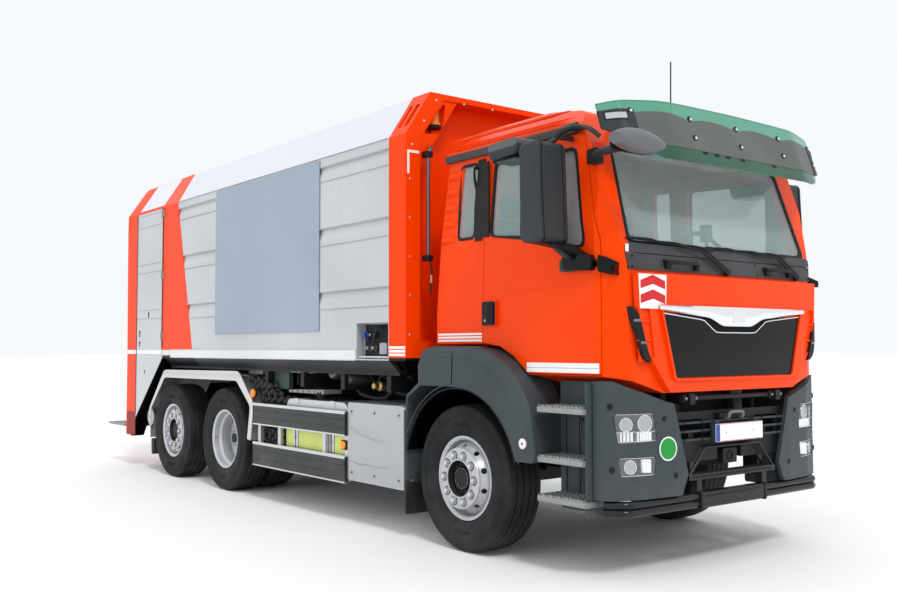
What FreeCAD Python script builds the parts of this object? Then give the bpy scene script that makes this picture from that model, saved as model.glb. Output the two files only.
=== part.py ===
import FreeCAD, Part

import os
from math import cos, hypot, pi, radians, sin, tan

V = FreeCAD.Vector

# Three-axle rear-loading refuse truck, in millimetres. It faces -Y, +X is its left side and +Z is up.
# The pieces are drawn with y = 0 at the front axle and z = 0 on the ground. SHIFT_Y then puts the
# origin under the middle of the whole truck.

# ---- driving dimensions ------------------------------------------------------------------------
WHEELBASE = 3900.0
TRAILING_SPREAD = 1350.0
DRIVE_Y = WHEELBASE
TRAILING_Y = WHEELBASE + TRAILING_SPREAD
BODY_OVERHANG = 195.0       # joint face of the tailgate behind the trailing axle
BODY_REAR = TRAILING_Y + BODY_OVERHANG
TAILGATE_FRONT = BODY_REAR + 5.0
TAILGATE_REAR = BODY_REAR + 1155.0
REAR_TIP = TAILGATE_REAR + 670.0    # end of the lowered footboard
FRONT_TIP = 1750.0          # front mirror ahead of the front axle
SHIFT_Y = -(REAR_TIP - FRONT_TIP) / 2

TYRE_R = 522.0
TYRE_W = 312.0
RIM_FLANGE_R = 298.5
RIM_W = 258.0
AXLE_Z = TYRE_R
FRONT_TRACK = 2 * 1053.0
DRIVE_TRACK = 2 * 1082.0
TWIN_SPACING = 350.0
TRAILING_TRACK = 2 * 1086.0
KINGPIN_R = 22.0
SPINDLE_R = 40.0
RUN_GAP = 0.5               # running clearance round pins and shafts
SEAT_GAP = 0.3              # clearance between pieces that sit on each other

FRAME_HALF = 432.0
RAIL_TOP = 960.0
RAIL_H = 270.0
RAIL_FLANGE = 80.0
RAIL_T = 10.0
FRAME_FRONT = -1290.0
FRAME_REAR = BODY_REAR + 55.0

BODY_HALF = 1275.0
BODY_FRONT = 820.0          # back face of the front portal
BODY_TOP = 3460.0
ROOF_RISE = 360.0           # height of the roof's chamfers
SIDE_TOP = BODY_TOP - ROOF_RISE
ROOF_HALF = 1040.0
SIDE_BOTTOM = 1350.0
FLOOR_TOP = 1250.0
FLOOR_T = 20.0
BODY_WALL = 40.0
PORTAL_DEPTH = 230.0

CAB_HALF = 1120.0
CAB_FRONT = -1420.0
CAB_REAR = 400.0
CAB_WALL = 50.0
CAB_FLOOR = 1160.0          # underside at the front
CAB_FLOOR_REAR = 1480.0     # underside over the wheels
GUTTER_Z = 2865.0
ROOF_Z = 3130.0
BELT_Z = 2020.0
DOOR_FRONT = -1262.0
DOOR_REAR = -140.0
DOOR_BOTTOM = 1280.0
DOOR_TOP = 2830.0
FLAP_TOP = 1925.0
FLAP_BOTTOM = 1155.0

POCKET_HALF = 1120.0        # inner wall beside the tailgate cylinders
SILL_Z = 1400.0
MOUTH_TOP = 2750.0

# ---- joint lines as (y, z) -----------------------------------------------------------------------
CAB_PIVOT = (-1420.0, 1120.0)
PIVOT_R = 16.0              # tube that the cab tilts on
PIVOT_HALF = 540.0
TAIL_HINGE = (BODY_REAR + 2, BODY_TOP)

TOW_R = 21.0                # towing socket in the front cross-member
TOW_LENGTH = 108.0
TOW_FRONT = FRAME_FRONT - 8
TOW_Z = 752.0


# ---- shape helpers -----------------------------------------------------------------------------
def box(x0, x1, y0, y1, z0, z1):
    return Part.makeBox(x1 - x0, y1 - y0, z1 - z0, V(x0, y0, z0))


def rod(radius, start, end):
    axis = V(*end) - V(*start)
    return Part.makeCylinder(radius, axis.Length, V(*start), axis)


def fuse(shapes):
    shapes = list(shapes)
    whole = shapes[0].fuse(shapes[1:]) if len(shapes) > 1 else shapes[0]
    return whole.removeSplitter()


def cut(shape, tools):
    tools = list(tools)
    return shape.cut(tools).removeSplitter() if tools else shape


def mirrored(shape):
    return shape.mirror(V(0, 0, 0), V(1, 0, 0))


def both_sides(shapes):
    """Each shape and its mirror image on the other side of the truck."""
    return [copy for shape in shapes for copy in (shape, mirrored(shape))]


def outline(points, place):
    """Closed wire through (a, b) or (a, b, corner radius) points; place turns (a, b) into a vector."""
    count = len(points)
    edges = []
    ends = []
    for i, point in enumerate(points):
        corner = V(point[0], point[1], 0)
        radius = point[2] if len(point) > 2 else 0
        before = V(points[i - 1][0], points[i - 1][1], 0) - corner
        after = V(points[(i + 1) % count][0], points[(i + 1) % count][1], 0) - corner
        if not radius:
            ends.append((corner, corner, corner))
            continue
        before.normalize()
        after.normalize()
        half = before.getAngle(after) / 2
        reach = radius / tan(half)
        middle = (before + after).normalize()
        centre = corner + middle * (radius / sin(half))
        ends.append((corner + before * reach, centre - middle * radius, corner + after * reach))
    for i, (start, middle, end) in enumerate(ends):
        if (start - end).Length > 1e-6:
            edges.append(Part.Arc(*[place(p.x, p.y) for p in (start, middle, end)]).toShape())
        following = ends[(i + 1) % count][0]
        if (end - following).Length > 1e-6:
            edges.append(Part.LineSegment(place(end.x, end.y), place(following.x, following.y)).toShape())
    return Part.Wire(edges)


def side_plate(points, x0, x1):
    """Prism of a (y, z) outline between two x planes."""
    wire = outline(points, lambda a, b: V(x0, a, b))
    return Part.Face(wire).extrude(V(x1 - x0, 0, 0))


def front_plate(points, y0, y1):
    """Prism of an (x, z) outline between two y planes."""
    wire = outline(points, lambda a, b: V(a, y0, b))
    return Part.Face(wire).extrude(V(0, y1 - y0, 0))


def flat_plate(points, z0, z1):
    """Prism of an (x, y) outline between two z planes."""
    wire = outline(points, lambda a, b: V(a, b, z0))
    return Part.Face(wire).extrude(V(0, 0, z1 - z0))


def turned(points, centre):
    """Solid of revolution of an (axial, radius) outline about an X axis; axial runs towards +X."""
    wire = outline(points, lambda a, b: V(centre[0] + a, centre[1], centre[2] + b))
    return Part.Face(wire).revolve(V(*centre), V(1, 0, 0), 360)


def bent_tube(points, radius, bend):
    """Round bar along straight runs joined by tangent arcs."""
    points = [V(*p) for p in points]
    edges = []
    start = points[0]
    for i in range(1, len(points) - 1):
        to_last = (points[i - 1] - points[i]).normalize()
        to_next = (points[i + 1] - points[i]).normalize()
        half = to_last.getAngle(to_next) / 2
        reach = bend / tan(half)
        middle = (to_last + to_next).normalize()
        centre = points[i] + middle * (bend / sin(half))
        arc_start = points[i] + to_last * reach
        arc_end = points[i] + to_next * reach
        edges.append(Part.LineSegment(start, arc_start).toShape())
        edges.append(Part.Arc(arc_start, centre - middle * bend, arc_end).toShape())
        start = arc_end
    edges.append(Part.LineSegment(start, points[-1]).toShape())
    circle = Part.Wire(Part.makeCircle(radius, points[0], points[1] - points[0]))
    return Part.Wire(edges).makePipeShell([circle], True, False)


def at_edges(shape, test):
    return [edge for edge in shape.Edges if test(edge)]


PIECES = {}


def keep(name, shapes):
    """Stores the solids of one node."""
    PIECES[name] = [solid for shape in shapes for solid in shape.Solids]


# ---- wheels ------------------------------------------------------------------------------------
def tyre(centre):
    half = TYRE_W / 2
    seat = RIM_W / 2 - 12
    bead_r = RIM_FLANGE_R - 12 + SEAT_GAP
    section = [(-seat + SEAT_GAP, bead_r), (seat - SEAT_GAP, bead_r),
               (seat - SEAT_GAP, RIM_FLANGE_R + 8), (half, 0.76 * TYRE_R, 60), (half - 16, TYRE_R - 10, 22),
               (0, TYRE_R), (-half + 16, TYRE_R - 10, 22), (-half, 0.76 * TYRE_R, 60),
               (-seat + SEAT_GAP, RIM_FLANGE_R + 8)]
    return turned(section, centre)


def rim_barrel(centre):
    half = RIM_W / 2
    bead = half - 12
    r = RIM_FLANGE_R
    section = [(-half, r), (-bead, r), (-bead, r - 12), (-60, r - 18), (-45, r - 43), (45, r - 43),
               (60, r - 18), (bead, r - 12), (bead, r), (half, r), (half, r - 12), (bead + 2, r - 26),
               (66, r - 31), (50, r - 55), (-50, r - 55), (-66, r - 31), (-bead - 2, r - 26), (-half, r - 12)]
    return turned(section, centre)


def rim_disc(centre, offset, side):
    """Pressed disc whose hub face lies offset outboard of the tyre's middle, with ten hand holes."""
    r = RIM_FLANGE_R
    bow = 1 if offset > 0 else -1
    root = bow * min(60.0, abs(offset) - 60)
    face = offset
    section = [(root, r - 26), (root + bow * 50, r - 60), (face - bow * 14, r - 92, 20),
               (face, r - 118, 12), (face, 141), (face - bow * 14, 141), (face - bow * 14, r - 124, 8),
               (face - bow * 30, r - 104, 14), (root + bow * 42, r - 76), (root - bow * 10, r - 42)]
    section = [(side * p[0], *p[1:]) for p in section]
    disc = turned(section, centre)
    mid = root + bow * 0.45 * (abs(face - root))
    holes = []
    for i in range(10):
        angle = 2 * pi * (i + 0.5) / 10
        out = V(0, cos(angle), sin(angle))
        slope = V(bow * side * 0.75, 0, 0) + out * 0.66
        start = V(centre[0] + side * mid, centre[1], centre[2]) + out * (r - 84) - slope * 70
        holes.append(Part.makeCylinder(21, 140, start, slope))
    return disc.cut(holes)


HUB_TABLE = {
    # kind: (disc offset, hub inner end, hub radius, spindle end, recess floor, cap radius, cap end)
    "front": (175.0, -20.0, 150.0, 110.0, 122.0, 84.0, 156.0),
    "trailing": (118.0, -45.0, 150.0, 60.0, 70.0, 84.0, 104.0),
}


def single_wheel(name, kind, side, track, y):
    offset, hub_in, hub_r, spindle_end, floor, cap_r, cap_end = HUB_TABLE[kind]
    centre = (side * track / 2, y, AXLE_Z)
    hub = turned([(side * hub_in, SPINDLE_R + RUN_GAP), (side * hub_in, hub_r), (side * (offset - 40), hub_r),
                  (side * (offset - 40), 165), (side * (offset - 14), 165), (side * (offset - 14), 141),
                  (side * (offset + 4), 141), (side * (offset + 4), 128), (side * floor, 122),
                  (side * floor, cap_r), (side * cap_end, cap_r - 12),
                  (side * cap_end, 0), (side * (spindle_end + 2), 0),
                  (side * (spindle_end + 2), SPINDLE_R + RUN_GAP)], centre)
    keep("tyre_" + name, [tyre(centre)])
    keep("wheel_" + name, [fuse([rim_barrel(centre), rim_disc(centre, offset, side), hub])])


DRIVE_SPINDLE_R = 55.0


def twin_wheel(name, side):
    outer = (side * DRIVE_TRACK / 2, DRIVE_Y, AXLE_Z)
    inner = (side * (DRIVE_TRACK / 2 - TWIN_SPACING), DRIVE_Y, AXLE_Z)
    offset = TWIN_SPACING / 2
    bore = DRIVE_SPINDLE_R + RUN_GAP
    hub = turned([(side * (-offset - 90), bore), (side * (-offset - 90), 150), (side * (-offset - 40), 150),
                  (side * (-offset - 40), 165), (side * (-offset - 14), 165), (side * (-offset - 14), 141),
                  (side * (-offset + 20), 141), (side * (-offset + 20), 132), (side * -40, 128),
                  (side * -20, 95), (side * 15, 90), (side * 15, 0),
                  (side * -45, 0), (side * -45, bore)], outer)
    keep("tyres_" + name, [tyre(outer), tyre(inner)])
    keep("wheels_" + name, [fuse([rim_barrel(outer), rim_barrel(inner), rim_disc(outer, -offset, side),
                                  rim_disc(inner, offset, side), hub])])


# ---- axles and steering ------------------------------------------------------------------------
KNUCKLE_TABLE = {
    # kind: (track, axle y, kingpin x, boss half height, arm direction, spindle end past the tyre middle)
    "front": (FRONT_TRACK, 0.0, 925.0, 60.0, 1, 108.0),
    "trailing": (TRAILING_TRACK, TRAILING_Y, 940.0, 60.0, -1, 58.0),
}
KNUCKLE_EAR = 26.0
BOSS_R = 48.0


def knuckle(name, kind, side):
    track, y, pin_x, boss, arm, spindle_end = KNUCKLE_TABLE[kind]
    ears = []
    for low in (AXLE_Z + boss + 1, AXLE_Z - boss - 1 - KNUCKLE_EAR):
        ears.append(rod(BOSS_R, (pin_x, y, low), (pin_x, y, low + KNUCKLE_EAR)))
        ears.append(box(pin_x, pin_x + 80, y - 40, y + 40, low, low + KNUCKLE_EAR))
    web_in = pin_x + BOSS_R + 6
    web_out = web_in + 30
    web = box(web_in, web_out, y - 55, y + 55, AXLE_Z - boss - 27, AXLE_Z + boss + 27)
    pin = rod(KINGPIN_R, (pin_x, y, AXLE_Z - boss - 27), (pin_x, y, AXLE_Z + boss + 27))
    spindle = rod(SPINDLE_R, (web_in, y, AXLE_Z), (track / 2 + spindle_end, y, AXLE_Z))
    shield = rod(190, (web_out - 12, y, AXLE_Z), (web_out - 6, y, AXLE_Z))
    lever = box(web_in, web_out, y + arm * 100 - 85, y + arm * 100 + 85, AXLE_Z - 60, AXLE_Z - 25)
    lever_end = rod(24, (web_in + 15, y + arm * 180, AXLE_Z - 80), (web_in + 15, y + arm * 180, AXLE_Z - 10))
    chamber_y = y - arm * 130
    caliper = box(web_in + 4, web_out - 8, chamber_y - 70, chamber_y + 70, AXLE_Z - 80, AXLE_Z + 90)
    whole = fuse(ears + [web, pin, spindle, shield, lever, lever_end, caliper])
    keep("knuckle_" + name, [whole if side > 0 else mirrored(whole)])


def axle_beam(name, kind, drop, beam_h):
    """Forged beam with a dropped middle, spring pads and a bored boss at each end."""
    y, pin_x, boss = KNUCKLE_TABLE[kind][1:4]
    end_x = pin_x - BOSS_R + 12
    low = AXLE_Z - drop
    top = [(-end_x, AXLE_Z + 40), (-end_x + 150, AXLE_Z + 40, 60), (-end_x + 300, low + beam_h, 60),
           (end_x - 300, low + beam_h, 60), (end_x - 150, AXLE_Z + 40, 60), (end_x, AXLE_Z + 40)]
    bottom = [(end_x, AXLE_Z - 45), (end_x - 130, AXLE_Z - 45, 60), (end_x - 280, low, 60),
              (-end_x + 280, low, 60), (-end_x + 130, AXLE_Z - 45, 60), (-end_x, AXLE_Z - 45)]
    beam = front_plate(top + bottom, y - 45, y + 45)
    bosses = both_sides([rod(BOSS_R, (pin_x, y, AXLE_Z - boss), (pin_x, y, AXLE_Z + boss))])
    pads = both_sides([box(SPRING_X - 50, SPRING_X + 50, y - 90, y + 90,
                           low + beam_h - 20, low + beam_h + 12)])
    bores = both_sides([rod(KINGPIN_R + RUN_GAP, (pin_x, y, AXLE_Z - 100), (pin_x, y, AXLE_Z + 100))])
    keep(name, [cut(fuse([beam] + bosses + pads), bores)])


SPRING_X = 415.0
HANGER_Y = 640.0
NOSE_REACH = 380.0


def drive_axle():
    tube_end = DRIVE_TRACK / 2 - TWIN_SPACING / 2 - 96
    centre = (0, DRIVE_Y, AXLE_Z)
    bowl = turned([(-150, 60), (-150, 120), (-60, 205, 40), (60, 205, 40), (150, 120), (150, 60)], centre)
    tube = rod(78, (-tube_end, DRIVE_Y, AXLE_Z), (tube_end, DRIVE_Y, AXLE_Z))
    spindles = both_sides([rod(DRIVE_SPINDLE_R, (0, DRIVE_Y, AXLE_Z),
                               (DRIVE_TRACK / 2 - 47, DRIVE_Y, AXLE_Z))])
    shields = both_sides([rod(195, (tube_end - 30, DRIVE_Y, AXLE_Z), (tube_end - 10, DRIVE_Y, AXLE_Z))])
    nose = Part.makeCone(135, 75, NOSE_REACH - 100, V(0, DRIVE_Y - 100, AXLE_Z), V(0, -1, 0))
    pads = both_sides([box(SPRING_X - 60, SPRING_X + 60, DRIVE_Y - 100, DRIVE_Y + 100,
                           AXLE_Z + 60, AXLE_Z + 95)])
    keep("drive_axle", [fuse([bowl, tube, nose] + spindles + shields + pads)])


# ---- chassis -----------------------------------------------------------------------------------
def chassis_frame():
    rail_z = RAIL_TOP - RAIL_H
    channel = box(FRAME_HALF - RAIL_FLANGE, FRAME_HALF, FRAME_FRONT, FRAME_REAR, rail_z, RAIL_TOP)
    hollow = box(FRAME_HALF - RAIL_FLANGE, FRAME_HALF - RAIL_T, FRAME_FRONT, FRAME_REAR,
                 rail_z + RAIL_T, RAIL_TOP - RAIL_T)
    rails = both_sides([channel.cut(hollow)])
    members = []
    inner = FRAME_HALF - RAIL_T
    for y in (FRAME_FRONT + 60, 1010, 1900, 3150, DRIVE_Y + 480, FRAME_REAR - 60):
        z0 = rail_z + 40 if y > 0 else rail_z
        members.append(rod(55, (-inner, y, RAIL_TOP - 90), (inner, y, RAIL_TOP - 90)) if y > 0 else
                       box(-inner, inner, y - 40, y + 40, z0, z0 + 120))
    hangers = []
    for y, reach in ((-HANGER_Y, 120.0), (HANGER_Y, 120.0)):
        hangers += both_sides([box(SPRING_X - 40, SPRING_X + 40, y - 45, y + 45, rail_z - reach, rail_z)])
    socket = rod(45, (0, TOW_FRONT, TOW_Z), (0, TOW_FRONT + TOW_LENGTH, TOW_Z))
    bore = rod(TOW_R, (0, TOW_FRONT - 1, TOW_Z), (0, TOW_FRONT + TOW_LENGTH + 1, TOW_Z))
    py, pz = CAB_PIVOT
    pivot = rod(PIVOT_R, (-PIVOT_HALF, py, pz), (PIVOT_HALF, py, pz))
    pivot_arms = both_sides([box(FRAME_HALF - 30, FRAME_HALF, py - 12, FRAME_FRONT + 40, pz - 22, pz + 12)])
    mounts = both_sides([box(FRAME_HALF - RAIL_FLANGE, FRAME_HALF, CAB_REAR - 80, CAB_REAR - 20,
                             RAIL_TOP - 5, CAB_FLOOR_REAR - SEAT_GAP),
                         box(FRAME_HALF - 30, FRAME_HALF, FRAME_FRONT, FRAME_FRONT + 80,
                             RAIL_TOP - 5, CAB_FLOOR - SEAT_GAP)])
    frame = fuse(rails + members + hangers + mounts + [socket, pivot] + pivot_arms)
    keep("chassis_frame", [cut(frame, [bore])])


def leaf_spring(y, half_length, pad_z, eye_z):
    """Parabolic leaf pack from eye to eye, bowed down to the axle's pad."""
    sag = eye_z - pad_z
    thick = 42.0
    points = [(y - half_length, eye_z - thick / 2), (y - 90, pad_z, 400), (y + 90, pad_z, 400),
              (y + half_length, eye_z - thick / 2), (y + half_length, eye_z + thick / 2 - 8),
              (y + 90, pad_z + thick + sag * 0.02, 400), (y - 90, pad_z + thick + sag * 0.02, 400),
              (y - half_length, eye_z + thick / 2 - 8)]
    return side_plate(points, SPRING_X - 40, SPRING_X + 40)


def suspension():
    rail_z = RAIL_TOP - RAIL_H
    front_pad = AXLE_Z - 70 + 95 + 12 + SEAT_GAP
    pieces = both_sides([leaf_spring(0.0, HANGER_Y - 45 - SEAT_GAP, front_pad, front_pad + 40)])
    bellows = []
    for y, pad in ((DRIVE_Y, AXLE_Z + 95), (TRAILING_Y, AXLE_Z - 70 + 95 + 12)):
        z0 = pad + SEAT_GAP
        z1 = rail_z - SEAT_GAP
        profile = [(0, z0), (95, z0), (118, (z0 + z1) / 2, 40), (95, z1), (0, z1)]
        wire = outline(profile, lambda a, b: V(SPRING_X - 20 + a, y, b))
        bag = Part.Face(wire).revolve(V(SPRING_X - 20, y, 0), V(0, 0, 1), 360)
        bellows.append(bag)
    keep("suspension", pieces + both_sides(bellows))


ENGINE_HALF = 330.0


def engine():
    keep("engine", [box(-ENGINE_HALF, ENGINE_HALF, -1080, 60, 620, 1270)])
    gearbox = front_plate([(-230, 560, 60), (230, 560, 60), (260, 900, 80), (-260, 900, 80)],
                          60 + SEAT_GAP, 900)
    shaft_end = DRIVE_Y - NOSE_REACH - SEAT_GAP
    shaft = rod(55, (0, 900, 730), (0, shaft_end - 12, AXLE_Z))
    flange = rod(65, (0, shaft_end - 24, AXLE_Z), (0, shaft_end, AXLE_Z))
    keep("driveline", [fuse([gearbox, shaft, flange])])


TANK_HALF = 1235.0
TANK_FACE = 1180.0
TANK_REAR = DRIVE_Y - 1260.0


def side_tanks():
    """Strapped fuel tank and equipment boxes bolted to the outside of the frame rails."""
    inner = FRAME_HALF + SEAT_GAP
    rear = TANK_REAR
    tank = side_plate([(1560, 420, 90), (rear, 420, 90), (rear, 985, 90), (1560, 985, 90)], 640, TANK_FACE)
    straps = []
    for y in (1780.0, rear - 230.0):
        straps.append(side_plate([(y, 414, 0), (y + 70, 414), (y + 70, 991), (y, 991)], 634, TANK_FACE + 6))
        straps.append(box(inner, 641, y, y + 80, 760, 940))
    keep("fuel_tank", [mirrored(fuse([tank] + straps))])
    locker = side_plate([(670, 360, 20), (1480, 360, 20), (1480, 1000, 30), (670, 1000, 30)], 620, TANK_HALF)
    locker = fuse([locker] + [box(inner, 621, y, y + 100, 740, 940) for y in (850.0, 1250.0)])
    battery = side_plate([(1560, 430, 20), (2350, 430, 20), (2350, 930, 20), (1560, 930, 20)], 620, TANK_FACE)
    battery = fuse([battery] + [box(inner, 621, y, y + 80, 740, 900) for y in (1700.0, 2150.0)])
    keep("equipment_boxes", [locker, mirrored(locker), battery])


GUARD_X = 1250.0


def side_guards():
    rear = DRIVE_Y - 720.0
    planks = []
    for z0, z1 in ((720.0, 920.0), (330.0, 550.0)):
        planks.append(side_plate([(1490, z0, 30), (rear, z0, 30), (rear, z1, 30), (1490, z1, 30)],
                                 GUARD_X - 28, GUARD_X))
    posts = []
    for y in (1520.0, 1885.0, rear - 480, rear - 80):
        posts.append(box(GUARD_X - 60, GUARD_X - 27, y - 25, y + 25, 340, 915))
    for y in (rear - 480, rear - 80):
        posts.append(box(FRAME_HALF + SEAT_GAP, GUARD_X - 59, y - 25, y + 25, 800, 860))
    posts.append(box(TANK_FACE + 6 + SEAT_GAP, GUARD_X - 59, 1865, 1905, 780, 820))
    keep("side_guards", both_sides([fuse(planks + posts)]))


MUD_X = 1250.0
ARCH_R = 640.0


def front_mudguards():
    """Arch over the steered wheel with a boxy rear part, a front part that sweeps down and a flap."""
    z_top = 1462.0
    arch_top = AXLE_Z + ARCH_R + 8
    outer = [(485, 1172), (492, 1320, 20), (430, 1440, 70), (300, z_top, 60), (-120, z_top - 2, 200),
             (-330, 1430, 200), (-482, 1356, 150), (-612, 1252, 120), (-742, 1070, 300), (-790, 760),
             (-790, 700, 20), (-600, 700)]
    shell = side_plate(outer, 930, MUD_X)
    wheel_room = rod(ARCH_R, (900, 0, AXLE_Z), (MUD_X + 60, 0, AXLE_Z))
    rear_room = box(900, MUD_X + 60, 0, 700, AXLE_Z, arch_top)
    hollow_inner = side_plate([(440, 1100), (440, 1300, 20), (390, 1400, 50), (290, z_top - 40, 50),
                               (-130, z_top - 40, 220), (-400, 1360, 180), (-560, 1240, 100),
                               (-690, 1060, 260), (-740, 760), (-740, 600), (-500, 600), (-500, 1100)],
                              880, MUD_X - 40)
    shell = cut(shell, [wheel_room, rear_room, hollow_inner])
    rim_edges = at_edges(shell, lambda e: e.BoundBox.XMin > MUD_X - 1 and e.BoundBox.ZMax > 1100
                         and e.CenterOfMass.z > 1180 and e.Length > 60)
    shell = shell.makeFillet(34, rim_edges) if rim_edges else shell
    bracket = box(FRAME_HALF + SEAT_GAP, 1000, 240, 290, 1380, 1430)
    post = box(FRAME_HALF + SEAT_GAP, FRAME_HALF + 50, 240, 290, RAIL_TOP - 60, 1430)
    flap = side_plate([(442, 1196), (486, 1196), (648, 1088, 20), (656, 1060), (656, 190), (646, 190),
                       (642, 1070, 20), (442, 1180)], 940, MUD_X - 24)
    keep("front_mudguards", both_sides([fuse([shell, bracket, post, flap])]))


def tandem_mudguards():
    """Chequered strip that runs over both rear wheels, with a skirt along its outer edge."""
    rear, front = TRAILING_Y, DRIVE_Y
    over = [(rear + 618, 400), (rear + 655, 745, 120), (rear + 220, 1172, 160), (front - 370, 1172, 160),
            (front - 695, 905, 120), (front - 635, 555)]
    under = [(front - 623, 560), (front - 682, 900, 110), (front - 362, 1160, 150), (rear + 212, 1160, 150),
             (rear + 642, 738, 110), (rear + 606, 402)]
    arch = side_plate(over + under, 620, GUARD_X)
    lip_over = [(rear + 618, 400), (rear + 655, 745, 120), (rear + 202, 1205, 160), (front - 388, 1222, 160),
                (front - 728, 905, 120), (front - 662, 555)]
    lip_under = [(front - 588, 565), (front - 648, 884, 80), (front - 340, 1125, 120),
                 (rear + 190, 1118, 120),
                 (rear + 618, 725, 80), (rear + 596, 405)]
    skirt = side_plate(lip_over + lip_under, GUARD_X - 12, GUARD_X)
    middle = (front + rear) / 2
    stay = box(FRAME_HALF + SEAT_GAP, 622, middle - 30, middle + 30, 880, 940)
    stem = box(562, 640, middle - 30, middle + 30, 880, 1165)
    keep("tandem_mudguards", both_sides([fuse([arch, skirt, stem, stay])]))


STEP_TOP = 1232.0


def cab_steps():
    """Entry box between bumper and front wheel with three serrated treads."""
    back = side_plate([(-805, 400, 20), (-1215, 400, 20), (-1215, STEP_TOP, 20), (-805, STEP_TOP, 20)],
                      990, 1010)
    treads = []
    for z1, y0 in ((1070.0, -1212.0), (750.0, -1205.0), (500.0, -1225.0)):
        tread = box(1005, 1215, y0, -800, z1 - 38, z1)
        slots = [box(1040, 1185, y0 + 30 + i * 62, y0 + 62 + i * 62, z1 - 60, z1 + 20) for i in range(5)]
        treads.append(tread.cut(slots))
    front_wall = box(1000, 1190, -1215, -1203, 400, STEP_TOP)
    carrier = box(FRAME_HALF + SEAT_GAP, 995, -1080, -1000, 760, 860)
    keep("cab_steps", both_sides([fuse([back, front_wall, carrier] + treads)]))


BUMPER_FRONT = -1440.0


def bumper():
    """Moulded corner pods with lamp recesses on a set-back centre with slats and a plate carrier."""
    front = BUMPER_FRONT
    plan = [(470, front), (620, front, 60), (900, front + 30, 200), (1130, front + 110, 130),
            (1145, front + 215), (1085, front + 215), (1075, front + 130, 90), (880, front + 92, 150),
            (600, front + 62), (470, front + 62)]
    pod = flat_plate(plan, 510, 1245)
    above = front_plate([(400, 1400), (400, 1085), (600, 1085, 30), (690, 1105, 40), (960, 1190, 60),
                         (1090, 1240), (1200, 1240), (1200, 1400)], front - 160, front + 340)
    inside = front_plate([(0, 400), (560, 400), (560, 505, 20), (497, 640, 20), (628, 1092), (628, 1300),
                          (0, 1300)], front - 160, front + 340)
    windows = [front_plate([(775, 860, 30), (1062, 850, 20), (1090, 1040, 20), (800, 1040, 20)],
                           front - 160, front + 240),
               front_plate([(800, 650, 30), (1045, 650, 30), (1062, 770, 20), (782, 770, 20)],
                           front - 160, front + 240)]
    pod = pod.cut([above, inside] + windows)
    back = front + 52
    centre = front_plate([(-530, 705), (530, 705), (640, 1030), (-640, 1030)], back, back + 28)
    grilles = both_sides([front_plate([(285, 840, 12), (500, 840, 12), (545, 980, 12), (285, 980, 12)],
                                      back - 5, back + 40)])
    tow_window = front_plate([(-130, TOW_Z - 90), (130, TOW_Z - 90), (130, TOW_Z + 45, 15),
                              (-130, TOW_Z + 45, 15)], back - 5, back + 40)
    centre = cut(centre, grilles + [tow_window])
    slats = [rod(8, (-580, front + 24, z), (580, front + 24, z)) for z in (850.0, 905.0, 960.0)]
    carrier = box(-262, 262, front - 30, front - 14, 826, 950)
    stays = both_sides([box(190, 230, front - 15, back + 5, 840, 970)])
    arms = both_sides([box(FRAME_HALF - 60, FRAME_HALF - 10, back + 5, FRAME_FRONT - SEAT_GAP, 740, 900)])
    keep("bumper", [fuse([pod, mirrored(pod), centre, carrier] + slats + stays + arms)])


def front_guard_bar():
    """Twin lower tubes with a centre sleeve, and a tube-framed step above them."""
    bar_y = -1395.0
    rows = []
    for z in (432.0, 480.0):
        rows.append(bent_tube([(-1110, -1275, z), (-1000, bar_y + 10, z), (-500, bar_y, z),
                               (500, bar_y, z), (1000, bar_y + 10, z), (1110, -1275, z)], 26, 80))
    sleeve = side_plate([(bar_y - 34, 402, 16), (bar_y + 30, 402, 16), (bar_y + 30, 510, 16),
                         (bar_y - 34, 510, 16)], -330, 330)
    step = box(-470, 470, -1425, -1345, 590, 628)
    hoop = bent_tube([(-466, -1415, 615), (-290, -1415, 795), (290, -1415, 795), (466, -1415, 615)], 10, 30)
    struts = both_sides([box(330, 380, bar_y - 20, bar_y + 30, 430, 600),
                         box(345, 395, -1370, -1292, 590, 700),
                         box(345, 395, -1350, -1250, 560, RAIL_TOP - RAIL_H - SEAT_GAP)])
    keep("front_guard_bar", [fuse(rows + [sleeve, step, hoop] + struts)])


# ---- collection body ---------------------------------------------------------------------------
def body_contour(inset, bottom):
    """Half-width contour of the body in (x, z): side, chamfer and roof."""
    slope = hypot(BODY_HALF - ROOF_HALF, BODY_TOP - SIDE_TOP)
    lean = (BODY_HALF - ROOF_HALF) / slope
    rise = (BODY_TOP - SIDE_TOP) / slope
    side_x = BODY_HALF - inset
    roof_z = BODY_TOP - inset
    # the chamfer line moved inwards by the inset, met with the side and the roof
    base = rise * BODY_HALF + lean * SIDE_TOP - inset
    knee_z = (base - rise * side_x) / lean
    roof_x = (base - lean * roof_z) / rise
    right = [(side_x, bottom), (side_x, knee_z), (roof_x, roof_z)]
    return right + [(-x, z) for x, z in reversed(right)]


PORTAL_TOP_Y = BODY_REAR - 301.0
PORTAL_FOOT_Y = BODY_REAR - 850.0


def rear_half_space(gap):
    """Everything behind the slanted front edge of the rear portal."""
    far = BODY_REAR + 1500
    return side_plate([(PORTAL_FOOT_Y + gap, SIDE_BOTTOM), (PORTAL_TOP_Y + gap, BODY_TOP + 10),
                       (far, BODY_TOP + 10), (far, 900), (PORTAL_FOOT_Y + gap, 900)], -1500, 1500)


GROOVES = ((3020.0, 2890.0), (2480.0, 2330.0), (1930.0, 1780.0))
NICHE_DEPTH = 95.0
NICHE_TOP = 1650.0


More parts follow.
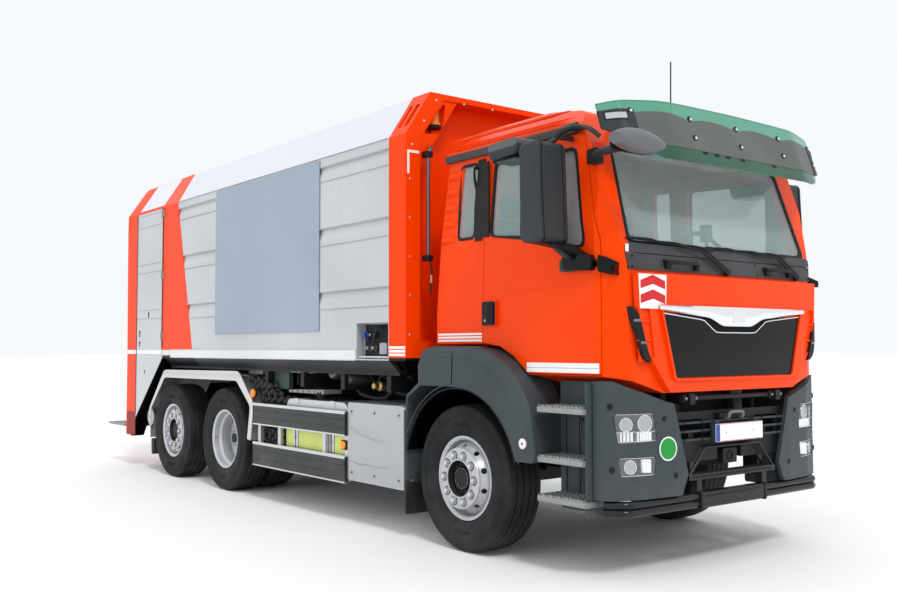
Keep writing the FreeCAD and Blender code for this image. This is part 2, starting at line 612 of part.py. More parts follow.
def body_shell():
    outer = front_plate(body_contour(4, SIDE_BOTTOM), BODY_FRONT, BODY_REAR)
    inner = front_plate(body_contour(BODY_WALL, SIDE_BOTTOM - 10), BODY_FRONT - 10, BODY_REAR + 10)
    shell = outer.cut(inner)
    foot = front_plate([(BODY_HALF - 4, SIDE_BOTTOM), (BODY_HALF - BODY_WALL, SIDE_BOTTOM),
                        (1130, FLOOR_TOP + SEAT_GAP), (1170, FLOOR_TOP + SEAT_GAP)], BODY_FRONT, BODY_REAR)
    shell = shell.fuse([foot, mirrored(foot)])
    grooves = []
    for top, bottom in GROOVES:
        groove = front_plate([(BODY_HALF + 5, top), (BODY_HALF - 22, top - 6), (BODY_HALF + 5, bottom)],
                             BODY_FRONT - 5, BODY_REAR + 5)
        grooves += [groove, mirrored(groove)]
    shell = shell.cut(grooves).cut(rear_half_space(0))
    rail = box(BODY_HALF - 30, BODY_HALF, 1300, PORTAL_FOOT_Y - 1, SIDE_BOTTOM, 1430)
    shell = shell.fuse([rail, mirrored(rail)])
    # closed tray for the hydraulic valves, let into the right side behind the portal
    deep = NICHE_DEPTH
    tray = box(-BODY_HALF + 4, -BODY_HALF + deep, BODY_FRONT, 1300, SIDE_BOTTOM, NICHE_TOP + 10)
    hollow = box(-BODY_HALF - 10, -BODY_HALF + deep - 10, BODY_FRONT + 12, 1290, SIDE_BOTTOM + 10, NICHE_TOP)
    keep("body_shell", [shell.fuse(tray).cut(hollow).removeSplitter()])


def body_floor():
    low = FLOOR_TOP - FLOOR_T
    plate = box(-1170, 1170, BODY_FRONT, BODY_REAR, low, FLOOR_TOP)
    beams = both_sides([box(FRAME_HALF - RAIL_FLANGE, FRAME_HALF - 2, 900, BODY_REAR,
                            RAIL_TOP + SEAT_GAP, low)])
    bearers = [box(-1150, 1150, y - 30, y + 30, 1095, low) for y in (1000.0, 1700.0, 2400.0, 3100.0)]
    inner_bearers = [box(-600, 600, BODY_REAR - back - 30, BODY_REAR - back + 30, 1095, low)
                     for back in (1645.0, 945.0, 245.0)]
    keep("body_floor", [fuse([plate] + beams + bearers + inner_bearers)])


def front_portal():
    """Ring frame at the front of the body: deep columns, slotted corners and a recessed front wall."""
    front = BODY_FRONT - PORTAL_DEPTH
    block = front_plate(body_contour(0, SIDE_BOTTOM), front, BODY_FRONT)
    recess = front_plate([(1140, 1500), (1140, SIDE_TOP - 20), (900, BODY_TOP - 45), (-900, BODY_TOP - 45),
                          (-1140, SIDE_TOP - 20), (-1140, 1500)], front - 5, BODY_FRONT - 40)
    foot = front_plate([(-1140, SIDE_BOTTOM), (-1140, FLOOR_TOP), (1140, FLOOR_TOP), (1140, SIDE_BOTTOM)],
                       BODY_FRONT - 40, BODY_FRONT)
    step = box(-600, 600, BODY_FRONT - 40, BODY_FRONT, RAIL_TOP + SEAT_GAP, FLOOR_TOP)
    slots = []
    for y0, y1 in ((front + 45, front + 100), (front + 140, front + 180)):
        slots += both_sides([front_plate([(1300, SIDE_TOP + 75, 10), (1095, SIDE_TOP + 75, 10),
                                          (960, BODY_TOP - 95, 10), (1300, BODY_TOP - 95, 10)], y0, y1)])
    windows = both_sides([front_plate([(1080, SIDE_TOP + 60, 12), (890, SIDE_TOP + 60, 12),
                                       (890, BODY_TOP - 75, 12), (925, BODY_TOP - 75, 12)],
                                      BODY_FRONT - 70, BODY_FRONT - 14)])
    plates = both_sides([front_plate([(1141, SIDE_TOP - 19), (901, BODY_TOP - 44), (760, BODY_TOP - 44),
                                      (1141, SIDE_TOP - 260)], front + 12, front + 20)])
    openings = both_sides([front_plate([(1098, SIDE_TOP + 20, 12), (910, SIDE_TOP + 45, 12),
                                        (880, BODY_TOP - 80, 12), (905, BODY_TOP - 80, 12)],
                                       front - 5, front + 40)])
    whole = fuse([cut(block, [recess] + slots + windows), foot, step] + plates)
    keep("front_portal", [cut(whole, openings)])


CYL_R = 45.0
CYL_X = 1190.0
HINGE_Z = BODY_TOP
BARREL_PIN = (BODY_REAR - 450, HINGE_Z - 1200)
ROD_PIN = (BODY_REAR + 180, HINGE_Z - 450)
POCKET_WALL = 12.0


# tailgate hinge on the roof edge: stations along x of each half's barrels and of the pin
BARREL_R = 32.0
HINGE_ROOM = 6.0
TAIL_PIN_R = 14.0
PORTAL_BARRELS = ((430.0, 500.0), (640.0, 710.0))
TAIL_BARRELS = ((504.0, 636.0),)
TAIL_PIN = (430.0, 710.0)


def hinge_rods(stations, radius):
    return both_sides([rod(radius, (x0, *TAIL_HINGE), (x1, *TAIL_HINGE)) for x0, x1 in stations])


def rear_portal():
    """Box-section ring at the back of the body; its columns house the tailgate cylinders."""
    ring = front_plate(body_contour(0, SIDE_BOTTOM), PORTAL_FOOT_Y - 95, BODY_REAR)
    mouth = front_plate([(POCKET_HALF, SIDE_BOTTOM - 5), (POCKET_HALF, SIDE_TOP - 40), (930, BODY_TOP - 60),
                         (-930, BODY_TOP - 60), (-POCKET_HALF, SIDE_TOP - 40),
                         (-POCKET_HALF, SIDE_BOTTOM - 5)], PORTAL_FOOT_Y - 105, BODY_REAR + 10)
    ring = ring.cut(mouth).common(rear_half_space(0))
    foot = front_plate([(BODY_HALF, SIDE_BOTTOM), (POCKET_HALF, SIDE_BOTTOM), (1090, FLOOR_TOP + SEAT_GAP),
                        (1170, FLOOR_TOP + SEAT_GAP)], PORTAL_FOOT_Y, BODY_REAR)
    back, foot_z = BARREL_PIN
    pocket = side_plate([(BODY_REAR + 5, HINGE_Z - 860), (back + 90, foot_z - 90, 30),
                         (back - 80, foot_z - 90, 30), (back - 80, foot_z + 150, 30),
                         (BODY_REAR - 80, HINGE_Z - 400, 20), (BODY_REAR + 5, HINGE_Z - 400)],
                        POCKET_HALF + 15, BODY_HALF - POCKET_WALL)
    pin = rod(24, (POCKET_HALF + 10, back, foot_z), (BODY_HALF - 5, back, foot_z))
    ring = ring.fuse([foot, mirrored(foot)]).cut([pocket, mirrored(pocket)]).fuse([pin, mirrored(pin)])
    ring = ring.cut(hinge_rods(TAIL_BARRELS, BARREL_R + HINGE_ROOM))
    ring = ring.fuse(hinge_rods(PORTAL_BARRELS, BARREL_R) + hinge_rods([TAIL_PIN], TAIL_PIN_R))
    keep("rear_portal", [ring.removeSplitter()])


def ejector_plate():
    """Push-out plate with side wings, ribs and runners, sliding on the body floor."""
    y = 1010.0
    top = SIDE_TOP - 100
    plate = box(-1090, 1090, y, y + 60, FLOOR_TOP + 6, top)
    wings = both_sides([box(1080, BODY_HALF - 60, y, y + 60, NICHE_TOP + 30, top - 40)])
    ribs = [box(x - 20, x + 20, y - 90, y + 5, FLOOR_TOP + 6, top - 100) for x in (-700.0, 0.0, 700.0)]
    shoes = both_sides([box(900, 1000, y - 95, y + 40, FLOOR_TOP + SEAT_GAP, FLOOR_TOP + 60)])
    webs = both_sides([box(900, 1000, y - 90, y + 5, FLOOR_TOP + 50, 1500)])
    keep("ejector_plate", [fuse([plate] + wings + ribs + shoes + webs)])


# ---- tailgate with its packer ------------------------------------------------------------------
GUIDE_ANGLE = radians(30.0)
GUIDE_OFFSETS = (150.0, 560.0)
TROUGH_R = 600.0
TROUGH_T = 30.0
BLADE_R = 582.0
BLADE_LOW = (TAILGATE_REAR - 68 - TROUGH_R - 2, 1650.0)
CARRIAGE_STROKE = 750.0
BLADE_UP = (BLADE_LOW[0] - CARRIAGE_STROKE * cos(GUIDE_ANGLE),
            BLADE_LOW[1] + CARRIAGE_STROKE * sin(GUIDE_ANGLE))


def tailgate():
    """Hopper shell with pocketed side walls, a curved trough, packer guides and lifter lugs."""
    front, rear = TAILGATE_FRONT, TAILGATE_REAR
    half = POCKET_HALF
    side_view = [(front, SIDE_BOTTOM), (front, BODY_TOP), (rear, BODY_TOP, 60), (rear + 30, 2900, 300),
                 (rear, SILL_Z), (rear, 390, 30), (rear - 150, 390, 30), (rear - 330, 630)]
    silhouette = side_plate(side_view, -1400, 1400)
    outer = front_plate(body_contour(0, 300), front, rear + 60).common(silhouette)
    hollow = front_plate([(half, 200), (half, SIDE_TOP - 40), (930, BODY_TOP - 50), (-930, BODY_TOP - 50),
                          (-half, SIDE_TOP - 40), (-half, 200)], front - 10, rear + 90)
    shell = outer.cut(hollow)
    side_room = side_plate([(front + 45, SIDE_BOTTOM + 60), (front + 45, SIDE_TOP - 100),
                            (rear - 60, SIDE_TOP - 100), (rear - 60, 450), (rear - 120, 450),
                            (rear - 300, 700)], half + 15, BODY_HALF - POCKET_WALL)
    mouth_pocket = side_plate([(front - 5, HINGE_Z - 740), (front - 5, HINGE_Z - 255),
                               (ROD_PIN[0] + 20, HINGE_Z - 255), (ROD_PIN[0] + 75, ROD_PIN[1] + 80),
                               (ROD_PIN[0] + 75, ROD_PIN[1] - 90, 20)], half + 15, BODY_HALF - POCKET_WALL)
    mouth_pocket = mouth_pocket.common(front_plate(body_contour(POCKET_WALL, 300), front - 5, front + 550))
    shell = shell.cut([side_room, mirrored(side_room), mouth_pocket, mirrored(mouth_pocket)])
    # trough: an arc about the packer's low hinge, run out along the guides to the body floor
    cy, cz = BLADE_LOW
    down = (-sin(GUIDE_ANGLE), -cos(GUIDE_ANGLE))
    ahead = (-cos(GUIDE_ANGLE), sin(GUIDE_ANGLE))

    def trough_edge(radius):
        low = (cy + down[0] * radius, cz + down[1] * radius)
        run = (low[0] - front - 1) / cos(GUIDE_ANGLE)
        return low, (low[0] + ahead[0] * run, low[1] + ahead[1] * run)

    def point(y, z):
        return V(-half - 5, y, z)

    def arc(radius, low):
        middle = radians(-75.0)
        return Part.Arc(point(cy + radius, cz), point(cy + radius * cos(middle), cz + radius * sin(middle)),
                        point(*low)).toShape()

    def line(a, b):
        return Part.LineSegment(point(*a), point(*b)).toShape()

    low_in, lip_in = trough_edge(TROUGH_R)
    low_out, lip_out = trough_edge(TROUGH_R + TROUGH_T)
    wire = Part.Wire([arc(TROUGH_R, low_in), line(low_in, lip_in), line(lip_in, lip_out),
                      line(lip_out, low_out), arc(TROUGH_R + TROUGH_T, low_out),
                      line((cy + TROUGH_R + TROUGH_T, cz), (cy + TROUGH_R, cz))])
    trough = Part.Face(wire).extrude(V(2 * half + 10, 0, 0))
    trough = trough.cut(box(-1300, 1300, rear - 600, rear + 400, SILL_Z, 2000))
    rear_wall = box(-half - 5, half + 5, rear - 40, rear, 480, SILL_Z)
    sill = box(-half - 5, half + 5, rear - 135, rear + 12, SILL_Z - 40, SILL_Z)
    header = side_plate([(rear - 50, MOUTH_TOP), (rear + 18, MOUTH_TOP + 20), (rear - 5, BODY_TOP - 30),
                         (rear - 50, BODY_TOP - 30)], -half - 5, half + 5)
    header = header.common(front_plate(body_contour(20, 300), rear - 600, rear + 400))
    room = box(0, 1400, front, rear - 5, 300, BODY_TOP - 60)
    guides = []
    for offset in GUIDE_OFFSETS:
        for edge in (-52.0, 36.0):
            base = (cy - down[0] * (offset + edge), cz - down[1] * (offset + edge))
            corners = [(-120, 0), (CARRIAGE_STROKE, 0), (CARRIAGE_STROKE, 16), (-120, 16)]
            points = [(base[0] + ahead[0] * s - down[0] * t, base[1] + ahead[1] * s - down[1] * t)
                      for s, t in corners]
            guides.append(side_plate(points, half - 50, half + 2).common(room))
    ay, az = LIFTER_AXIS
    lugs = []
    for x in (-650.0, 650.0):
        lugs.append(box(x - 25, x + 25, rear - 5, ay + 45, az - 50, SILL_Z + 5))
        lugs.append(box(x - 25, x + 25, ay - 45, ay + 45, az - 50, az + 45))
    sy, sz = STEP_AXIS
    step_lugs = [side_plate([(rear - 5, sz - 22), (sy + 22, sz - 22, 20), (sy + 22, sz + 22, 20),
                             (rear - 5, sz + 22)], x - 12, x + 12) for x in (900.0, 1190.0)]
    whole = shell.fuse([trough, rear_wall, sill, header] + both_sides(guides + step_lugs) + lugs)
    whole = whole.cut([rod(LIFTER_PIN_R + RUN_GAP, (-800, ay, az), (800, ay, az)),
                       rod(STEP_PIN_R + RUN_GAP, (-1300, sy, sz), (1300, sy, sz))])
    whole = whole.cut(hinge_rods(PORTAL_BARRELS, BARREL_R + HINGE_ROOM))
    whole = whole.fuse(hinge_rods(TAIL_BARRELS, BARREL_R)).cut(hinge_rods([TAIL_PIN], TAIL_PIN_R + RUN_GAP))
    keep("tailgate", [whole.removeSplitter()])


LIFTER_AXIS = (TAILGATE_REAR + 100, 1330.0)
LIFTER_PIN_R = 25.0
STEP_AXIS = (TAILGATE_REAR + 40, 495.0)
STEP_PIN_R = 10.0


def packer():
    """Carriage on the guides at rest in its upper place, with the hinged blade folded in."""
    hy, hz = BLADE_UP
    up = (sin(GUIDE_ANGLE), cos(GUIDE_ANGLE))
    back = (cos(GUIDE_ANGLE), -sin(GUIDE_ANGLE))
    half = POCKET_HALF - 60

    def at(along, across):
        return (hy + up[0] * along + back[0] * across, hz + up[1] * along + back[1] * across)

    plate = side_plate([at(90, -50), at(90, 40), at(300, 60), at(700, 30), at(700, -30), at(300, -70)],
                       -half, half)
    ears = []
    for x in (-900.0, -300.0, 300.0, 900.0):
        ears.append(side_plate([(*at(-44, -44), 20), (*at(-44, 44), 20), at(120, 44), at(120, -50)],
                               x - 30, x + 30))
    bore = rod(40 + RUN_GAP, (-1200, hy, hz), (1200, hy, hz))
    shoes = []
    for offset in GUIDE_OFFSETS:
        reach = 36 - SEAT_GAP
        shoe = side_plate([at(offset - reach, -90), at(offset + reach, -90), at(offset + reach, 90),
                           at(offset - reach, 90)],
                          half - 5, POCKET_HALF - 6)
        shoes += [shoe, mirrored(shoe)]
    carriage = plate.fuse(ears + shoes).cut(bore)
    keep("packer_carriage", [carriage.removeSplitter()])
    # blade: swept plate from the hinge tube down to its tip
    down = (-up[0], -up[1])

    def tip(along, across):
        return (hy + down[0] * along + back[0] * across, hz + down[1] * along + back[1] * across)

    tube = rod(40, (-half + 5, hy, hz), (half - 5, hy, hz))
    blade = side_plate([tip(82, -30), tip(82, 30), tip(330, 80), tip(BLADE_R - 20, 40), tip(BLADE_R - 20, 10),
                        tip(330, -20)], -half + 5, half - 5)
    arms = []
    for x in (-1000.0, -600.0, 0.0, 600.0, 1000.0):
        arms.append(side_plate([tip(-28, -28), tip(-28, 28), tip(90, 30), tip(90, -30)], x - 25, x + 25))
    keep("packer_blade", [tube.fuse([blade] + arms).removeSplitter()])


def bin_lifter():
    ay, az = LIFTER_AXIS
    shaft = rod(LIFTER_PIN_R, (-720, ay, az), (720, ay, az))
    arms = []
    for x in (-560.0, 560.0):
        arms.append(side_plate([(ay - 40, az + 40, 30), (ay + 45, az + 40, 30), (ay + 150, az - 300, 20),
                                (ay + 130, az - 390, 20), (ay + 70, az - 390, 20), (ay + 40, az - 120, 60),
                                (ay - 40, az - 40, 30)], x - 20, x + 20))
    beam = box(-580, 580, ay + 75, ay + 135, az - 390, az - 300)
    comb = []
    for i in range(11):
        x = -525 + i * 105.0
        comb.append(side_plate([(ay + 76, az - 310), (ay + 130, az - 310), (ay + 150, az - 215),
                                (ay + 128, az - 205), (ay + 100, az - 290)], x - 16, x + 16))
    bumper_bar = box(-580, 580, ay + 80, ay + 120, az - 640, az - 600)
    legs = [box(x - 18, x + 18, ay + 85, ay + 115, az - 610, az - 380) for x in (-560.0, 560.0)]
    keep("bin_lifter", [fuse([shaft, beam, bumper_bar] + arms + comb + legs)])


def footboards():
    ay, az = STEP_AXIS
    plate = box(880, 1262, ay + 38, REAR_TIP, az - 14, az + 14)
    slots = []
    for i in range(5):
        y0 = ay + 90 + i * 105
        slots += [box(x0, x0 + 90, y0, y0 + 60, az - 30, az + 30) for x0 in (915.0, 1027.0, 1139.0)]
    pin = rod(STEP_PIN_R, (880, ay, az), (1210, ay, az))
    ears = [box(x - 20, x + 20, ay - 14, ay + 50, az - 14, az + 14) for x in (940.0, 1150.0)]
    whole = fuse([plate.cut(slots), pin] + ears)
    keep("footboard_left", [whole])
    keep("footboard_right", [mirrored(whole)])


def tailgate_cylinders():
    by, bz = BARREL_PIN
    ry, rz = ROD_PIN
    length = hypot(ry - by, rz - bz)
    dy, dz = (ry - by) / length, (rz - bz) / length
    barrel_end = 895.0

    def along(s):
        return (CYL_X, by + dy * s, bz + dz * s)

    eye = rod(48, (CYL_X - 30, by, bz), (CYL_X + 30, by, bz))
    barrel = rod(CYL_R, along(30), along(barrel_end)).fuse(eye)
    barrel = barrel.cut([rod(24 + RUN_GAP, (CYL_X - 60, by, bz), (CYL_X + 60, by, bz)),
                         rod(27 + RUN_GAP, along(70), along(barrel_end + 10))])
    keep("cylinder_barrels", both_sides([barrel.removeSplitter()]))
    piston = rod(27, along(90), along(length - 30))
    rod_eye = rod(38, (CYL_X - 28, ry, rz), (CYL_X + 28, ry, rz))
    rod_pin = rod(20, (POCKET_HALF + 15 + SEAT_GAP, ry, rz), (CYL_X + 36, ry, rz))
    piston = piston.fuse([rod_eye, rod_pin])
    keep("cylinder_rods", both_sides([piston.removeSplitter()]))


# ---- cab ---------------------------------------------------------------------------------------
def cab_block(inset):
    """Closed block of the cab: side view, plan view and front view prisms in common."""
    i = inset
    side_view = [(CAB_REAR - i, CAB_FLOOR_REAR + i), (CAB_REAR - i, 1700), (CAB_REAR - 120 - i, GUTTER_Z),
                 (CAB_REAR - 190 - i, ROOF_Z - 30 - i, 90), (-350, ROOF_Z - i, 600),
                 (-1020 + i, 3010 - i, 160),
                 (-1170 + i, 2760), (CAB_FRONT + 25 + i, BELT_Z, 60), (CAB_FRONT + i, 1900),
                 (CAB_FRONT + i, CAB_FLOOR + i), (-700, CAB_FLOOR + i), (-610, 1280 + i), (-470, 1390 + i),
                 (-320, 1462 + i), (-120, CAB_FLOOR_REAR + i)]
    body = side_plate(side_view, -1400, 1400)
    corner = CAB_FRONT + 30 + i * 0.6
    nose = CAB_FRONT - 20 + i * 0.4
    plan = [(CAB_HALF - i, CAB_REAR + 20), (CAB_HALF - i, -1240, 60), (CAB_HALF - 120 - i, corner, 120),
            (500, nose), (-500, nose), (-CAB_HALF + 120 + i, corner, 120),
            (-CAB_HALF + i, -1240, 60), (-CAB_HALF + i, CAB_REAR + 20)]
    columns = flat_plate(plan, 1000, 3300)
    right = [(700, CAB_FLOOR + i), (960, 1240 + i), (CAB_HALF - i, 1272 + i), (CAB_HALF - i, 2250),
             (CAB_HALF - 45 - i, GUTTER_Z + 30 - i * 0.3, 60), (850, ROOF_Z - 20 - i, 200)]
    front_view = right + [(-p[0], *p[1:]) for p in reversed(right)]
    section = front_plate(front_view, -1600, 500)
    return body.common(columns).common(section)


DOOR_OUTLINE = [(DOOR_FRONT, DOOR_BOTTOM), (DOOR_FRONT, 2120), (DOOR_FRONT + 40, 2300),
                (DOOR_FRONT + 142, DOOR_TOP, 60), (DOOR_REAR - 50, DOOR_TOP, 60), (DOOR_REAR, 1700),
                (DOOR_REAR, 1484), (-180, 1482), (-320, 1455, 150), (-468, 1382, 150),
                (-597, DOOR_BOTTOM, 40)]
WINDOW_OUTLINE = [(DOOR_FRONT + 110, 2080, 30), (DOOR_FRONT + 215, 2735, 50), (DOOR_REAR - 110, 2765, 50),
                  (DOOR_REAR - 90, 2235, 50)]
SCREEN_POINTS = [(-960, 2105, 60), (960, 2105, 60), (905, 2770, 80), (-905, 2770, 80)]
QUARTER_POINTS = [(-50, 2240, 40), (-66, 2790, 40), (110, 2790, 40), (140, 2240, 40)]
DOOR_T = 60.0


def door_prism(points, grow, x0, x1):
    """Prism of a side outline, grown outwards by an offset."""
    wire = outline(points, lambda a, b: V(x0, a, b))
    if grow:
        wire = wire.makeOffset2D(grow)
    return Part.Face(wire).extrude(V(x1 - x0, 0, 0))


def cab():
    block = cab_block(0)
    room = cab_block(CAB_WALL)
    shell = block.cut(room)
    roof_space = box(-1300, 1300, -1700, 600, GUTTER_Z + 10, 3400)
    roof = shell.common(roof_space)
    shell = shell.cut(roof_space)
    door_space = door_prism(DOOR_OUTLINE, SEAT_GAP + 5, CAB_HALF - 200, CAB_HALF + 80)
    flap_space = front_plate(FLAP_POINTS, -1700, CAB_FRONT + 12)
    windscreen = front_plate(SCREEN_POINTS, -1600, -1050)
    quarter = side_plate(QUARTER_POINTS, CAB_HALF - 200, CAB_HALF + 80)
    tunnel = box(-ENGINE_HALF - 60, ENGINE_HALF + 60, CAB_FRONT + 60, CAB_REAR + 20, 1000, 1330)
    hump = box(-ENGINE_HALF - 100, ENGINE_HALF + 100, CAB_FRONT + 52, CAB_REAR - 40, 1300, 1380)
    cuts = [door_space, mirrored(door_space), flap_space, windscreen, quarter, mirrored(quarter), tunnel]
    floor_hump = hump.common(block)
    shell = shell.cut(cuts).fuse(floor_hump.cut(tunnel))
    py, pz = CAB_PIVOT
    lug = side_plate([(py - 26, pz - 26, 20), (py - 26, pz + 22, 10), (py + 16, pz + 24),
                      (py + 30, CAB_FLOOR + 20), (py + 75, CAB_FLOOR + 20), (py + 75, CAB_FLOOR - 5),
                      (py + 30, pz - 26, 20)], FRAME_HALF + 20, FRAME_HALF + 56)
    shell = shell.fuse([lug, mirrored(lug)])
    shell = shell.cut(rod(PIVOT_R + RUN_GAP, (-PIVOT_HALF - 5, py, pz), (PIVOT_HALF + 5, py, pz)))
    keep("cab_shell", [shell.removeSplitter()])
    antenna = rod(5, (-60, -980, 2990), (-60, -990, 3500))
    hatch = box(-300, 300, -500, 100, ROOF_Z - 40, ROOF_Z + 26)
    gutter = side_plate([(-1050, 2880, 10), (-1050, 2838, 10), (CAB_REAR - 100, 2838, 10),
                         (CAB_REAR - 110, 2902, 10), (-900, 2902, 10)], CAB_HALF - 60, CAB_HALF - 14)
    gutters = both_sides([gutter.cut(block)])
    keep("cab_roof", [roof.fuse([antenna, hatch.cut(room)] + gutters).removeSplitter()])
    # glass follows the outside of the shell, 6 mm thick and 6 mm below the skin
    skin = cab_block(8).cut(cab_block(16))
    screen_wire = outline(SCREEN_POINTS, lambda a, b: V(a, -1600, b)).makeOffset2D(-SEAT_GAP)
    screen = skin.common(Part.Face(screen_wire).extrude(V(0, 550, 0)))
    pane = skin.common(door_prism(QUARTER_POINTS, -SEAT_GAP, CAB_HALF - 200, CAB_HALF + 80))
    keep("cab_glass", [screen, pane, mirrored(pane)])
    door = block.cut(cab_block(DOOR_T)).common(door_prism(DOOR_OUTLINE, 0, CAB_HALF - 200, CAB_HALF + 80))
    window = door_prism(WINDOW_OUTLINE, 0, CAB_HALF - 200, CAB_HALF + 80)
    door = door.cut(window)
    glass = skin.common(door_prism(WINDOW_OUTLINE, -SEAT_GAP, CAB_HALF - 200, CAB_HALF + 80))
    handle = side_plate([(-305, 1600, 12), (-150, 1600, 12), (-150, 1780, 12), (-305, 1780, 12)],
                        CAB_HALF - 4, CAB_HALF + 22)
    door = door.fuse(handle).removeSplitter()
    for name, side in (("left", 1), ("right", -1)):
        keep("door_" + name, [door if side > 0 else mirrored(door)])
        keep("door_glass_" + name, [glass if side > 0 else mirrored(glass)])


FLAP_POINTS = [(-985, FLAP_TOP), (985, FLAP_TOP), (960, 1500), (690, FLAP_BOTTOM, 40),
               (-690, FLAP_BOTTOM, 40), (-960, 1500)]


def front_flap():
    """Lift-up front panel with a framed, recessed grille field and a slatted vent at each corner."""
    grown = front_plate([(-980, FLAP_TOP - 5), (980, FLAP_TOP - 5), (955, 1503), (687, FLAP_BOTTOM + 6, 40),
                         (-687, FLAP_BOTTOM + 6, 40), (-955, 1503)], -1700, CAB_FRONT + 12 - SEAT_GAP)
    panel = cab_block(0).common(grown)
    pad = front_plate([(-975, FLAP_TOP - 10), (975, FLAP_TOP - 10), (950, 1505), (680, FLAP_BOTTOM + 10, 30),
                       (-680, FLAP_BOTTOM + 10, 30), (-950, 1505)], CAB_FRONT - 32, CAB_FRONT + 10)
    rim = front_plate([(-785, 1718, 20), (785, 1718, 20), (655, 1236, 40), (-655, 1236, 40)],
                      CAB_FRONT - 52, CAB_FRONT - 20)
    field = front_plate([(-762, 1700, 20), (762, 1700, 20), (638, 1252, 30), (-638, 1252, 30)],
                        CAB_FRONT - 80, CAB_FRONT - 26)
    vents = both_sides([front_plate([(868, 1716, 10), (952, 1716, 10), (918, 1440, 10), (822, 1372, 10)],
                                    CAB_FRONT - 80, CAB_FRONT - 14)])
    slats = both_sides([front_plate([(815, z), (960, z), (960, z + 12), (815, z + 12)],
                                    CAB_FRONT - 27, CAB_FRONT - 8) for z in (1490.0, 1605.0)])
    air_slots = []
    for z, w in ((1290.0, 560.0), (1345.0, 575.0)):
        air_slots.append(front_plate([(-w, z, 10), (w, z, 10), (w + 10, z + 34, 10), (-w - 10, z + 34, 10)],
                                     CAB_FRONT - 80, CAB_FRONT + 30))
    flap = cut(fuse([panel, pad, rim]), [field] + vents)
    keep("front_flap", [cut(fuse([flap] + slats), air_slots)])


VISOR_LOW = 2700.0
VISOR_TOP = 3010.0


def sun_visor():
    """Curved transparent shade, leaning back over the windscreen top, on four struts."""
    side = CAB_HALF

    def plan(back, z):
        points = [(-side, -1240 + back * 0.2), (-side + 40, -1400 + back, 120),
                  (-700, -1560 + back, 300), (700, -1560 + back, 300),
                  (side - 40, -1400 + back, 120), (side, -1240 + back * 0.2)]
        inner = [(x * (side - 15) / side, y + 12, *r) for x, y, *r in reversed(points)]
        return outline(points + inner, lambda a, b: V(a, b, z))

    shade = Part.makeLoft([plan(0, VISOR_LOW), plan(110, VISOR_TOP)], True, True)
    struts = both_sides([box(x - 12, x + 12, y, -1060, 2890, 2912) for x, y in ((270, -1484), (800, -1444))])
    keep("sun_visor", [fuse([shade] + struts).cut(cab_block(0)).removeSplitter()])


def mirrors():
    """Main and wide-angle mirror housings on a two-armed bracket fixed to the door."""
    side = CAB_HALF
    housing = side_plate([(-1085, 2100, 40), (-900, 2110, 40), (-890, 2740, 40), (-1060, 2750, 40)],
                         side + 65, side + 335)
    housing = housing.makeFillet(28, at_edges(housing, lambda e: e.BoundBox.XLength < 1))
    arm_low = bent_tube([(side - 6, -1060, 2010), (side + 80, -1060, 2030),
                         (side + 180, -1010, 2120)], 20, 40)
    arm_top = bent_tube([(side - 40, -1010, 2800), (side + 80, -1000, 2800),
                         (side + 180, -985, 2740)], 16, 30)
    base = side_plate([(-1150, 1935, 20), (-1150, 2035, 20), (-1070, 2052, 30), (-960, 2010, 20),
                       (-960, 1935, 20)], side - 4, side + 40)
    kerb = side_plate([(-840, 2700, 40), (-560, 2680, 40), (-560, 2790, 30), (-840, 2810, 30)],
                      side + 80, side + 300)
    kerb = kerb.makeFillet(18, at_edges(kerb, lambda e: e.BoundBox.XLength < 1))
    kerb_arm = box(side + 130, side + 170, -900, -830, 2700, 2740)
    whole = fuse([housing, arm_low, arm_top, base, kerb, kerb_arm]).cut(cab_block(0))
    mirror = max(whole.Solids, key=lambda s: s.Volume)
    keep("mirror_left", [mirror])
    keep("mirror_right", [mirrored(mirror)])
    oval = Part.makeSphere(100)
    stretch = FreeCAD.Matrix()
    stretch.scale(1.95, 0.8, 0.88)
    oval = oval.transformGeometry(stretch)
    oval.translate(V(-side - 90, -FRONT_TIP + 80, 2655))
    stem = bent_tube([(-side + 60, -1140, 2650), (-side - 30, -1300, 2650),
                      (-side - 45, -FRONT_TIP + 110, 2650)], 22, 60)
    stem = max(stem.cut(cab_block(0)).Solids, key=lambda s: s.Volume)
    keep("front_mirror", [oval.fuse(stem).removeSplitter()])


def interior():
    """Two seats on pedestals, and a dashboard with its steering column and wheel."""
    seats = []
    for x in (-600.0, 600.0):
        base = box(x - 170, x + 170, -300, 20, CAB_FLOOR_REAR + CAB_WALL + SEAT_GAP, 1700)
        cushion = side_plate([(-480, 1700, 40), (40, 1690, 40), (40, 1800, 30), (-480, 1830, 50)],
                             x - 250, x + 250)
        back = side_plate([(0, 1790, 30), (110, 1790, 30), (190, 2420, 40), (100, 2430, 40)],
                          x - 240, x + 240)
        head = side_plate([(120, 2440, 20), (190, 2440, 20), (205, 2600, 30), (130, 2600, 30)],
                          x - 130, x + 130)
        neck = box(x - 60, x + 60, 130, 180, 2400, 2460)
        seats.append(fuse([base, cushion, back, head, neck]))
    keep("seats", seats)
    panel = side_plate([(-1330, 1700), (-1120, 1640, 40), (-930, 1750, 60), (-900, 2000, 60),
                        (-1060, 2080, 60), (-1360, 2060)], -1020, 1020).common(cab_block(CAB_WALL + 1))
    column = rod(30, (600, -1000, 1900), (600, -790, 2060))
    wheel = Part.makeTorus(225, 16, V(600, -780, 2075), V(0, 0.8, 0.6))
    bar = rod(12, (600 - 225, -780, 2075), (600 + 225, -780, 2075))
    boss = rod(60, (600, -800, 2050), (600, -776, 2080))
    keep("dashboard", [fuse([panel, column, wheel, boss, bar])])


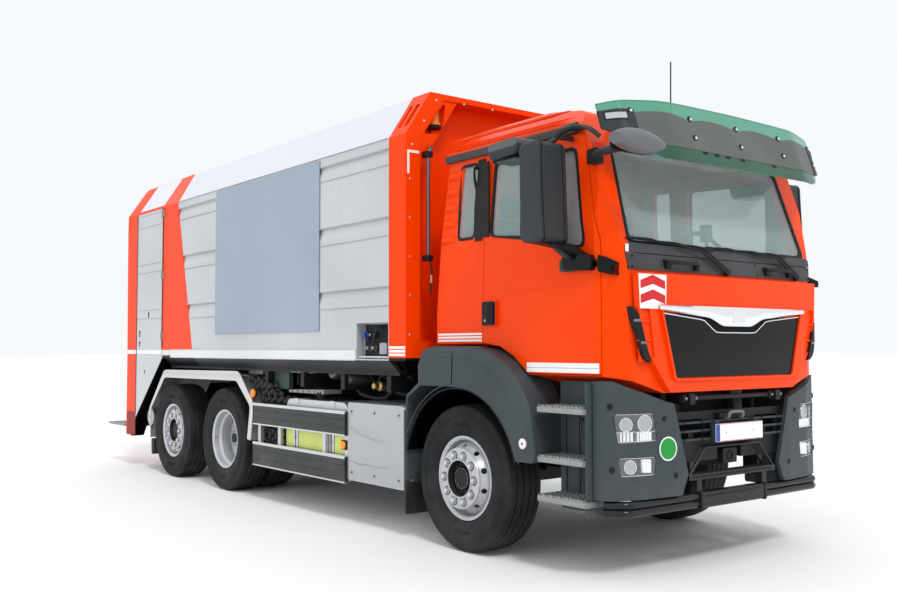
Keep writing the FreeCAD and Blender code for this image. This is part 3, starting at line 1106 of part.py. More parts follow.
def build():
    single_wheel("front_left", "front", 1, FRONT_TRACK, 0.0)
    single_wheel("front_right", "front", -1, FRONT_TRACK, 0.0)
    single_wheel("trailing_left", "trailing", 1, TRAILING_TRACK, TRAILING_Y)
    single_wheel("trailing_right", "trailing", -1, TRAILING_TRACK, TRAILING_Y)
    twin_wheel("drive_left", 1)
    twin_wheel("drive_right", -1)
    for kind in ("front", "trailing"):
        knuckle(kind + "_left", kind, 1)
        knuckle(kind + "_right", kind, -1)
    axle_beam("front_axle_beam", "front", 70.0, 95.0)
    axle_beam("trailing_axle_beam", "trailing", 70.0, 95.0)
    drive_axle()
    chassis_frame()
    suspension()
    engine()
    side_tanks()
    side_guards()
    front_mudguards()
    tandem_mudguards()
    cab_steps()
    bumper()
    front_guard_bar()
    body_shell()
    body_floor()
    front_portal()
    rear_portal()
    ejector_plate()
    tailgate()
    packer()
    bin_lifter()
    footboards()
    tailgate_cylinders()
    cab()
    front_flap()
    sun_visor()
    mirrors()
    interior()


build()
os.makedirs("parts", exist_ok=True)
for name, solids in PIECES.items():
    shape = Part.makeCompound(solids) if len(solids) > 1 else solids[0].copy()
    shape.translate(V(0, SHIFT_Y, 0))
    shape.exportStep("parts/" + name + ".step")
    print(name, len(solids), all(s.isValid() for s in solids))
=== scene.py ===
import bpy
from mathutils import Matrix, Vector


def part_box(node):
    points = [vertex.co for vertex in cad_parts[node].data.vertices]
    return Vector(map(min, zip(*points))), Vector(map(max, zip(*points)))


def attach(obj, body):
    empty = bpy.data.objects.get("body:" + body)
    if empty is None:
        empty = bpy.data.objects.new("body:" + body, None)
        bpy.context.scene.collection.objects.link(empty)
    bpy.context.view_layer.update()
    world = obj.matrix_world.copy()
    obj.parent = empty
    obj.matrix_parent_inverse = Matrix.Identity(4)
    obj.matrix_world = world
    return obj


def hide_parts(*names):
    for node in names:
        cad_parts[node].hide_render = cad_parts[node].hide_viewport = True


bl_info = {
    "name": "Rear-loading garbage truck",
    "version": (1, 0, 0),
    "blender": (4, 5, 0),
    "location": "View3D > Sidebar > Garbage truck",
    "description": "Finishes and fine pieces of a three-axle garbage truck, set on its fixed frame",
    "category": "Object",
}

from math import cos, pi, radians, sin, sqrt

import bmesh
import bpy
from bpy.props import FloatProperty, FloatVectorProperty, PointerProperty
from mathutils import Matrix, Vector
from mathutils.bvhtree import BVHTree

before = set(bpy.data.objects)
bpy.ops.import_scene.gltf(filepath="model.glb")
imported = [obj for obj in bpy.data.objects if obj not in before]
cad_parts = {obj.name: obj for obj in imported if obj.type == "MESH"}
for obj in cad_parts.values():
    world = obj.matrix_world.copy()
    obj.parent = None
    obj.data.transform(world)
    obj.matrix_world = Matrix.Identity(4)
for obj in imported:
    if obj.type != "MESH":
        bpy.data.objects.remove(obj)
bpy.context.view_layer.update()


def middle(node):
    """Middle of a CAD node."""
    low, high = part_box(node)
    return (Vector(low) + Vector(high)) / 2


# Every y below counts from the front axle, and AXLE_Y puts it into the frame.
AXLE_Y = middle("tyre_front_left").y
AXLE_Z = middle("tyre_front_left").z
DRIVE_Y = middle("tyres_drive_left").y - AXLE_Y


def at(x, y, z):
    """Point of the frame from x, the distance behind the front axle, and z."""
    return Vector((x, y + AXLE_Y, z))


SIDES = ((1, "left"), (-1, "right"))
AHEAD = (0, -1, 0)
UP = (0, 0, 1)


# ---- user settings ----
def colour(name, description, value):
    return FloatVectorProperty(name=name, description=description, default=value, subtype="COLOR", size=3,
        min=0.0, max=1.0)


def length(name, description, value):
    return FloatProperty(name=name, description=description, default=value, unit="LENGTH", min=0.0)


class TruckColours(bpy.types.PropertyGroup):
    cab: colour("Cab paint", "Orange-red paint of the cab and portals", (0.88, 0.05, 0.0))
    body: colour("Body paint", "Silver paint of the load body", (0.53, 0.55, 0.57))
    # the pale, bluish roof colour is painted sky light on the upward slope of the body, over its silver paint
    roof: colour("Body roof", "Pale paint of the upper slope of the body", (0.72, 0.73, 0.8))
    sign: colour("Sign panel", "Blue-grey metallic panel", (0.32, 0.38, 0.46))
    plastic: colour("Plastic", "Moulded anthracite plastic", (0.04, 0.052, 0.058))
    rim: colour("Wheel paint", "Silver wheel paint", (0.5, 0.51, 0.54))
    visor: colour("Sun visor", "Green tinted acrylic", (0.04, 0.34, 0.2))


class TruckSizes(bpy.types.PropertyGroup):
    tread_depth: length("Tread depth", "Depth of the tyre grooves", 0.014)
    nut_width: length("Wheel nut", "Width across flats of a wheel nut", 0.032)


class TruckStage(bpy.types.PropertyGroup):
    lens: FloatProperty(name="Lens", description="Focal length", default=38.95, unit="CAMERA", min=1.0)
    sun: FloatProperty(name="Key light", description="Strength of the soft sun", default=1.15, min=0.0)
    sky: FloatProperty(name="Surround", description="Strength of the pale surround", default=0.97, min=0.0)


# ---- shader maths ----
class Wire:
    """A socket of a node tree. Arithmetic on it adds Math nodes."""

    def __init__(self, shade, socket):
        self.shade = shade
        self.socket = socket

    def __add__(self, other):
        return self.shade.math("ADD", self, other)

    def __radd__(self, other):
        return self.shade.math("ADD", other, self)

    def __sub__(self, other):
        return self.shade.math("SUBTRACT", self, other)

    def __rsub__(self, other):
        return self.shade.math("SUBTRACT", other, self)

    def __mul__(self, other):
        return self.shade.math("MULTIPLY", self, other)

    def __rmul__(self, other):
        return self.shade.math("MULTIPLY", other, self)

    def __truediv__(self, other):
        return self.shade.math("DIVIDE", self, other)

    def __pow__(self, other):
        return self.shade.math("POWER", self, other)


class Shade:
    """One material and its node tree."""

    def __init__(self, name):
        self.material = bpy.data.materials.new(name)
        self.material.use_nodes = True
        self.tree = self.material.node_tree
        self.tree.nodes.clear()
        self.place = self.node("TexCoord", out="Object")

    def node(self, kind, settings=None, values=None, out=0):
        """Adds any node: its settings first, then numbers or links for its sockets."""
        made = self.tree.nodes.new("ShaderNode" + kind)
        for key, value in (settings or {}).items():
            if key == "stops":
                for spare in list(made.color_ramp.elements)[1:]:
                    made.color_ramp.elements.remove(spare)
                made.color_ramp.elements[0].position = value[0][0]
                made.color_ramp.elements[0].color = value[0][1]
                for place, tint in value[1:]:
                    made.color_ramp.elements.new(place).color = tint
            else:
                setattr(made, key, value)
        for key, value in (values or {}).items():
            if isinstance(value, Wire):
                self.tree.links.new(value.socket, made.inputs[key])
            else:
                made.inputs[key].default_value = value
        return Wire(self, made.outputs[out]) if made.outputs else None

    def math(self, operation, first, second=0.0, clamp=False):
        return self.node("Math", {"operation": operation, "use_clamp": clamp}, {0: first, 1: second})

    def clip(self, value):
        return self.math("ADD", value, 0.0, True)

    def axis(self, letter):
        return self.node("SeparateXYZ", values={0: self.place}, out=letter)

    def noise(self, scale, detail=3.0, rough=0.55, stretch=(1.0, 1.0, 1.0), place=None):
        moved = self.node("Mapping", values={"Vector": place or self.place, "Scale": stretch})
        return self.node("TexNoise", values={"Vector": moved, "Scale": scale, "Detail": detail,
            "Roughness": rough})

    def mix(self, share, first, second):
        made = self.tree.nodes.new("ShaderNodeMix")
        made.data_type = "RGBA"
        for key, value in ((0, share), (6, first), (7, second)):
            if isinstance(value, Wire):
                self.tree.links.new(value.socket, made.inputs[key])
            elif key == 0:
                made.inputs[key].default_value = value
            else:
                made.inputs[key].default_value = (*value[:3], 1.0)
        return Wire(self, made.outputs[2])

    def band(self, value, low, high):
        """0 below low, 1 above high, smooth between."""
        return self.node("MapRange", {"interpolation_type": "SMOOTHSTEP"},
            {"Value": value, "From Min": low, "From Max": high})

    def bump(self, height, distance, strength=1.0, normal=None):
        values = {"Height": height, "Distance": distance, "Strength": strength}
        if normal:
            values["Normal"] = normal
        return self.node("Bump", values=values)

    def finish(self, **values):
        """Closes the material with one principled surface."""
        surface = self.node("BsdfPrincipled", values={key.replace("_", " "): v for key, v in values.items()})
        self.node("OutputMaterial", values={"Surface": surface})
        return self.material


def dusted(shade, tint, top, amount, dust=(0.3, 0.27, 0.23)):
    """Road dust that thins out upwards, and the share of it for the roughness."""
    height = shade.axis("Z")
    patches = shade.noise(3.0, 5.0, 0.6)
    share = shade.clip((1.0 - shade.band(height, 0.2, top)) * shade.band(patches, 0.35, 0.75) * amount)
    return shade.mix(share, tint, dust), share


def paint(name, tint, metallic=0.0, dust_top=1.2, coat=0.12, peel=0.00025, upper=None, above=0.0, below=0.0,
        gleam=(1.0, 1.0, 1.0), gloss=0.3):
    """Sprayed paint; the surface above one height has the upper colour, and below another it is black."""
    shade = Shade(name)
    drift = shade.noise(0.7, 2.0)
    shaded = shade.mix(shade.band(drift, 0.3, 0.7), [c * 0.93 for c in tint],
        [min(1.0, c * 1.05) for c in tint])
    if upper:
        shaded = shade.mix(shade.band(shade.axis("Z"), above - 0.001, above + 0.001), shaded, upper)
    if below:
        shaded = shade.mix(shade.band(shade.axis("Z"), below - 0.001, below + 0.001), (0.006, 0.006, 0.007),
            shaded)
    base, dust = dusted(shade, shaded, dust_top, 0.1)
    if metallic:
        fleck = shade.noise(900.0, 1.0)
        base = shade.mix(shade.band(fleck, 0.45, 0.75) * 0.18, base, (0.9, 0.9, 0.92))
    wave = shade.noise(55.0, 2.0, 0.4)
    rough = 0.26 + shade.noise(6.0, 4.0) * 0.1 + dust * 0.35
    return shade.finish(Base_Color=base, Roughness=rough, Metallic=metallic, Coat_Weight=coat,
        Coat_Roughness=0.05, Specular_IOR_Level=gloss, Specular_Tint=(*gleam, 1.0),
        Normal=shade.bump(wave, peel, 0.6))


def grained(shade, base, rough, gloss, grain):
    """Closes a moulded surface, which has a fine leather grain."""
    cells = shade.node("TexVoronoi", {"feature": "F1"}, {"Vector": shade.place, "Scale": 420.0})
    return shade.finish(Base_Color=base, Roughness=rough, Specular_IOR_Level=gloss,
        Normal=shade.bump(cells, grain, 0.5))


def plastic(name, tint, rough=0.48, grain=0.0003, gloss=0.3, dirt=0.12, dust_top=1.0):
    """Moulded plastic or rubber with a fine grain; gloss sets how much it mirrors."""
    shade = Shade(name)
    worn = shade.mix(shade.band(shade.noise(1.3, 4.0), 0.35, 0.75), tint, [c * 1.3 + 0.002 for c in tint])
    base, dust = dusted(shade, worn, dust_top, dirt)
    return grained(shade, base, rough + shade.noise(9.0, 3.0) * 0.15 + dust * 0.2, gloss, grain)


def bare_metal(name, tint, rough=0.34, streak=0.18, dirt=0.16, spangle=0.0):
    """Brushed or cast metal; spangle mixes in the flakes of a zinc coat."""
    shade = Shade(name)
    streaks = shade.noise(60.0, 4.0, 0.6)
    base = shade.mix(streaks, [c * (1.0 - streak) for c in tint], tint)
    if spangle:
        flakes = shade.node("TexVoronoi", {"feature": "F1"}, {"Vector": shade.place, "Scale": 70.0},
            out="Color")
        base = shade.mix(spangle, base, flakes)
        base = shade.mix(0.75, base, tint)
    base, dust = dusted(shade, base, 1.2, dirt)
    return shade.finish(Base_Color=base, Metallic=shade.clip(0.95 - dust),
        Roughness=rough + streaks * streak + dust * 0.4, Normal=shade.bump(streaks, 0.0003 * streak * 5, 0.5))


def rubber(name):
    """Dusty black tyre rubber."""
    shade = Shade(name)
    base = shade.mix(shade.band(shade.noise(7.0, 5.0, 0.65), 0.35, 0.75), (0.008, 0.008, 0.0085),
        (0.019, 0.019, 0.019))
    base = dusted(shade, base, 0.9, 0.08)[0]
    grit = shade.noise(260.0, 3.0)
    return shade.finish(Base_Color=base, Roughness=0.6 + shade.noise(12.0, 3.0) * 0.25,
        Specular_IOR_Level=0.25, Normal=shade.bump(grit, 0.0006, 0.6))


def glass(name, tint, alpha, rough=0.02):
    """Thin tinted glass with faint smears."""
    shade = Shade(name)
    smear = shade.noise(3.0, 4.0)
    made = shade.finish(Base_Color=shade.mix(smear, [c * 0.8 for c in tint], tint),
        Roughness=rough + smear * 0.03, Alpha=alpha + smear * 0.04, Coat_Weight=0.3, Coat_Roughness=0.02,
        IOR=1.45)
    made.surface_render_method = "DITHERED"
    return made


def two_tone(name, first, second, edges):
    """Plastic whose colour changes across the edges: (axis, low, high) of the first colour's room."""
    shade = Shade(name)
    inside = 1.0
    for letter, low, high in edges:
        value = shade.math("ABSOLUTE", shade.axis(letter)) if letter == "X" else shade.axis(letter)
        inside = shade.band(value, low - 0.001, low + 0.001) * (1.0 - shade.band(value, high - 0.001,
            high + 0.001)) * inside
    base = dusted(shade, shade.mix(inside, second, first), 1.0, 0.1)[0]
    return grained(shade, base, 0.42 + shade.noise(9.0, 3.0) * 0.15, 0.28, 0.0003)


def gate_paint(name, tint):
    """Cab paint whose trough and floor between the side walls are painted near black, as the shade inside the
    hopper.
    """
    shade = Shade(name)
    across = shade.math("ABSOLUTE", shade.axis("X"))
    # painted shade: near black below 1.4, between the side walls and in front of the rear face, inside the
    # trough
    inside = (1.0 - shade.band(across, 1.129, 1.131)) * (1.0 - shade.band(shade.axis("Z"), 1.398, 1.402))
    inside = inside * (1.0 - shade.band(shade.axis("Y"), AXLE_Y + 6.578, AXLE_Y + 6.582))
    drift = shade.band(shade.noise(0.7, 2.0), 0.3, 0.7)
    base = shade.mix(inside, shade.mix(drift, [c * 0.93 for c in tint], tint), (0.008, 0.008, 0.008))
    base, dust = dusted(shade, base, 1.2, 0.1)
    return shade.finish(Base_Color=base, Roughness=0.34 + shade.noise(6.0, 4.0) * 0.1 + dust * 0.3,
        Coat_Weight=0.02, Specular_IOR_Level=0.14, Specular_Tint=(*WARM, 1.0),
        Normal=shade.bump(shade.noise(55.0, 2.0), 0.00025, 0.6))


def cloth(name, tint, second):
    """Woven seat cover with a fine rib."""
    shade = Shade(name)
    across, along = (shade.node("TexWave", {"wave_type": "BANDS", "bands_direction": way},
        {"Vector": shade.place, "Scale": 160.0}) for way in "XY")
    weave = across * along
    base = shade.mix(weave, second, tint)
    return shade.finish(Base_Color=shade.mix(shade.band(shade.noise(5.0, 3.0), 0.35, 0.75), base, tint),
        Roughness=0.88, Sheen_Weight=0.25, Specular_IOR_Level=0.2, Normal=shade.bump(weave, 0.0008, 0.7))


def chequer_plate(name, tint):
    """Bright plate with short raised bars that alternate in direction."""
    shade = Shade(name)
    bars = []
    for turned in (0.785, -0.785):
        spun = shade.node("Mapping", values={"Vector": shade.place, "Rotation": (turned, 0.0, 0.0)})
        cells = shade.node("TexVoronoi", {"feature": "F1"}, {"Vector": shade.node("Mapping",
            values={"Vector": spun, "Scale": (1.0, 28.0, 70.0)}), "Scale": 1.0, "Randomness": 0.0})
        bars.append(1.0 - shade.band(cells, 0.18, 0.3))
    raised = shade.clip(bars[0] + bars[1])
    base, dust = dusted(shade, shade.mix(raised, [c * 0.9 for c in tint], tint), 1.1, 0.16)
    return shade.finish(Base_Color=base, Metallic=0.8 - dust, Roughness=0.3 + dust * 0.4,
        Normal=shade.bump(raised, 0.0015, 0.8))


# ---- mesh making ----
def rounded(points, steps=4):
    """Outline in which each (a, b, radius) corner is an arc; (a, b) corners stay sharp."""
    made = []
    for i, point in enumerate(points):
        corner = Vector(point[:2])
        if len(point) < 3:
            made.append(tuple(corner))
            continue
        back = Vector(points[i - 1][:2]) - corner
        ahead = Vector(points[(i + 1) % len(points)][:2]) - corner
        half = back.angle(ahead) / 2
        reach = min(point[2] / max(0.001, sin(half) / cos(half)), back.length * 0.49, ahead.length * 0.49)
        start = corner + back.normalized() * reach
        end = corner + ahead.normalized() * reach
        for k in range(steps + 1):
            t = k / steps
            made.append(tuple(start * (1 - t) ** 2 + corner * 2 * t * (1 - t) + end * t * t))
    return made


def spread(low, high, count):
    """The ends of a range and the values that part it equally."""
    return [low + (high - low) * i / count for i in range(count + 1)]


def parted(ring, count):
    """Closed outline with each of its edges parted equally."""
    return [(a[0] + (b[0] - a[0]) * k / count, a[1] + (b[1] - a[1]) * k / count)
        for a, b in zip(ring, ring[1:] + ring[:1]) for k in range(count)]


def circle(centre, across, up, radius, count):
    """Points of a round loop in the plane of two unit vectors."""
    return [tuple(centre + (across * cos(2 * pi * k / count) + up * sin(2 * pi * k / count)) * radius)
        for k in range(count)]


def flip(side, points):
    """The points with their first numbers times side."""
    return [(side * point[0], *point[1:]) for point in points]


def smooth_path(points, steps=6):
    """Points on a smooth line through the given ones."""
    points = [Vector(p) for p in points]
    if len(points) < 3:
        return points
    ends = [points[0] * 2 - points[1]] + points + [points[-1] * 2 - points[-2]]
    made = []
    for i in range(1, len(ends) - 2):
        a, b, c, d = ends[i - 1:i + 3]
        for k in range(steps):
            t = k / steps
            made.append(0.5 * (2 * b + (c - a) * t + (2 * a - 5 * b + 4 * c - d) * t ** 2
                + (3 * b - 3 * c + d - a) * t ** 3))
    return made + [points[-1]]


LEAST_RADIUS = 0.0004
# where the outline's two numbers and the push's one go in a point
AXIS_ORDER = {"x": (2, 0, 1), "y": (0, 2, 1), "z": (0, 1, 2)}


class Piece:
    """Gathers closed solids, each with its finish, into one object of the truck."""

    def __init__(self, name):
        self.name = name
        self.mesh = bmesh.new()
        self.finishes = []

    def add(self, points, loops, name, flat=False):
        if name not in self.finishes:
            self.finishes.append(name)
        corners = [self.mesh.verts.new(at(*p)) for p in points]
        for loop in loops:
            face = self.mesh.faces.new([corners[i] for i in loop])
            face.material_index = self.finishes.index(name)
            face.smooth = not flat

    def prism(self, axis, outline, low, high, name):
        """Outline pushed along x, y or z from low to high."""
        flat = rounded(outline)
        count = len(flat)
        points = [tuple((a, b, c)[i] for i in AXIS_ORDER[axis]) for c in (low, high) for a, b in flat]
        loops = [list(range(count)), list(range(count, 2 * count))]
        loops += [[i, (i + 1) % count, count + (i + 1) % count, count + i] for i in range(count)]
        self.add(points, loops, name)

    def plate(self, axis, first, second, depth, name, radius=0.0):
        """Rectangle with equal corners, pushed along one axis between the ends of depth."""
        corner = (radius,) if radius else ()
        outline = [(first[i], second[j], *corner) for i, j in ((0, 0), (1, 0), (1, 1), (0, 1))]
        self.prism(axis, outline, *depth, name)

    def box(self, x, y, z, name):
        """Block between the two ends given for each axis."""
        self.plate("z", x, y, z, name)

    def stack(self, rings, name, closed=False):
        """Skin over rings of equally many points, capped at both ends unless closed on itself."""
        count = len(rings[0])
        points = [p for ring in rings for p in ring]
        loops = []
        for k in range(len(rings) if closed else len(rings) - 1):
            here, there = k * count, (k + 1) % len(rings) * count
            loops += [[here + i, here + (i + 1) % count, there + (i + 1) % count, there + i]
                for i in range(count)]
        if not closed:
            loops += [list(range(count)), list(range(len(points) - count, len(points)))]
        self.add(points, loops, name)

    def turn(self, profile, centre, axis, name, steps=48, closed=False):
        """Revolves (along, radius) points round the axis through the centre."""
        axis = Vector(axis).normalized()
        side = axis.orthogonal().normalized()
        up = axis.cross(side)
        rings = []
        for along, radius in profile:
            rings.append(circle(Vector(centre) + axis * along, side, up, max(radius, LEAST_RADIUS), steps))
        self.stack(rings, name, closed)

    def tube(self, path, radius, name, sides=10, steps=6, taper=None):
        """Round bar along a smooth path; taper gives a radius factor for each share of the way."""
        line = smooth_path(path, steps)
        side = (line[1] - line[0]).orthogonal().normalized()
        rings = []
        for i, point in enumerate(line):
            ahead = line[min(i + 1, len(line) - 1)] - line[max(i - 1, 0)]
            ahead.normalize()
            side = (side - ahead * side.dot(ahead)).normalized()
            up = ahead.cross(side)
            size = radius * (taper(i / (len(line) - 1)) if taper else 1.0)
            rings.append(circle(point, side, up, size, sides))
        self.stack(rings, name)

    def sheet(self, rows, thick, name):
        """Curved plate: rows of points for its outer face, and the thickness as a vector."""
        across = len(rows[0])
        shift = Vector(thick)
        front = [Vector(p) for row in rows for p in row]
        total = len(front)
        points = [tuple(p) for p in front] + [tuple(p + shift) for p in front]
        loops = []
        for r in range(len(rows) - 1):
            for c in range(across - 1):
                a = r * across + c
                loops.append([a, a + 1, a + across + 1, a + across])
                loops.append([total + i for i in (a + across, a + across + 1, a + 1, a)])
        rim = list(range(across)) + [r * across + across - 1 for r in range(1, len(rows))]
        rim += list(range(total - 2, total - across - 1, -1)) + [r * across
            for r in range(len(rows) - 2, 0, -1)]
        for i, a in enumerate(rim):
            b = rim[(i + 1) % len(rim)]
            loops.append([b, a, total + a, total + b])
        self.add(points, loops, name)

    def bolt(self, place, axis, radius, height, name="steel", sides=6):
        """Hexagon head with a chamfered top on a washer."""
        self.turn([(0, radius * 1.35), (height * 0.2, radius * 1.35), (height * 0.2, 0)], place, axis, name,
            12)
        self.turn([(height * 0.2, radius), (height * 0.9, radius), (height, radius * 0.8), (height, 0)],
            place, axis, name, sides)

    def slab(self, centre, u, v, w, name):
        """Block with any turn, from its middle and three half edges."""
        points = [Vector(centre) + u * a + v * b + w * c for c in (-1, 1)
            for a, b in ((-1, -1), (1, -1), (1, 1), (-1, 1))]
        self.add([tuple(p) for p in points], [(0, 1, 2, 3), (4, 5, 6, 7), (0, 1, 5, 4), (1, 2, 6, 5),
            (2, 3, 7, 6), (3, 0, 4, 7)], name)

    def done(self, body, replaces=(), bevel=0.0, subdivide=0, sharp=35.0):
        """Makes the object, hung on its body."""
        bmesh.ops.recalc_face_normals(self.mesh, faces=self.mesh.faces)
        data = bpy.data.meshes.new(self.name)
        self.mesh.to_mesh(data)
        self.mesh.free()
        data.set_sharp_from_angle(angle=radians(sharp))
        for name in self.finishes:
            data.materials.append(finish(name))
        made = bpy.data.objects.new(self.name, data)
        bpy.context.scene.collection.objects.link(made)
        soften(made, bevel, subdivide)
        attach(made, body)
        if replaces:
            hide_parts(*replaces)
        return made


def soften(made, bevel=0.0, subdivide=0, segments=2):
    """Adds the modifiers that round edges and padded faces."""
    if subdivide:
        made.modifiers.new("Subdivision", "SUBSURF").render_levels = subdivide
        made.modifiers["Subdivision"].levels = subdivide
    if bevel:
        edge = made.modifiers.new("Bevel", "BEVEL")
        edge.width = bevel
        edge.segments = segments
        edge.limit_method = "ANGLE"
        edge.angle_limit = radians(32)
        edge.harden_normals = True


WARM = (1.0, 0.42, 0.16)
# finish: (colour, roughness, grain, gloss, dirt, height of the dust), as plastic() takes them
PLASTICS = {
    "plastic": ("plastic",),
    "smooth_black": ((0.005, 0.005, 0.006), 0.12, 0.00005, 0.35, 0.03),
    "frame_paint": ((0.007, 0.007, 0.008), 0.45, 0.0004),
    "seat_cloth": ((0.06, 0.065, 0.075), 0.85, 0.0008, 0.3, 0.12, 0.1),
    "hub_dark": ((0.01, 0.01, 0.011), 0.55, 0.0005),
    "gloss_black": ((0.0025, 0.003, 0.004), 0.03, 0.00002, 0.18, 0.0),
    "matt_black": ((0.006, 0.006, 0.007), 0.45, 0.0003, 0.25),
    # this black has no gloss: it colours dark gaps and joints, and paints shade where a sheet, block or disc
    # stands in for shadow
    "void_black": ((0.002, 0.002, 0.002), 0.9, 0.0001, 0.0, 0.0),
    "scuttle_grey": ((0.045, 0.047, 0.05), 0.5, 0.0004),
    "handle_grey": ((0.16, 0.165, 0.17), 0.4, 0.0002),
    "mirror_shell": ((0.02, 0.025, 0.028), 0.42),
    "interior_dark": ((0.025, 0.028, 0.03), 0.6, 0.0004, 0.3, 0.12, 0.1),
    "strip_green": ((0.004, 0.06, 0.028), 0.2, 0.0001, 0.5, 0.0),
    "seam_grey": ((0.3, 0.31, 0.33), 0.4, 0.0001),
    "seam_dark": ((0.03, 0.03, 0.032), 0.5, 0.0001),
    "clear_lamp_solid": ((0.62, 0.63, 0.63), 0.1, 0.0002, 0.6, 0.0),
    "chain_black": ((0.012, 0.012, 0.013), 0.35, 0.0004, 0.5),
    "pod_grey": ((0.085, 0.09, 0.095), 0.3, 0.0002, 0.5),
    "lamp_dark": ((0.03, 0.032, 0.034), 0.2, 0.0001, 0.3, 0.0),
    "lamp_grey": ((0.16, 0.17, 0.18), 0.3, 0.0001),
    "band_grey": ((0.085, 0.09, 0.088), 0.35, 0.0002),
    "guard_green": ((0.018, 0.024, 0.02), 0.4, 0.0005, 0.4),
    "reflector": ((0.55, 0.62, 0.12), 0.25, 0.0004, 0.6),
    "amber": ((0.8, 0.2, 0.01), 0.15, 0.0002, 0.6, 0.0),
    "red_lens": ((0.42, 0.008, 0.008), 0.12, 0.0002, 0.6, 0.0),
    "hose_black": ((0.01, 0.01, 0.011), 0.5, 0.0006),
    "panel_green": ((0.03, 0.06, 0.045), 0.4),
    "cabin_teal": ((0.34, 0.42, 0.42), 0.55, 0.0003, 0.3, 0.12, 0.1),
}
# finish: (colour, roughness, streak, dirt, spangle)
METALS = {
    "aluminium": ((0.72, 0.73, 0.74),),
    "galvanised": ((0.34, 0.36, 0.35), 0.42, 0.18, 0.16, 0.3),
    "steel": ((0.42, 0.42, 0.43), 0.3),
    "mirror_glass": ((0.85, 0.86, 0.88), 0.02),
    "hub_steel": ((0.1, 0.1, 0.1), 0.45),
    "brass": ((0.6, 0.42, 0.16), 0.35),
    "chrome": ((0.9, 0.91, 0.92), 0.04, 0.02, 0.0),
    "satin_silver": ((0.86, 0.87, 0.88), 0.18, 0.03, 0.0),
    "lamp_bowl": ((0.42, 0.43, 0.44), 0.05, 0.1, 0.0),
    "satin_rail": ((0.66, 0.67, 0.68), 0.3, 0.06, 0.05),
    "pipe_grey": ((0.2, 0.17, 0.18), 0.35),
}
# finish: (colour, alpha, roughness)
GLASSES = {
    "glass": ((0.42, 0.58, 0.57), 0.34),
    "lamp_glass": ((0.85, 0.88, 0.88), 0.06),
    "clear_lamp": ((0.88, 0.89, 0.88), 0.55),
    "visor_green": ("visor", 0.72, 0.06),
}
# finish: (colour, what differs from plain paint)
PAINTS = {
    "cab_paint": ("cab", dict(gleam=WARM, coat=0.05)),
    "cab_roof_paint": ("cab", dict(gleam=WARM, coat=0.06, upper=(0.01, 0.01, 0.011), above=3.158)),
    "portal_paint": ("cab", dict(gleam=WARM, coat=0.02, gloss=0.14, below=1.372)),
    "gate_silver": ("body", dict(metallic=0.35)),
    # above 3.104 the body takes the roof colour, which is painted sky light making the upward slope pale
    "body_paint": ("body", dict(metallic=0.35, upper="roof", above=3.104, below=1.351)),
    "roof_paint": ("roof", dict(metallic=0.2)),
    "sign_metal": ("sign", dict(metallic=0.5)),
    "rim_paint": ("rim", dict(metallic=0.35, dust_top=1.0, coat=0.1)),
    "rail_white": ((0.74, 0.75, 0.76), dict(metallic=0.2)),
    "dark_red": ((0.26, 0.006, 0.002), dict(gleam=WARM, coat=0.0, gloss=0.1)),
    "cover_silver": ((0.42, 0.43, 0.44), dict(metallic=0.5)),
    "white_mark": ((0.85, 0.84, 0.83), {}),
    "red_mark": ((0.62, 0.008, 0.012), {}),
    "blue_mark": ((0.02, 0.06, 0.3), {}),
    "green_mark": ((0.005, 0.28, 0.03), {}),
}
OTHERS = {
    "gate_paint": (gate_paint, "cab"),
    "rubber": (rubber,),
    "bumper_plastic": (two_tone, (0.006, 0.006, 0.007), "plastic",
        (("X", -1.0, 0.66), ("Y", AXLE_Y - 1.412, AXLE_Y))),
    "pad_cloth": (cloth, (0.055, 0.062, 0.075), (0.03, 0.034, 0.042)),
    "chequer": (chequer_plate, (0.74, 0.72, 0.71)),
}
FINISHES = {}


def own_colour(value):
    """A colour that the user sets, where the value names one."""
    return getattr(bpy.context.scene.truck_colours, value) if isinstance(value, str) else value


def make_finish(name):
    """Looks the finish up in the tables and builds its material."""
    for maker, table in ((plastic, PLASTICS), (bare_metal, METALS), (glass, GLASSES)):
        if name in table:
            return maker(name, *map(own_colour, table[name]))
    if name in PAINTS:
        tint, settings = PAINTS[name]
        return paint(name, own_colour(tint), **{key: own_colour(value) for key, value in settings.items()})
    maker, *values = OTHERS[name]
    return maker(name, *map(own_colour, values))


def finish(name):
    """The named finish, made once."""
    if name not in FINISHES:
        FINISHES[name] = make_finish(name)
    return FINISHES[name]


# finish: the nodes of the frame that wear it
NODE_FINISHES = {
    "cab_paint": "cab_shell door_left door_right front_flap packer_carriage bin_lifter",
    "cab_roof_paint": "cab_roof",
    "portal_paint": "front_portal rear_portal",
    "gate_paint": "tailgate",
    "body_paint": "body_shell",
    "frame_paint":
        "body_floor cylinder_barrels chassis_frame front_axle_beam trailing_axle_beam drive_axle "
        "suspension engine driveline knuckle_front_left knuckle_front_right knuckle_trailing_left "
        "knuckle_trailing_right",
    "steel": "ejector_plate packer_blade",
    "galvanised": "footboard_left footboard_right",
    "mirror_glass": "cylinder_rods",
    "bumper_plastic": "bumper",
    "plastic": "front_mudguards cab_steps",
    "chequer": "tandem_mudguards",
    "smooth_black": "front_guard_bar",
    "aluminium": "side_guards fuel_tank equipment_boxes",
    "mirror_shell": "mirror_left mirror_right front_mirror",
    "visor_green": "sun_visor",
    "glass": "cab_glass door_glass_left door_glass_right",
    "seat_cloth": "seats",
    "cabin_teal": "dashboard",
    "rubber":
        "tyre_front_left tyre_front_right tyre_trailing_left tyre_trailing_right tyres_drive_left "
        "tyres_drive_right",
    "rim_paint":
        "wheel_front_left wheel_front_right wheel_trailing_left wheel_trailing_right wheels_drive_left "
        "wheels_drive_right",
}
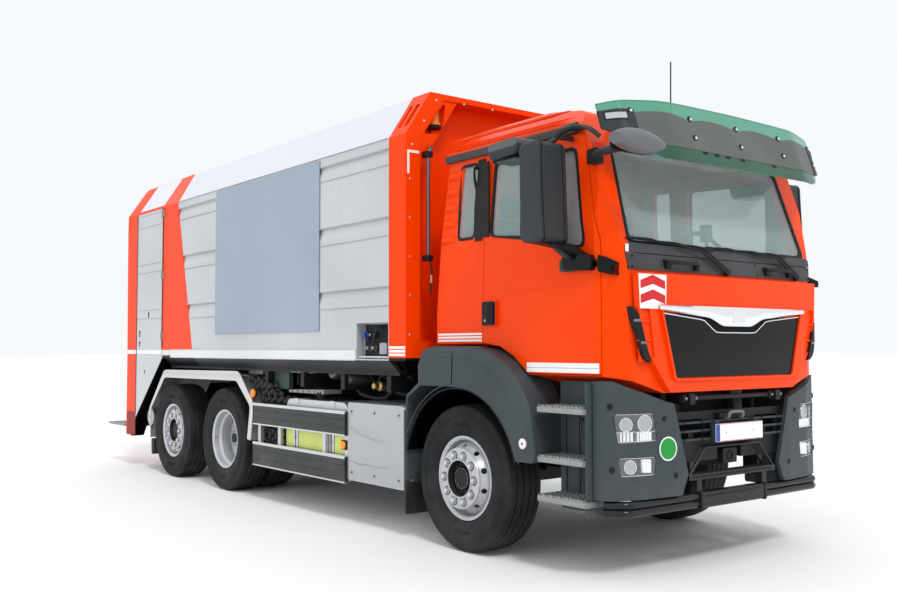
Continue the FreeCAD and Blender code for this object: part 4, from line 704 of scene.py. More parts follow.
# edge radius: the nodes that have it
SOFT_EDGES = {
    0.006: "cab_shell front_flap side_guards",
    0.008: "cab_roof",
    0.004:
        "door_left door_right front_portal rear_portal cab_steps packer_carriage packer_blade bin_lifter",
    0.005: "tailgate",
    0.018: "bumper",
    0.01: "front_mudguards equipment_boxes",
    0.003: "tandem_mudguards body_shell",
    0.012: "dashboard",
    0.002: "chassis_frame",
}
EDGE_OF = {node: radius for radius, nodes in SOFT_EDGES.items() for node in nodes.split()}


def coat_node(node, name):
    """Gives a carried-over node one finish, smooth where its faces meet gently."""
    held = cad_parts[node]
    held.data.materials.clear()
    held.data.materials.append(finish(name))
    if node in EDGE_OF:
        held.modifiers.new("Weld", "WELD").merge_threshold = 0.00002
        soften(held, EDGE_OF[node], segments=4 if EDGE_OF[node] > 0.015 else 2)


class TRUCK_OT_frame_finishes(bpy.types.Operator):
    """Give every node of the frame its finish"""

    bl_idname = "truck.frame_finishes"
    bl_label = "Frame finishes"

    def execute(self, context):
        for name, nodes in NODE_FINISHES.items():
            for node in nodes.split():
                coat_node(node, name)
        return {"FINISHED"}


# ---- wheels ----
TYRE_HALF = (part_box("tyre_front_left")[1][0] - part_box("tyre_front_left")[0][0]) / 2
# kind: (disc face, floor of the hub recess, end of the hub cap), outboard of the outer tyre's middle
HUB_FACES = {"front": (0.175, 0.122, 0.156), "trailing": (0.118, 0.07, 0.104),
    "drive": (-0.161, 0.002, 0.015)}


def wheel_table():
    """Each wheel as (place, kind, outward sign, x of each tyre's middle, y)."""
    rows = []
    for side, out in (("left", 1), ("right", -1)):
        for kind in ("front", "trailing"):
            centre = middle(f"tyre_{kind}_{side}")
            rows.append((f"{kind}_{side}", kind, out, [centre.x], centre.y - AXLE_Y))
        low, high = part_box(f"tyres_drive_{side}")
        ends = sorted((low[0], high[0]), key=abs)
        rows.append((f"drive_{side}", "drive", out, [ends[1] - out * TYRE_HALF, ends[0] + out * TYRE_HALF],
            DRIVE_Y))
    return rows


def tyre(piece, x, y, depth):
    """Tyre with four wavy grooves, notched shoulders, and rings and ribs on its walls."""
    steps = 216
    wall = [(0.1165, 0.289), (0.1165, 0.3), (0.124, 0.304), (0.131, 0.313), (0.139, 0.332), (0.1475, 0.36),
        (0.1512, 0.385), (0.1526, 0.405), (0.153, 0.422), (0.1556, 0.4255), (0.1556, 0.43), (0.1528, 0.4335),
        (0.1524, 0.4365), (0.1548, 0.44), (0.1546, 0.444), (0.1515, 0.4475)]
    shoulder = [(0.1508, 0.456), (0.1488, 0.474), (0.146, 0.492), (0.142, 0.506)]
    rings = []
    for k in range(steps):
        angle = 2 * pi * k / steps
        sway = 0.0035 * sin(angle * steps / 4)
        inset = 0.0035 if k % 2 else 0.0
        half = wall + [(a - inset, r - inset * 0.4) for a, r in shoulder] + [(0.133, 0.5125), (0.118, 0.5155)]
        outline = half[:]
        for groove in (0.086, 0.03, -0.03, -0.086):
            top = 0.5216 - abs(groove) ** 2 * 0.35
            for across, drop in ((0.006, 0.0), (0.0042, depth), (-0.0042, depth), (-0.006, 0.0)):
                outline.append((groove + across + sway, top - drop))
        outline += [(-a, r) for a, r in reversed(half)]
        rings.append([(x + a, y + r * cos(angle), AXLE_Z + r * sin(angle)) for a, r in outline])
    piece.stack(rings, "rubber", closed=True)
    for face in (1, -1):
        for top in (1, -1):
            for k in range(-8, 9):
                angle = radians(90 * top + k * 1.5)
                out = Vector((0, cos(angle), sin(angle)))
                along = Vector((0, -sin(angle), cos(angle)))
                spot = Vector((x + face * 0.1515, y, AXLE_Z)) + out * 0.387
                piece.slab(spot, out * 0.016, along * 0.0022, Vector((face * 0.0022, 0, 0)), "rubber")


def round_nut(piece, place, out, size):
    """Wheel nut with its pressed washer and a domed end."""
    piece.turn([(0, size * 0.84), (0.003, size * 0.84), (0.004, size * 0.78), (0.004, 0)], place, out,
        "steel", 20)
    piece.turn([(0.003, size * 0.577), (0.02, size * 0.577), (0.024, size * 0.48), (0.027, size * 0.3),
        (0.028, 0)], place, out, "aluminium", 6)


def on_circle(x, y, radius, count, turn=0.0):
    """Places of equally spread studs on the face of a wheel."""
    return [(x, y + radius * cos(2 * pi * (k + turn) / count), AXLE_Z + radius
        * sin(2 * pi * (k + turn) / count)) for k in range(count)]


def fit_wheel(place, kind, out, middles, y, sizes):
    """Treads and fittings of one wheel, or of one twin pair."""
    driven = kind == "drive"
    tread = Piece("tread_" + place)
    for x in middles:
        tyre(tread, x, y, sizes.tread_depth)
    twin = "s_" if driven else "_"
    body = "wheel" + twin + place
    tread.done(body, ["tyre" + twin + place], sharp=28)
    fittings = Piece("wheel_fittings_" + place)
    axis = (out, 0, 0)
    face, floor, end = HUB_FACES[kind]
    face_x = middles[0] + out * face
    washer, thick = sizes.nut_width * 1.05, 0.0008
    for spot in on_circle(face_x + (0 if driven else 0.003 * out), y, 0.1675, 10):
        fittings.turn([(0, washer), (thick, washer), (thick, 0)], spot, axis, "hub_dark", 24)
        round_nut(fittings, spot, axis, sizes.nut_width)
    centre = (middles[0], y, AXLE_Z)
    if driven:
        for spot in on_circle(middles[0] + out * end, y, 0.074, 12):
            fittings.bolt(spot, axis, 0.009, 0.012)
        fittings.turn([(end, 0.05), (end + 0.014, 0.046), (end + 0.018, 0.03), (end + 0.018, 0)], centre,
            axis, "hub_dark", 32)
    else:
        for base, profile, tint, steps in ((face, ((0.001, 0.142), (0.003, 0.145), (0.003, 0.206),
                (-0.001, 0.2145), (-0.008, 0.2185), (-0.015, 0.217), (-0.006, 0.203), (-0.001, 0.18)),
                "rim_paint", 72), (0, ((face + 0.0045, 0.129), (face + 0.0045, 0.14), (face + 0.006, 0.1385),
                (face + 0.006, 0.13), (floor + 0.001, 0.1212), (floor + 0.001, 0.1195)), "rim_paint", 64),
                (0, ((face + 0.003, 0.1265), (face + 0.003, 0.124), (floor + 0.006, 0.119),
                (floor + 0.006, 0.086), (floor + 0.0005, 0.086), (floor + 0.0005, 0.121)), "hub_dark", 64)):
            fittings.turn([(base + along, radius) for along, radius in profile], centre, axis, tint, steps,
                closed=True)
        fittings.turn([(floor + 0.001, 0), (floor + 0.001, 0.086), (end - 0.006, 0.077), (end + 0.002, 0.069),
            (end + 0.003, 0)], centre, axis, "hub_dark", 48)
        for spot in on_circle(middles[0] + out * (floor + 0.006), y, 0.1035, 12, 0.5):
            fittings.bolt(spot, axis, 0.008, 0.012, "hub_steel")
        for spot in on_circle(middles[0] + out * (end + 0.003), y, 0.052, 6):
            fittings.bolt(spot, axis, 0.006, 0.008, "hub_steel")
        for spot in on_circle(middles[0] + out * (end + 0.003), y, 0.03, 3):
            fittings.turn([(0, 0.006), (0.003, 0.005), (0.003, 0)], spot, axis, "hub_steel", 12)
    lip = 0.113 * out + middles[0]
    fittings.tube([(lip - out * 0.03, y + 0.262, AXLE_Z), (lip, y + 0.258, AXLE_Z),
        (lip + out * 0.012, y + 0.25, AXLE_Z)], 0.0045, "brass", 8, 4)
    fittings.done(body, bevel=0.0006)


class TRUCK_OT_wheels(bpy.types.Operator):
    """Build the treaded tyres, and the nuts, hub covers and valves of the wheels"""

    bl_idname = "truck.wheels"
    bl_label = "Tyres and wheel fittings"

    def execute(self, context):
        sizes = context.scene.truck_sizes
        for place, kind, out, middles, y in wheel_table():
            fit_wheel(place, kind, out, middles, y, sizes)
        return {"FINISHED"}


# ---- cab front ----
def level(line, x):
    """Height of a line of (x, value) points at x, with its ends carried on."""
    line = sorted(line)
    if x <= line[0][0]:
        return line[0][1]
    for (x0, v0), (x1, v1) in zip(line, line[1:]):
        if x <= x1:
            return v0 + (v1 - v0) * (x - x0) / max(x1 - x0, 1e-6)
    return line[-1][1]


CAB_PLAN = rounded([(0.0, -1.44), (0.5, -1.44), (1.0, -1.39, 0.12), (1.12, -1.24, 0.06), (1.1201, -1.0)])
CAB_NOSE = [(1.16, -1.42), (1.9, -1.42), (2.005, -1.398), (2.04, -1.39), (2.76, -1.17), (3.01, -1.02)]


def cab_front(x, z):
    """Depth y of the cab's front skin."""
    return max(level(CAB_PLAN, abs(x)), level(CAB_NOSE, z))


def front_sheet(piece, rows, proud, name, steps=24):
    """Skin that follows the cab's front: rows of (z, half width)."""
    made = [[(x, cab_front(x, z) - proud, z) for x in spread(-half, half, steps)] for z, half in rows]
    piece.sheet(made, (0, proud, 0), name)


FLAP_FACE = -1.452
FLAP_RIM = -1.472
FLAP_FLOOR = -1.446


def field_half(z):
    """Half width of the recessed grille field."""
    return 0.76 - (1.7 - z) / 0.448 * 0.124


# where lines start that feel for the truck's sides and its rear
BESIDE_X = 1.6
BEHIND_Y = 8.0
# half widths of the cab below and above its gutter
CAB_HALF = 1.12
ROOF_HALF = 1.07
GUTTER_Z = 2.86
SKINS = {}


def touch(node, start, way):
    """First point that a line from start meets on the node, or None."""
    if node not in SKINS:
        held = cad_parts[node].data
        SKINS[node] = BVHTree.FromPolygons([v.co for v in held.vertices], [f.vertices for f in held.polygons])
    spot = SKINS[node].ray_cast(at(*start), Vector(way))[0]
    return spot - at(0, 0, 0) if spot else None


def gate_skin(x, z):
    """Point of the tailgate's rear face, met from behind."""
    return touch("tailgate", (x, BEHIND_Y, z), AHEAD)


def side_skin(node, side, y, z):
    """Point of the cab's side, also across an opening."""
    spot = touch(node, (side * BESIDE_X, y, z), (-side, 0, 0))
    half = CAB_HALF if z < GUTTER_Z else ROOF_HALF
    return spot if spot and spot.x * side > 1.0 else Vector((side * half, y, z))


def corner_vent(vents, side):
    """Louvre beside the grille and the dark fins outside it."""
    rows = []
    for k in range(9):
        z = 1.724 - k * 0.0455
        low, high = 0.812 + (1.716 - z) * -0.1, 0.962 - (1.716 - z) * 0.05
        rows.append([(side * x, cab_front(x, z) - 0.0335, z) for x in spread(low, high, 8)])
    vents.sheet(rows, (0, 0.004, 0), "cab_paint")
    inner = [(1.355, 0.862), (1.46, 0.9), (1.63, 0.955), (1.702, 0.985)]
    outer = [(1.355, 0.88), (1.385, 0.925), (1.43, 0.945), (1.56, 0.975), (1.702, 0.998)]

    def vent_skin(x, z, proud):
        back = level([(0.86, -1.454), (0.935, -1.454), (0.966, -1.448), (1.0, cab_front(1.0, z) - 0.008)], x)
        return (side * x, back - proud, z)

    rows = []
    for k in range(15):
        z = 1.355 + k * 0.0248
        low, high = level(inner, z), level(outer, z)
        rows.append([vent_skin(x, z, 0.003) for x in spread(low, high, 4)])
    vents.sheet(rows, (0, 0.03, 0), "matt_black")
    for z in (1.48, 1.617):
        low, high = level(inner, z) + 0.003, level(outer, z) - 0.003
        vents.sheet([[vent_skin(x, z + rise, proud) for x in spread(low, high, 4)]
            for rise, proud in ((-0.01, 0.003), (-0.002, 0.008), (0.006, 0.003))], (0, 0.004, 0), "lamp_grey")


class TRUCK_OT_front_panel(bpy.types.Operator):
    """Build the glossy grille, its trim, mesh and vents, and the striped plate"""

    bl_idname = "truck.front_panel"
    bl_label = "Front panel"

    def execute(self, context):
        grille = Piece("grille")
        half = [(field_half(1.662), 1.662), (0.345, 1.622), (0.205, 1.546), (0.0, 1.546), (0.0, 1.258),
            (field_half(1.258), 1.258)]
        for side in (1, -1):
            grille.prism("y", flip(side, half), FLAP_FLOOR - 0.001, FLAP_FLOOR - 0.013, "gloss_black")
        for z in (1.296, 1.33, 1.364):
            grille.plate("y", (-field_half(z) + 0.03, field_half(z) - 0.03), (z - 0.003, z + 0.003),
                (FLAP_FLOOR - 0.012, FLAP_FLOOR - 0.0155), "matt_black")
        grille.prism("y", [(-0.73, 1.698), (0.73, 1.698), (0.36, 1.6), (0.21, 1.54), (-0.21, 1.54),
            (-0.36, 1.6)], FLAP_FLOOR - 0.0005, FLAP_FLOOR - 0.003, "matt_black")
        for k in range(46):
            x = -0.345 + k * 0.0153
            grille.box((x - 0.0022, x + 0.0022), (FLAP_FLOOR - 0.007, FLAP_FLOOR - 0.003), (1.548, 1.69),
                "matt_black")
        for k in range(10):
            z = 1.552 + k * 0.015
            grille.box((-0.35, 0.35), (FLAP_FLOOR - 0.009, FLAP_FLOOR - 0.006), (z - 0.0022, z + 0.0022),
                "matt_black")
        grille.done("front_flap", bevel=0.0015)
        trim = Piece("grille_trim")
        half = [(field_half(1.664) - 0.004, 1.664), (0.56, 1.647), (0.36, 1.627), (0.315, 1.608),
            (0.235, 1.56), (0.19, 1.547)]
        line = half + [(0.0, 1.546)] + flip(-1, half[::-1])
        trim.tube([(x, FLAP_FLOOR - 0.014, z) for x, z in line], 0.0042, "chrome", 8, 4)
        rows = []
        for k in range(49):
            x = -0.786 + k * 1.572 / 48
            height = 1.716 - level([(0.0, 1.588), (0.15, 1.588), (0.185, 1.598), (0.275, 1.636),
                (0.32, 1.644), (0.786, 1.684)], abs(x))
            crown = 0.01 if abs(x) < 0.77 else 0.002
            rows.append([(x, FLAP_RIM - proud - crown * swell, 1.716 - height * share)
                for proud, swell, share in ((0.004, 0, 0), (0.006, 0.7, 0.18), (0.006, 1, 0.5),
                (0.005, 0.6, 0.85), (0.002, 0, 1))])
        trim.sheet(rows, (0, 0.012, 0), "satin_silver")
        trim.prism("y", [(-0.068, 1.7, 0.008), (0.068, 1.7, 0.008), (0.058, 1.612, 0.012),
            (-0.058, 1.612, 0.012)], FLAP_RIM - 0.01, FLAP_RIM - 0.0205, "satin_silver")
        trim.done("front_flap", bevel=0.001)
        vents = Piece("corner_vents")
        for side in (1, -1):
            corner_vent(vents, side)
        vents.done("front_flap", bevel=0.0006)
        plate = Piece("striped_plate")
        plate.prism("y", [(-0.966, 1.906), (-0.702, 1.906), (-0.712, 1.69), (-0.956, 1.69)], FLAP_FACE,
            FLAP_FACE - 0.002, "white_mark")
        for tip, shoulder, crotch, foot in ((1.903, 1.865, 1.844, 1.8135), (1.81, 1.775, 1.752, 1.721)):
            for half in (1, -1):
                plate.prism("y", [(-0.834, tip), (-0.834 + half * 0.1165, shoulder),
                    (-0.834 + half * 0.1165, foot), (-0.834, crotch)], FLAP_FACE - 0.002, FLAP_FACE - 0.0026,
                    "red_mark")
        for x in (-0.6, 0.6):
            plate.turn([(0, 0.01), (0.003, 0.009), (0.004, 0)], (x, FLAP_FACE, 1.885), AHEAD, "cab_paint", 16)
        plate.done("front_flap")
        return {"FINISHED"}


def wiper(wipers, px, elbow, tip):
    """One wiper: its turning foot, two arms, bow and blade."""
    base_y = cab_front(px, 1.93) - 0.012
    hold = Vector((elbow[0], cab_front(elbow[0], elbow[1]) - 0.055, elbow[1]))
    wipers.turn([(0, 0.02), (0.02, 0.019), (0.03, 0.012), (0.032, 0)], (px, base_y, 1.945), (0, -1, 0.1),
        "matt_black", 20)
    for shift, size in ((0.0, 0.012), (0.03, 0.007)):
        start = Vector((px + shift * 0.6, base_y - 0.026, 1.94 + shift * 0.4))
        end = hold + Vector((shift, 0, shift * 0.3))
        side = (end - start).normalized().cross(Vector((0, 1, 0))).normalized()
        wipers.slab((start + end) / 2, (end - start) / 2, side * size, Vector((0, 0.005, 0)), "matt_black")
    blade = []
    for t in spread(0.0, 1.0, 12):
        x = elbow[0] + 0.165 + (tip[0] - elbow[0] - 0.165) * t
        z = elbow[1] + 0.02 + (tip[1] - elbow[1] - 0.02) * t
        blade.append(Vector((x, cab_front(x, z) - 0.004, z)))
    for start, end in zip(blade, blade[1:]):
        along = (end - start) / 2 * 1.02
        up = Vector((0, -0.24, 0.97))
        wipers.slab((start + end) / 2 + Vector((0, -0.004, 0)), along, up * 0.004, Vector((0, 0.006, 0)),
            "rubber")
        wipers.slab((start + end) / 2 + Vector((0, -0.013, 0.002)), along, up * 0.008, Vector((0, 0.004, 0)),
            "matt_black")
    for t0, t1 in ((1, 5), (4, 8), (8, 11)):
        a, b = blade[t0] + Vector((0, -0.02, 0.004)), blade[t1] + Vector((0, -0.02, 0.004))
        wipers.tube([a, (a + b) / 2 + Vector((0, -0.022, 0.003)), b], 0.0055, "matt_black", 6, 5)
    mid = blade[6] + Vector((0, -0.04, 0.004))
    wipers.slab((hold + mid) / 2, (mid - hold) / 2 * 1.05, Vector((0, 0, 0.008)), Vector((0, 0.004, 0)),
        "matt_black")


# (z, half width) rows, how far the skin stands off the cab, finish
SCREEN_SKINS = (
    (((1.934, 0.985), (1.97, 0.992), (2.0, 0.998), (2.036, 1.004)), 0.012, "scuttle_grey"),
    (((2.041, 1.004), (2.06, 1.002), (2.09, 0.998), (2.104, 0.975)), 0.012, "scuttle_grey"),
    (((1.938, 0.99), (2.1, 0.99)), 0.008, "matt_black"),
)


class TRUCK_OT_screen_foot(bpy.types.Operator):
    """Build the panel below the windscreen, its wipers, grab handles and seals"""

    bl_idname = "truck.screen_foot"
    bl_label = "Wipers and screen panel"

    def execute(self, context):
        panel = Piece("screen_panel")
        for skin in SCREEN_SKINS:
            front_sheet(panel, *skin)
        for x in (-0.965, -0.34, 0.31, 0.965):
            for z in (1.952, 2.02):
                panel.turn([(0, 0.009), (0.003, 0.008), (0.004, 0)], (x, cab_front(x, z) - 0.012, z), AHEAD,
                    "matt_black", 12)
        panel.box((-1.012, -0.986), (cab_front(1.0, 2.06) - 0.016, cab_front(1.0, 2.06) - 0.01),
            (2.044, 2.092), "white_mark")
        panel.done("cab", bevel=0.001)
        handles = Piece("grab_handles")
        for x0, x1 in ((-0.69, -0.345), (0.385, 0.705)):
            y = cab_front(x0, 1.98)
            bend = ((0.02, 0.004, 1.968), (0.035, 0.045, 1.984), (0.07, 0.056, 1.99))
            path = [(x0 + a, y - b, z) for a, b, z in bend] + [((x0 + x1) / 2, y - 0.058, 1.99)]
            path += [(x1 - a, y - b, z) for a, b, z in reversed(bend)]
            handles.tube(path, 0.013, "matt_black", 12, 5)
            for x, wide in ((x0 + 0.03, 0.05), (x1 - 0.03, 0.034)):
                handles.prism("x", [(y - 0.003, 1.944, 0.004), (y - 0.04, 1.956, 0.008),
                    (y - 0.052, 1.996, 0.01), (y - 0.006, 2.012, 0.006)], x - wide / 2, x + wide / 2,
                    "matt_black")
            handles.box((x0 + 0.05, x1 - 0.05), (y - 0.015, y - 0.005), (1.95, 1.96), "matt_black")
        handles.done("cab", bevel=0.002)
        wipers = Piece("wipers")
        for px, elbow, tip in ((-0.055, (-0.3, 2.076), (-0.985, 2.135)),
                (0.76, (0.545, 2.08), (-0.195, 2.115))):
            wiper(wipers, px, elbow, tip)
        wipers.done("cab", bevel=0.001)
        seals = Piece("screen_seal")
        edge = rounded([(-0.962, 2.103, 0.06), (0.962, 2.103, 0.06), (0.907, 2.772, 0.08),
            (-0.907, 2.772, 0.08)], 6)
        edge = [(a[0] + (b[0] - a[0]) * k / 8, a[1] + (b[1] - a[1]) * k / 8)
            for a, b in zip(edge, edge[1:] + edge[:1]) for k in range(8 if abs(a[0] - b[0]) > 0.5 else 1)]
        rings = []
        for grow, proud in ((0.01, -0.003), (0.008, 0.003), (-0.016, 0.003), (-0.02, -0.006)):
            ring = []
            for x, z in edge:
                out = Vector((x / 0.96, (z - 2.437) / 0.335))
                shift = (grow if abs(out.x) > 0.9 else 0) * (1 if x > 0 else -1)
                rise = (grow if abs(out.y) > 0.85 else 0) * (1 if z > 2.437 else -1)
                ring.append((x + shift, cab_front(x + shift, z + rise) - proud, z + rise))
            rings.append(ring)
        seals.stack(rings, "matt_black", closed=True)
        seals.done("cab")
        return {"FINISHED"}


# ---- bumper and guard ----
BUMPER_PLAN = rounded([(0.0, -1.44), (0.62, -1.44, 0.06), (0.9, -1.41, 0.2), (1.13, -1.33, 0.13),
    (1.145, -1.225), (1.1451, -1.2)])


def bumper_front(x):
    """Y of the bumper's face at one x."""
    return level(BUMPER_PLAN, abs(x))


def lamp_skin(piece, outline, back, thick, name, side, steps=10):
    """Sheet that fills a four-cornered lamp window and follows the bumper's face."""
    (x0, z0), (x1, z1), (x2, z2), (x3, z3) = outline
    rows = []
    for v in spread(0.0, 1.0, 4):
        row = []
        for u in spread(0.0, 1.0, steps):
            x = (x0 * (1 - v) + x3 * v) * (1 - u) + (x1 * (1 - v) + x2 * v) * u
            z = (z0 * (1 - v) + z3 * v) * (1 - u) + (z1 * (1 - v) + z2 * v) * u
            row.append((side * x, bumper_front(x) + back, z))
        rows.append(row)
    piece.sheet(rows, (0, thick, 0), name)


def reflector(piece, x, z, radius, side, tilt=0.12):
    """Bright lamp bowl with its bulb shield."""
    y = bumper_front(x) + 0.012
    aim = Vector((side * tilt, -1, 0))
    centre = (side * x, y, z)
    piece.turn([(0.0, radius), (0.004, radius * 0.96), (-0.012, radius * 0.84), (-0.03, radius * 0.6),
        (-0.04, radius * 0.3), (-0.042, 0)], centre, aim, "lamp_bowl", 28)
    piece.turn([(-0.04, radius * 0.26), (-0.014, radius * 0.24), (-0.008, radius * 0.14), (-0.007, 0)],
        centre, aim, "chrome", 20)
    piece.turn([(0.004, radius * 0.97), (0.007, radius * 0.99), (0.007, radius * 0.9), (0.0, radius * 0.9)],
        centre, aim, "satin_silver", 28, closed=True)


def head_lamp(side, name):
    """Head and fog lamps of one side with their cover."""
    lamps = Piece("head_lamp_" + name)
    head = [(0.778, 0.862), (1.06, 0.852), (1.088, 1.038), (0.802, 1.038)]
    fog = [(0.8, 0.652), (1.043, 0.652), (1.06, 0.768), (0.784, 0.768)]
    for window in (head, fog):
        lamp_skin(lamps, window, 0.06, 0.004, "lamp_dark", side)
    for window, splits in ((head, (0.36,)), (fog, ())):
        (x0, z0), (x1, _), (x2, _), (x3, z3) = window
        for v in (0.0, 1.0) + splits:
            xa, xb = x0 + (x3 - x0) * v, x1 + (x2 - x1) * v
            z = z0 + (z3 - z0) * v + (0.004 if v == 0 else -0.004 if v == 1 else 0)
            lamps.sheet([[(side * x, bumper_front(x) + d, z) for x in spread(xa, xb, 10)]
                for d in (0.004, 0.06)], (0, 0, 0.003), "chrome")
    reflector(lamps, 0.87, 0.976, 0.055, side, 0.2)
    reflector(lamps, 1.0, 0.972, 0.044, side, 0.5)
    for x0, x1 in ((0.8, 0.925), (0.94, 1.06)):
        y = bumper_front((x0 + x1) / 2)
        for k in range(5):
            x = x0 + (x1 - x0) * (k + 0.5) / 5
            wide = (x1 - x0) / 5
            lamps.sheet([[(side * (x + wide * (u - 0.5)), bumper_front(x) + 0.022 + 0.016
                * (1 - abs(2 * u - 1)), z) for u in (0.0, 0.25, 0.5, 0.75, 1.0)]
                for z in (0.868, 0.886, 0.906, 0.922)], (0, 0.004, 0), "chrome")
        lamps.box((side * x0, side * x1), (y + 0.04, y + 0.046), (0.862, 0.926), "lamp_grey")
    reflector(lamps, 0.975, 0.712, 0.044, side, 0.4)
    lamps.sheet([[(side * (0.812 + 0.095 * u), bumper_front(0.86) + 0.012 + 0.03 * sin(pi * u), z)
        for u in (0, 0.2, 0.4, 0.6, 0.8, 1.0)] for z in (0.668, 0.69, 0.725, 0.752)], (0, 0.004, 0), "chrome")
    lamps.done("chassis", bevel=0.0008)
    covers = Piece("lamp_cover_" + name)
    lamp_skin(covers, head, 0.0015, 0.003, "lamp_glass", side)
    lamp_skin(covers, fog, 0.0015, 0.003, "lamp_glass", side)
    covers.done("chassis")


def lamp_trim(trims, side):
    """Frames of the lamp windows and the screw caps of one side."""
    for window, centre in (([(0.775, 0.86), (1.062, 0.85), (1.09, 1.04), (0.8, 1.04)], (0.93, 0.948)),
            ([(0.8, 0.65), (1.045, 0.65), (1.062, 0.77), (0.782, 0.77)], (0.92, 0.71))):
        ring = rounded([(x, z, 0.022) for x, z in window], 3)
        dense = parted(ring, 6)
        rings = []
        for scale, drop in ((1.0, 0.0), (1.0, 0.022), (0.965, 0.022), (0.965, 0.003)):
            rings.append([(side * (centre[0] + (x - centre[0]) * scale),
                bumper_front(centre[0] + (x - centre[0]) * scale) + drop, centre[1] + (z - centre[1]) * scale)
                for x, z in dense])
        trims.stack(rings, "matt_black", closed=True)
    for x, z in ((1.105, 1.086), (0.712, 1.0), (1.098, 0.7), (0.62, 0.64)):
        y = bumper_front(x)
        aim = Vector((side * (x - 0.55) * 0.9, -1, 0)) if x > 0.9 else Vector(AHEAD)
        trims.turn([(-0.004, 0.019), (0.002, 0.019), (0.003, 0.017), (0.0005, 0.014), (0.0005, 0)],
            (side * x, y, z), aim, "matt_black", 20)
        trims.turn([(0.0, 0.01), (0.004, 0.0085), (0.0045, 0)], (side * x, y, z), aim, "matt_black", 6)


class TRUCK_OT_bumper_lamps(bpy.types.Operator):
    """Build the head lamps, fog lamps, screw caps, plate and disc of the bumper"""

    bl_idname = "truck.bumper_lamps"
    bl_label = "Bumper and lamps"

    def execute(self, context):
        for side, name in SIDES:
            head_lamp(side, name)
        trims = Piece("bumper_trims")
        for side in (1, -1):
            lamp_trim(trims, side)
        trims.done("chassis", bevel=0.0006)
        marks = Piece("front_disc")
        for radius, proud, tint in ((0.076, 0.0015, "white_mark"), (0.067, 0.0022, "green_mark")):
            marks.turn([(0.0, radius), (proud, radius), (proud, 0)], (-0.69, bumper_front(0.69) - 0.004,
                0.812), (-0.106, -1, 0), tint, 48)
        marks.done("chassis")
        plate = Piece("blank_number_plate")
        y = -1.47
        plate.plate("y", (-0.264, 0.264), (0.824, 0.952), (y - 0.0002, y - 0.004), "matt_black", 0.006)
        plate.plate("y", (-0.258, 0.258), (0.83, 0.946), (y - 0.004, y - 0.006), "white_mark", 0.006)
        plate.plate("y", (-0.256, -0.213), (0.832, 0.944), (y - 0.006, y - 0.0066), "blue_mark")
        for z in (0.8335, 0.9425):
            plate.box((-0.208, 0.255), (y - 0.0066, y - 0.006), (z - 0.0014, z + 0.0014), "red_mark")
        for x in (-0.15, 0.15):
            plate.turn([(0, 0.006), (0.002, 0.005), (0.0025, 0)], (x, y - 0.006, 0.888), AHEAD, "steel", 12)
        plate.done("chassis")
        covers = Piece("pivot_covers")
        for side in (1, -1):
            covers.prism("x", [(-1.462, 1.08, 0.01), (-1.462, 1.15, 0.01), (-1.405, 1.154, 0.01),
                (-1.3, 1.154), (-1.3, 1.08)], side * 0.444, side * 0.496, "frame_paint")
        covers.done("cab", bevel=0.0008)
        fittings = Piece("bumper_fittings")
        for x in (-0.52, -0.417, 0.417, 0.52):
            fittings.turn([(-0.018, 0.024), (-0.014, 0.027), (0.014, 0.027), (0.018, 0.024), (0.018, 0.0165),
                (-0.018, 0.0165)], (x, -1.42, 1.12), (1, 0, 0), "frame_paint", 24, closed=True)
            fittings.bolt((x, -1.447, 1.12), AHEAD, 0.007, 0.009)
        half = [(-0.075, -1.394, 0.972), (-0.075, -1.44, 0.976), (-0.07, -1.452, 1.012)]
        fittings.tube(half + [(0.0, -1.452, 1.018)] + flip(-1, half[::-1]), 0.01, "handle_grey", 8, 6)
        fittings.box((-0.14, 0.14), (-1.42, -1.392), (0.974, 1.01), "frame_paint")
        for z, span in ((0.85, 0.56), (0.905, 0.57), (0.96, 0.57)):
            for x in (-span + 0.05, -0.33, 0.33, span - 0.05):
                fittings.turn([(-0.01, 0.012), (0.01, 0.012), (0.01, 0.0083), (-0.01, 0.0083)],
                    (x, -1.416, z), (1, 0, 0), "frame_paint", 14, closed=True)
        for k in range(31):
            x = -0.42 + k * 0.028
            fittings.turn([(0, 0.0075), (0.0012, 0.008), (0.0012, 0.0055), (0, 0.005)], (x, -1.425, 0.61),
                AHEAD, "frame_paint", 12, closed=True)
            # painted shade: a no-gloss black disc in each hole of the step stands in for the shade inside the
            # hole
            fittings.turn([(0, 0.0055), (0.0005, 0.0055), (0.0005, 0)], (x, -1.425, 0.61), AHEAD,
                "void_black", 12)
            for y in (-1.405, -1.38, -1.36):
                fittings.turn([(0, 0.0085), (0.003, 0.007), (0.003, 0.005), (0, 0.0048)], (x, y, 0.628), UP,
                    "frame_paint", 10, closed=True)
        fittings.plate("y", (-0.075, 0.075), (0.672, 0.77), (-1.33, -1.395), "frame_paint", 0.01)
        fittings.turn([(-0.02, 0.036), (0.0, 0.036), (0.006, 0.03), (0.006, 0.022), (-0.02, 0.022)],
            (0, -1.396, 0.72), AHEAD, "hub_dark", 28, closed=True)
        for side in (1, -1):
            fittings.plate("x", (-1.433, -1.358), (0.398, 0.514), (side * 0.335, side * 0.357), "frame_paint",
                0.01)
        fittings.tube([(-0.3, -1.4305, 0.48), (0.0, -1.4305, 0.48), (0.3, -1.4305, 0.48)], 0.006,
            "frame_paint", 6, 2)
        fittings.done("chassis", bevel=0.0008)
        return {"FINISHED"}


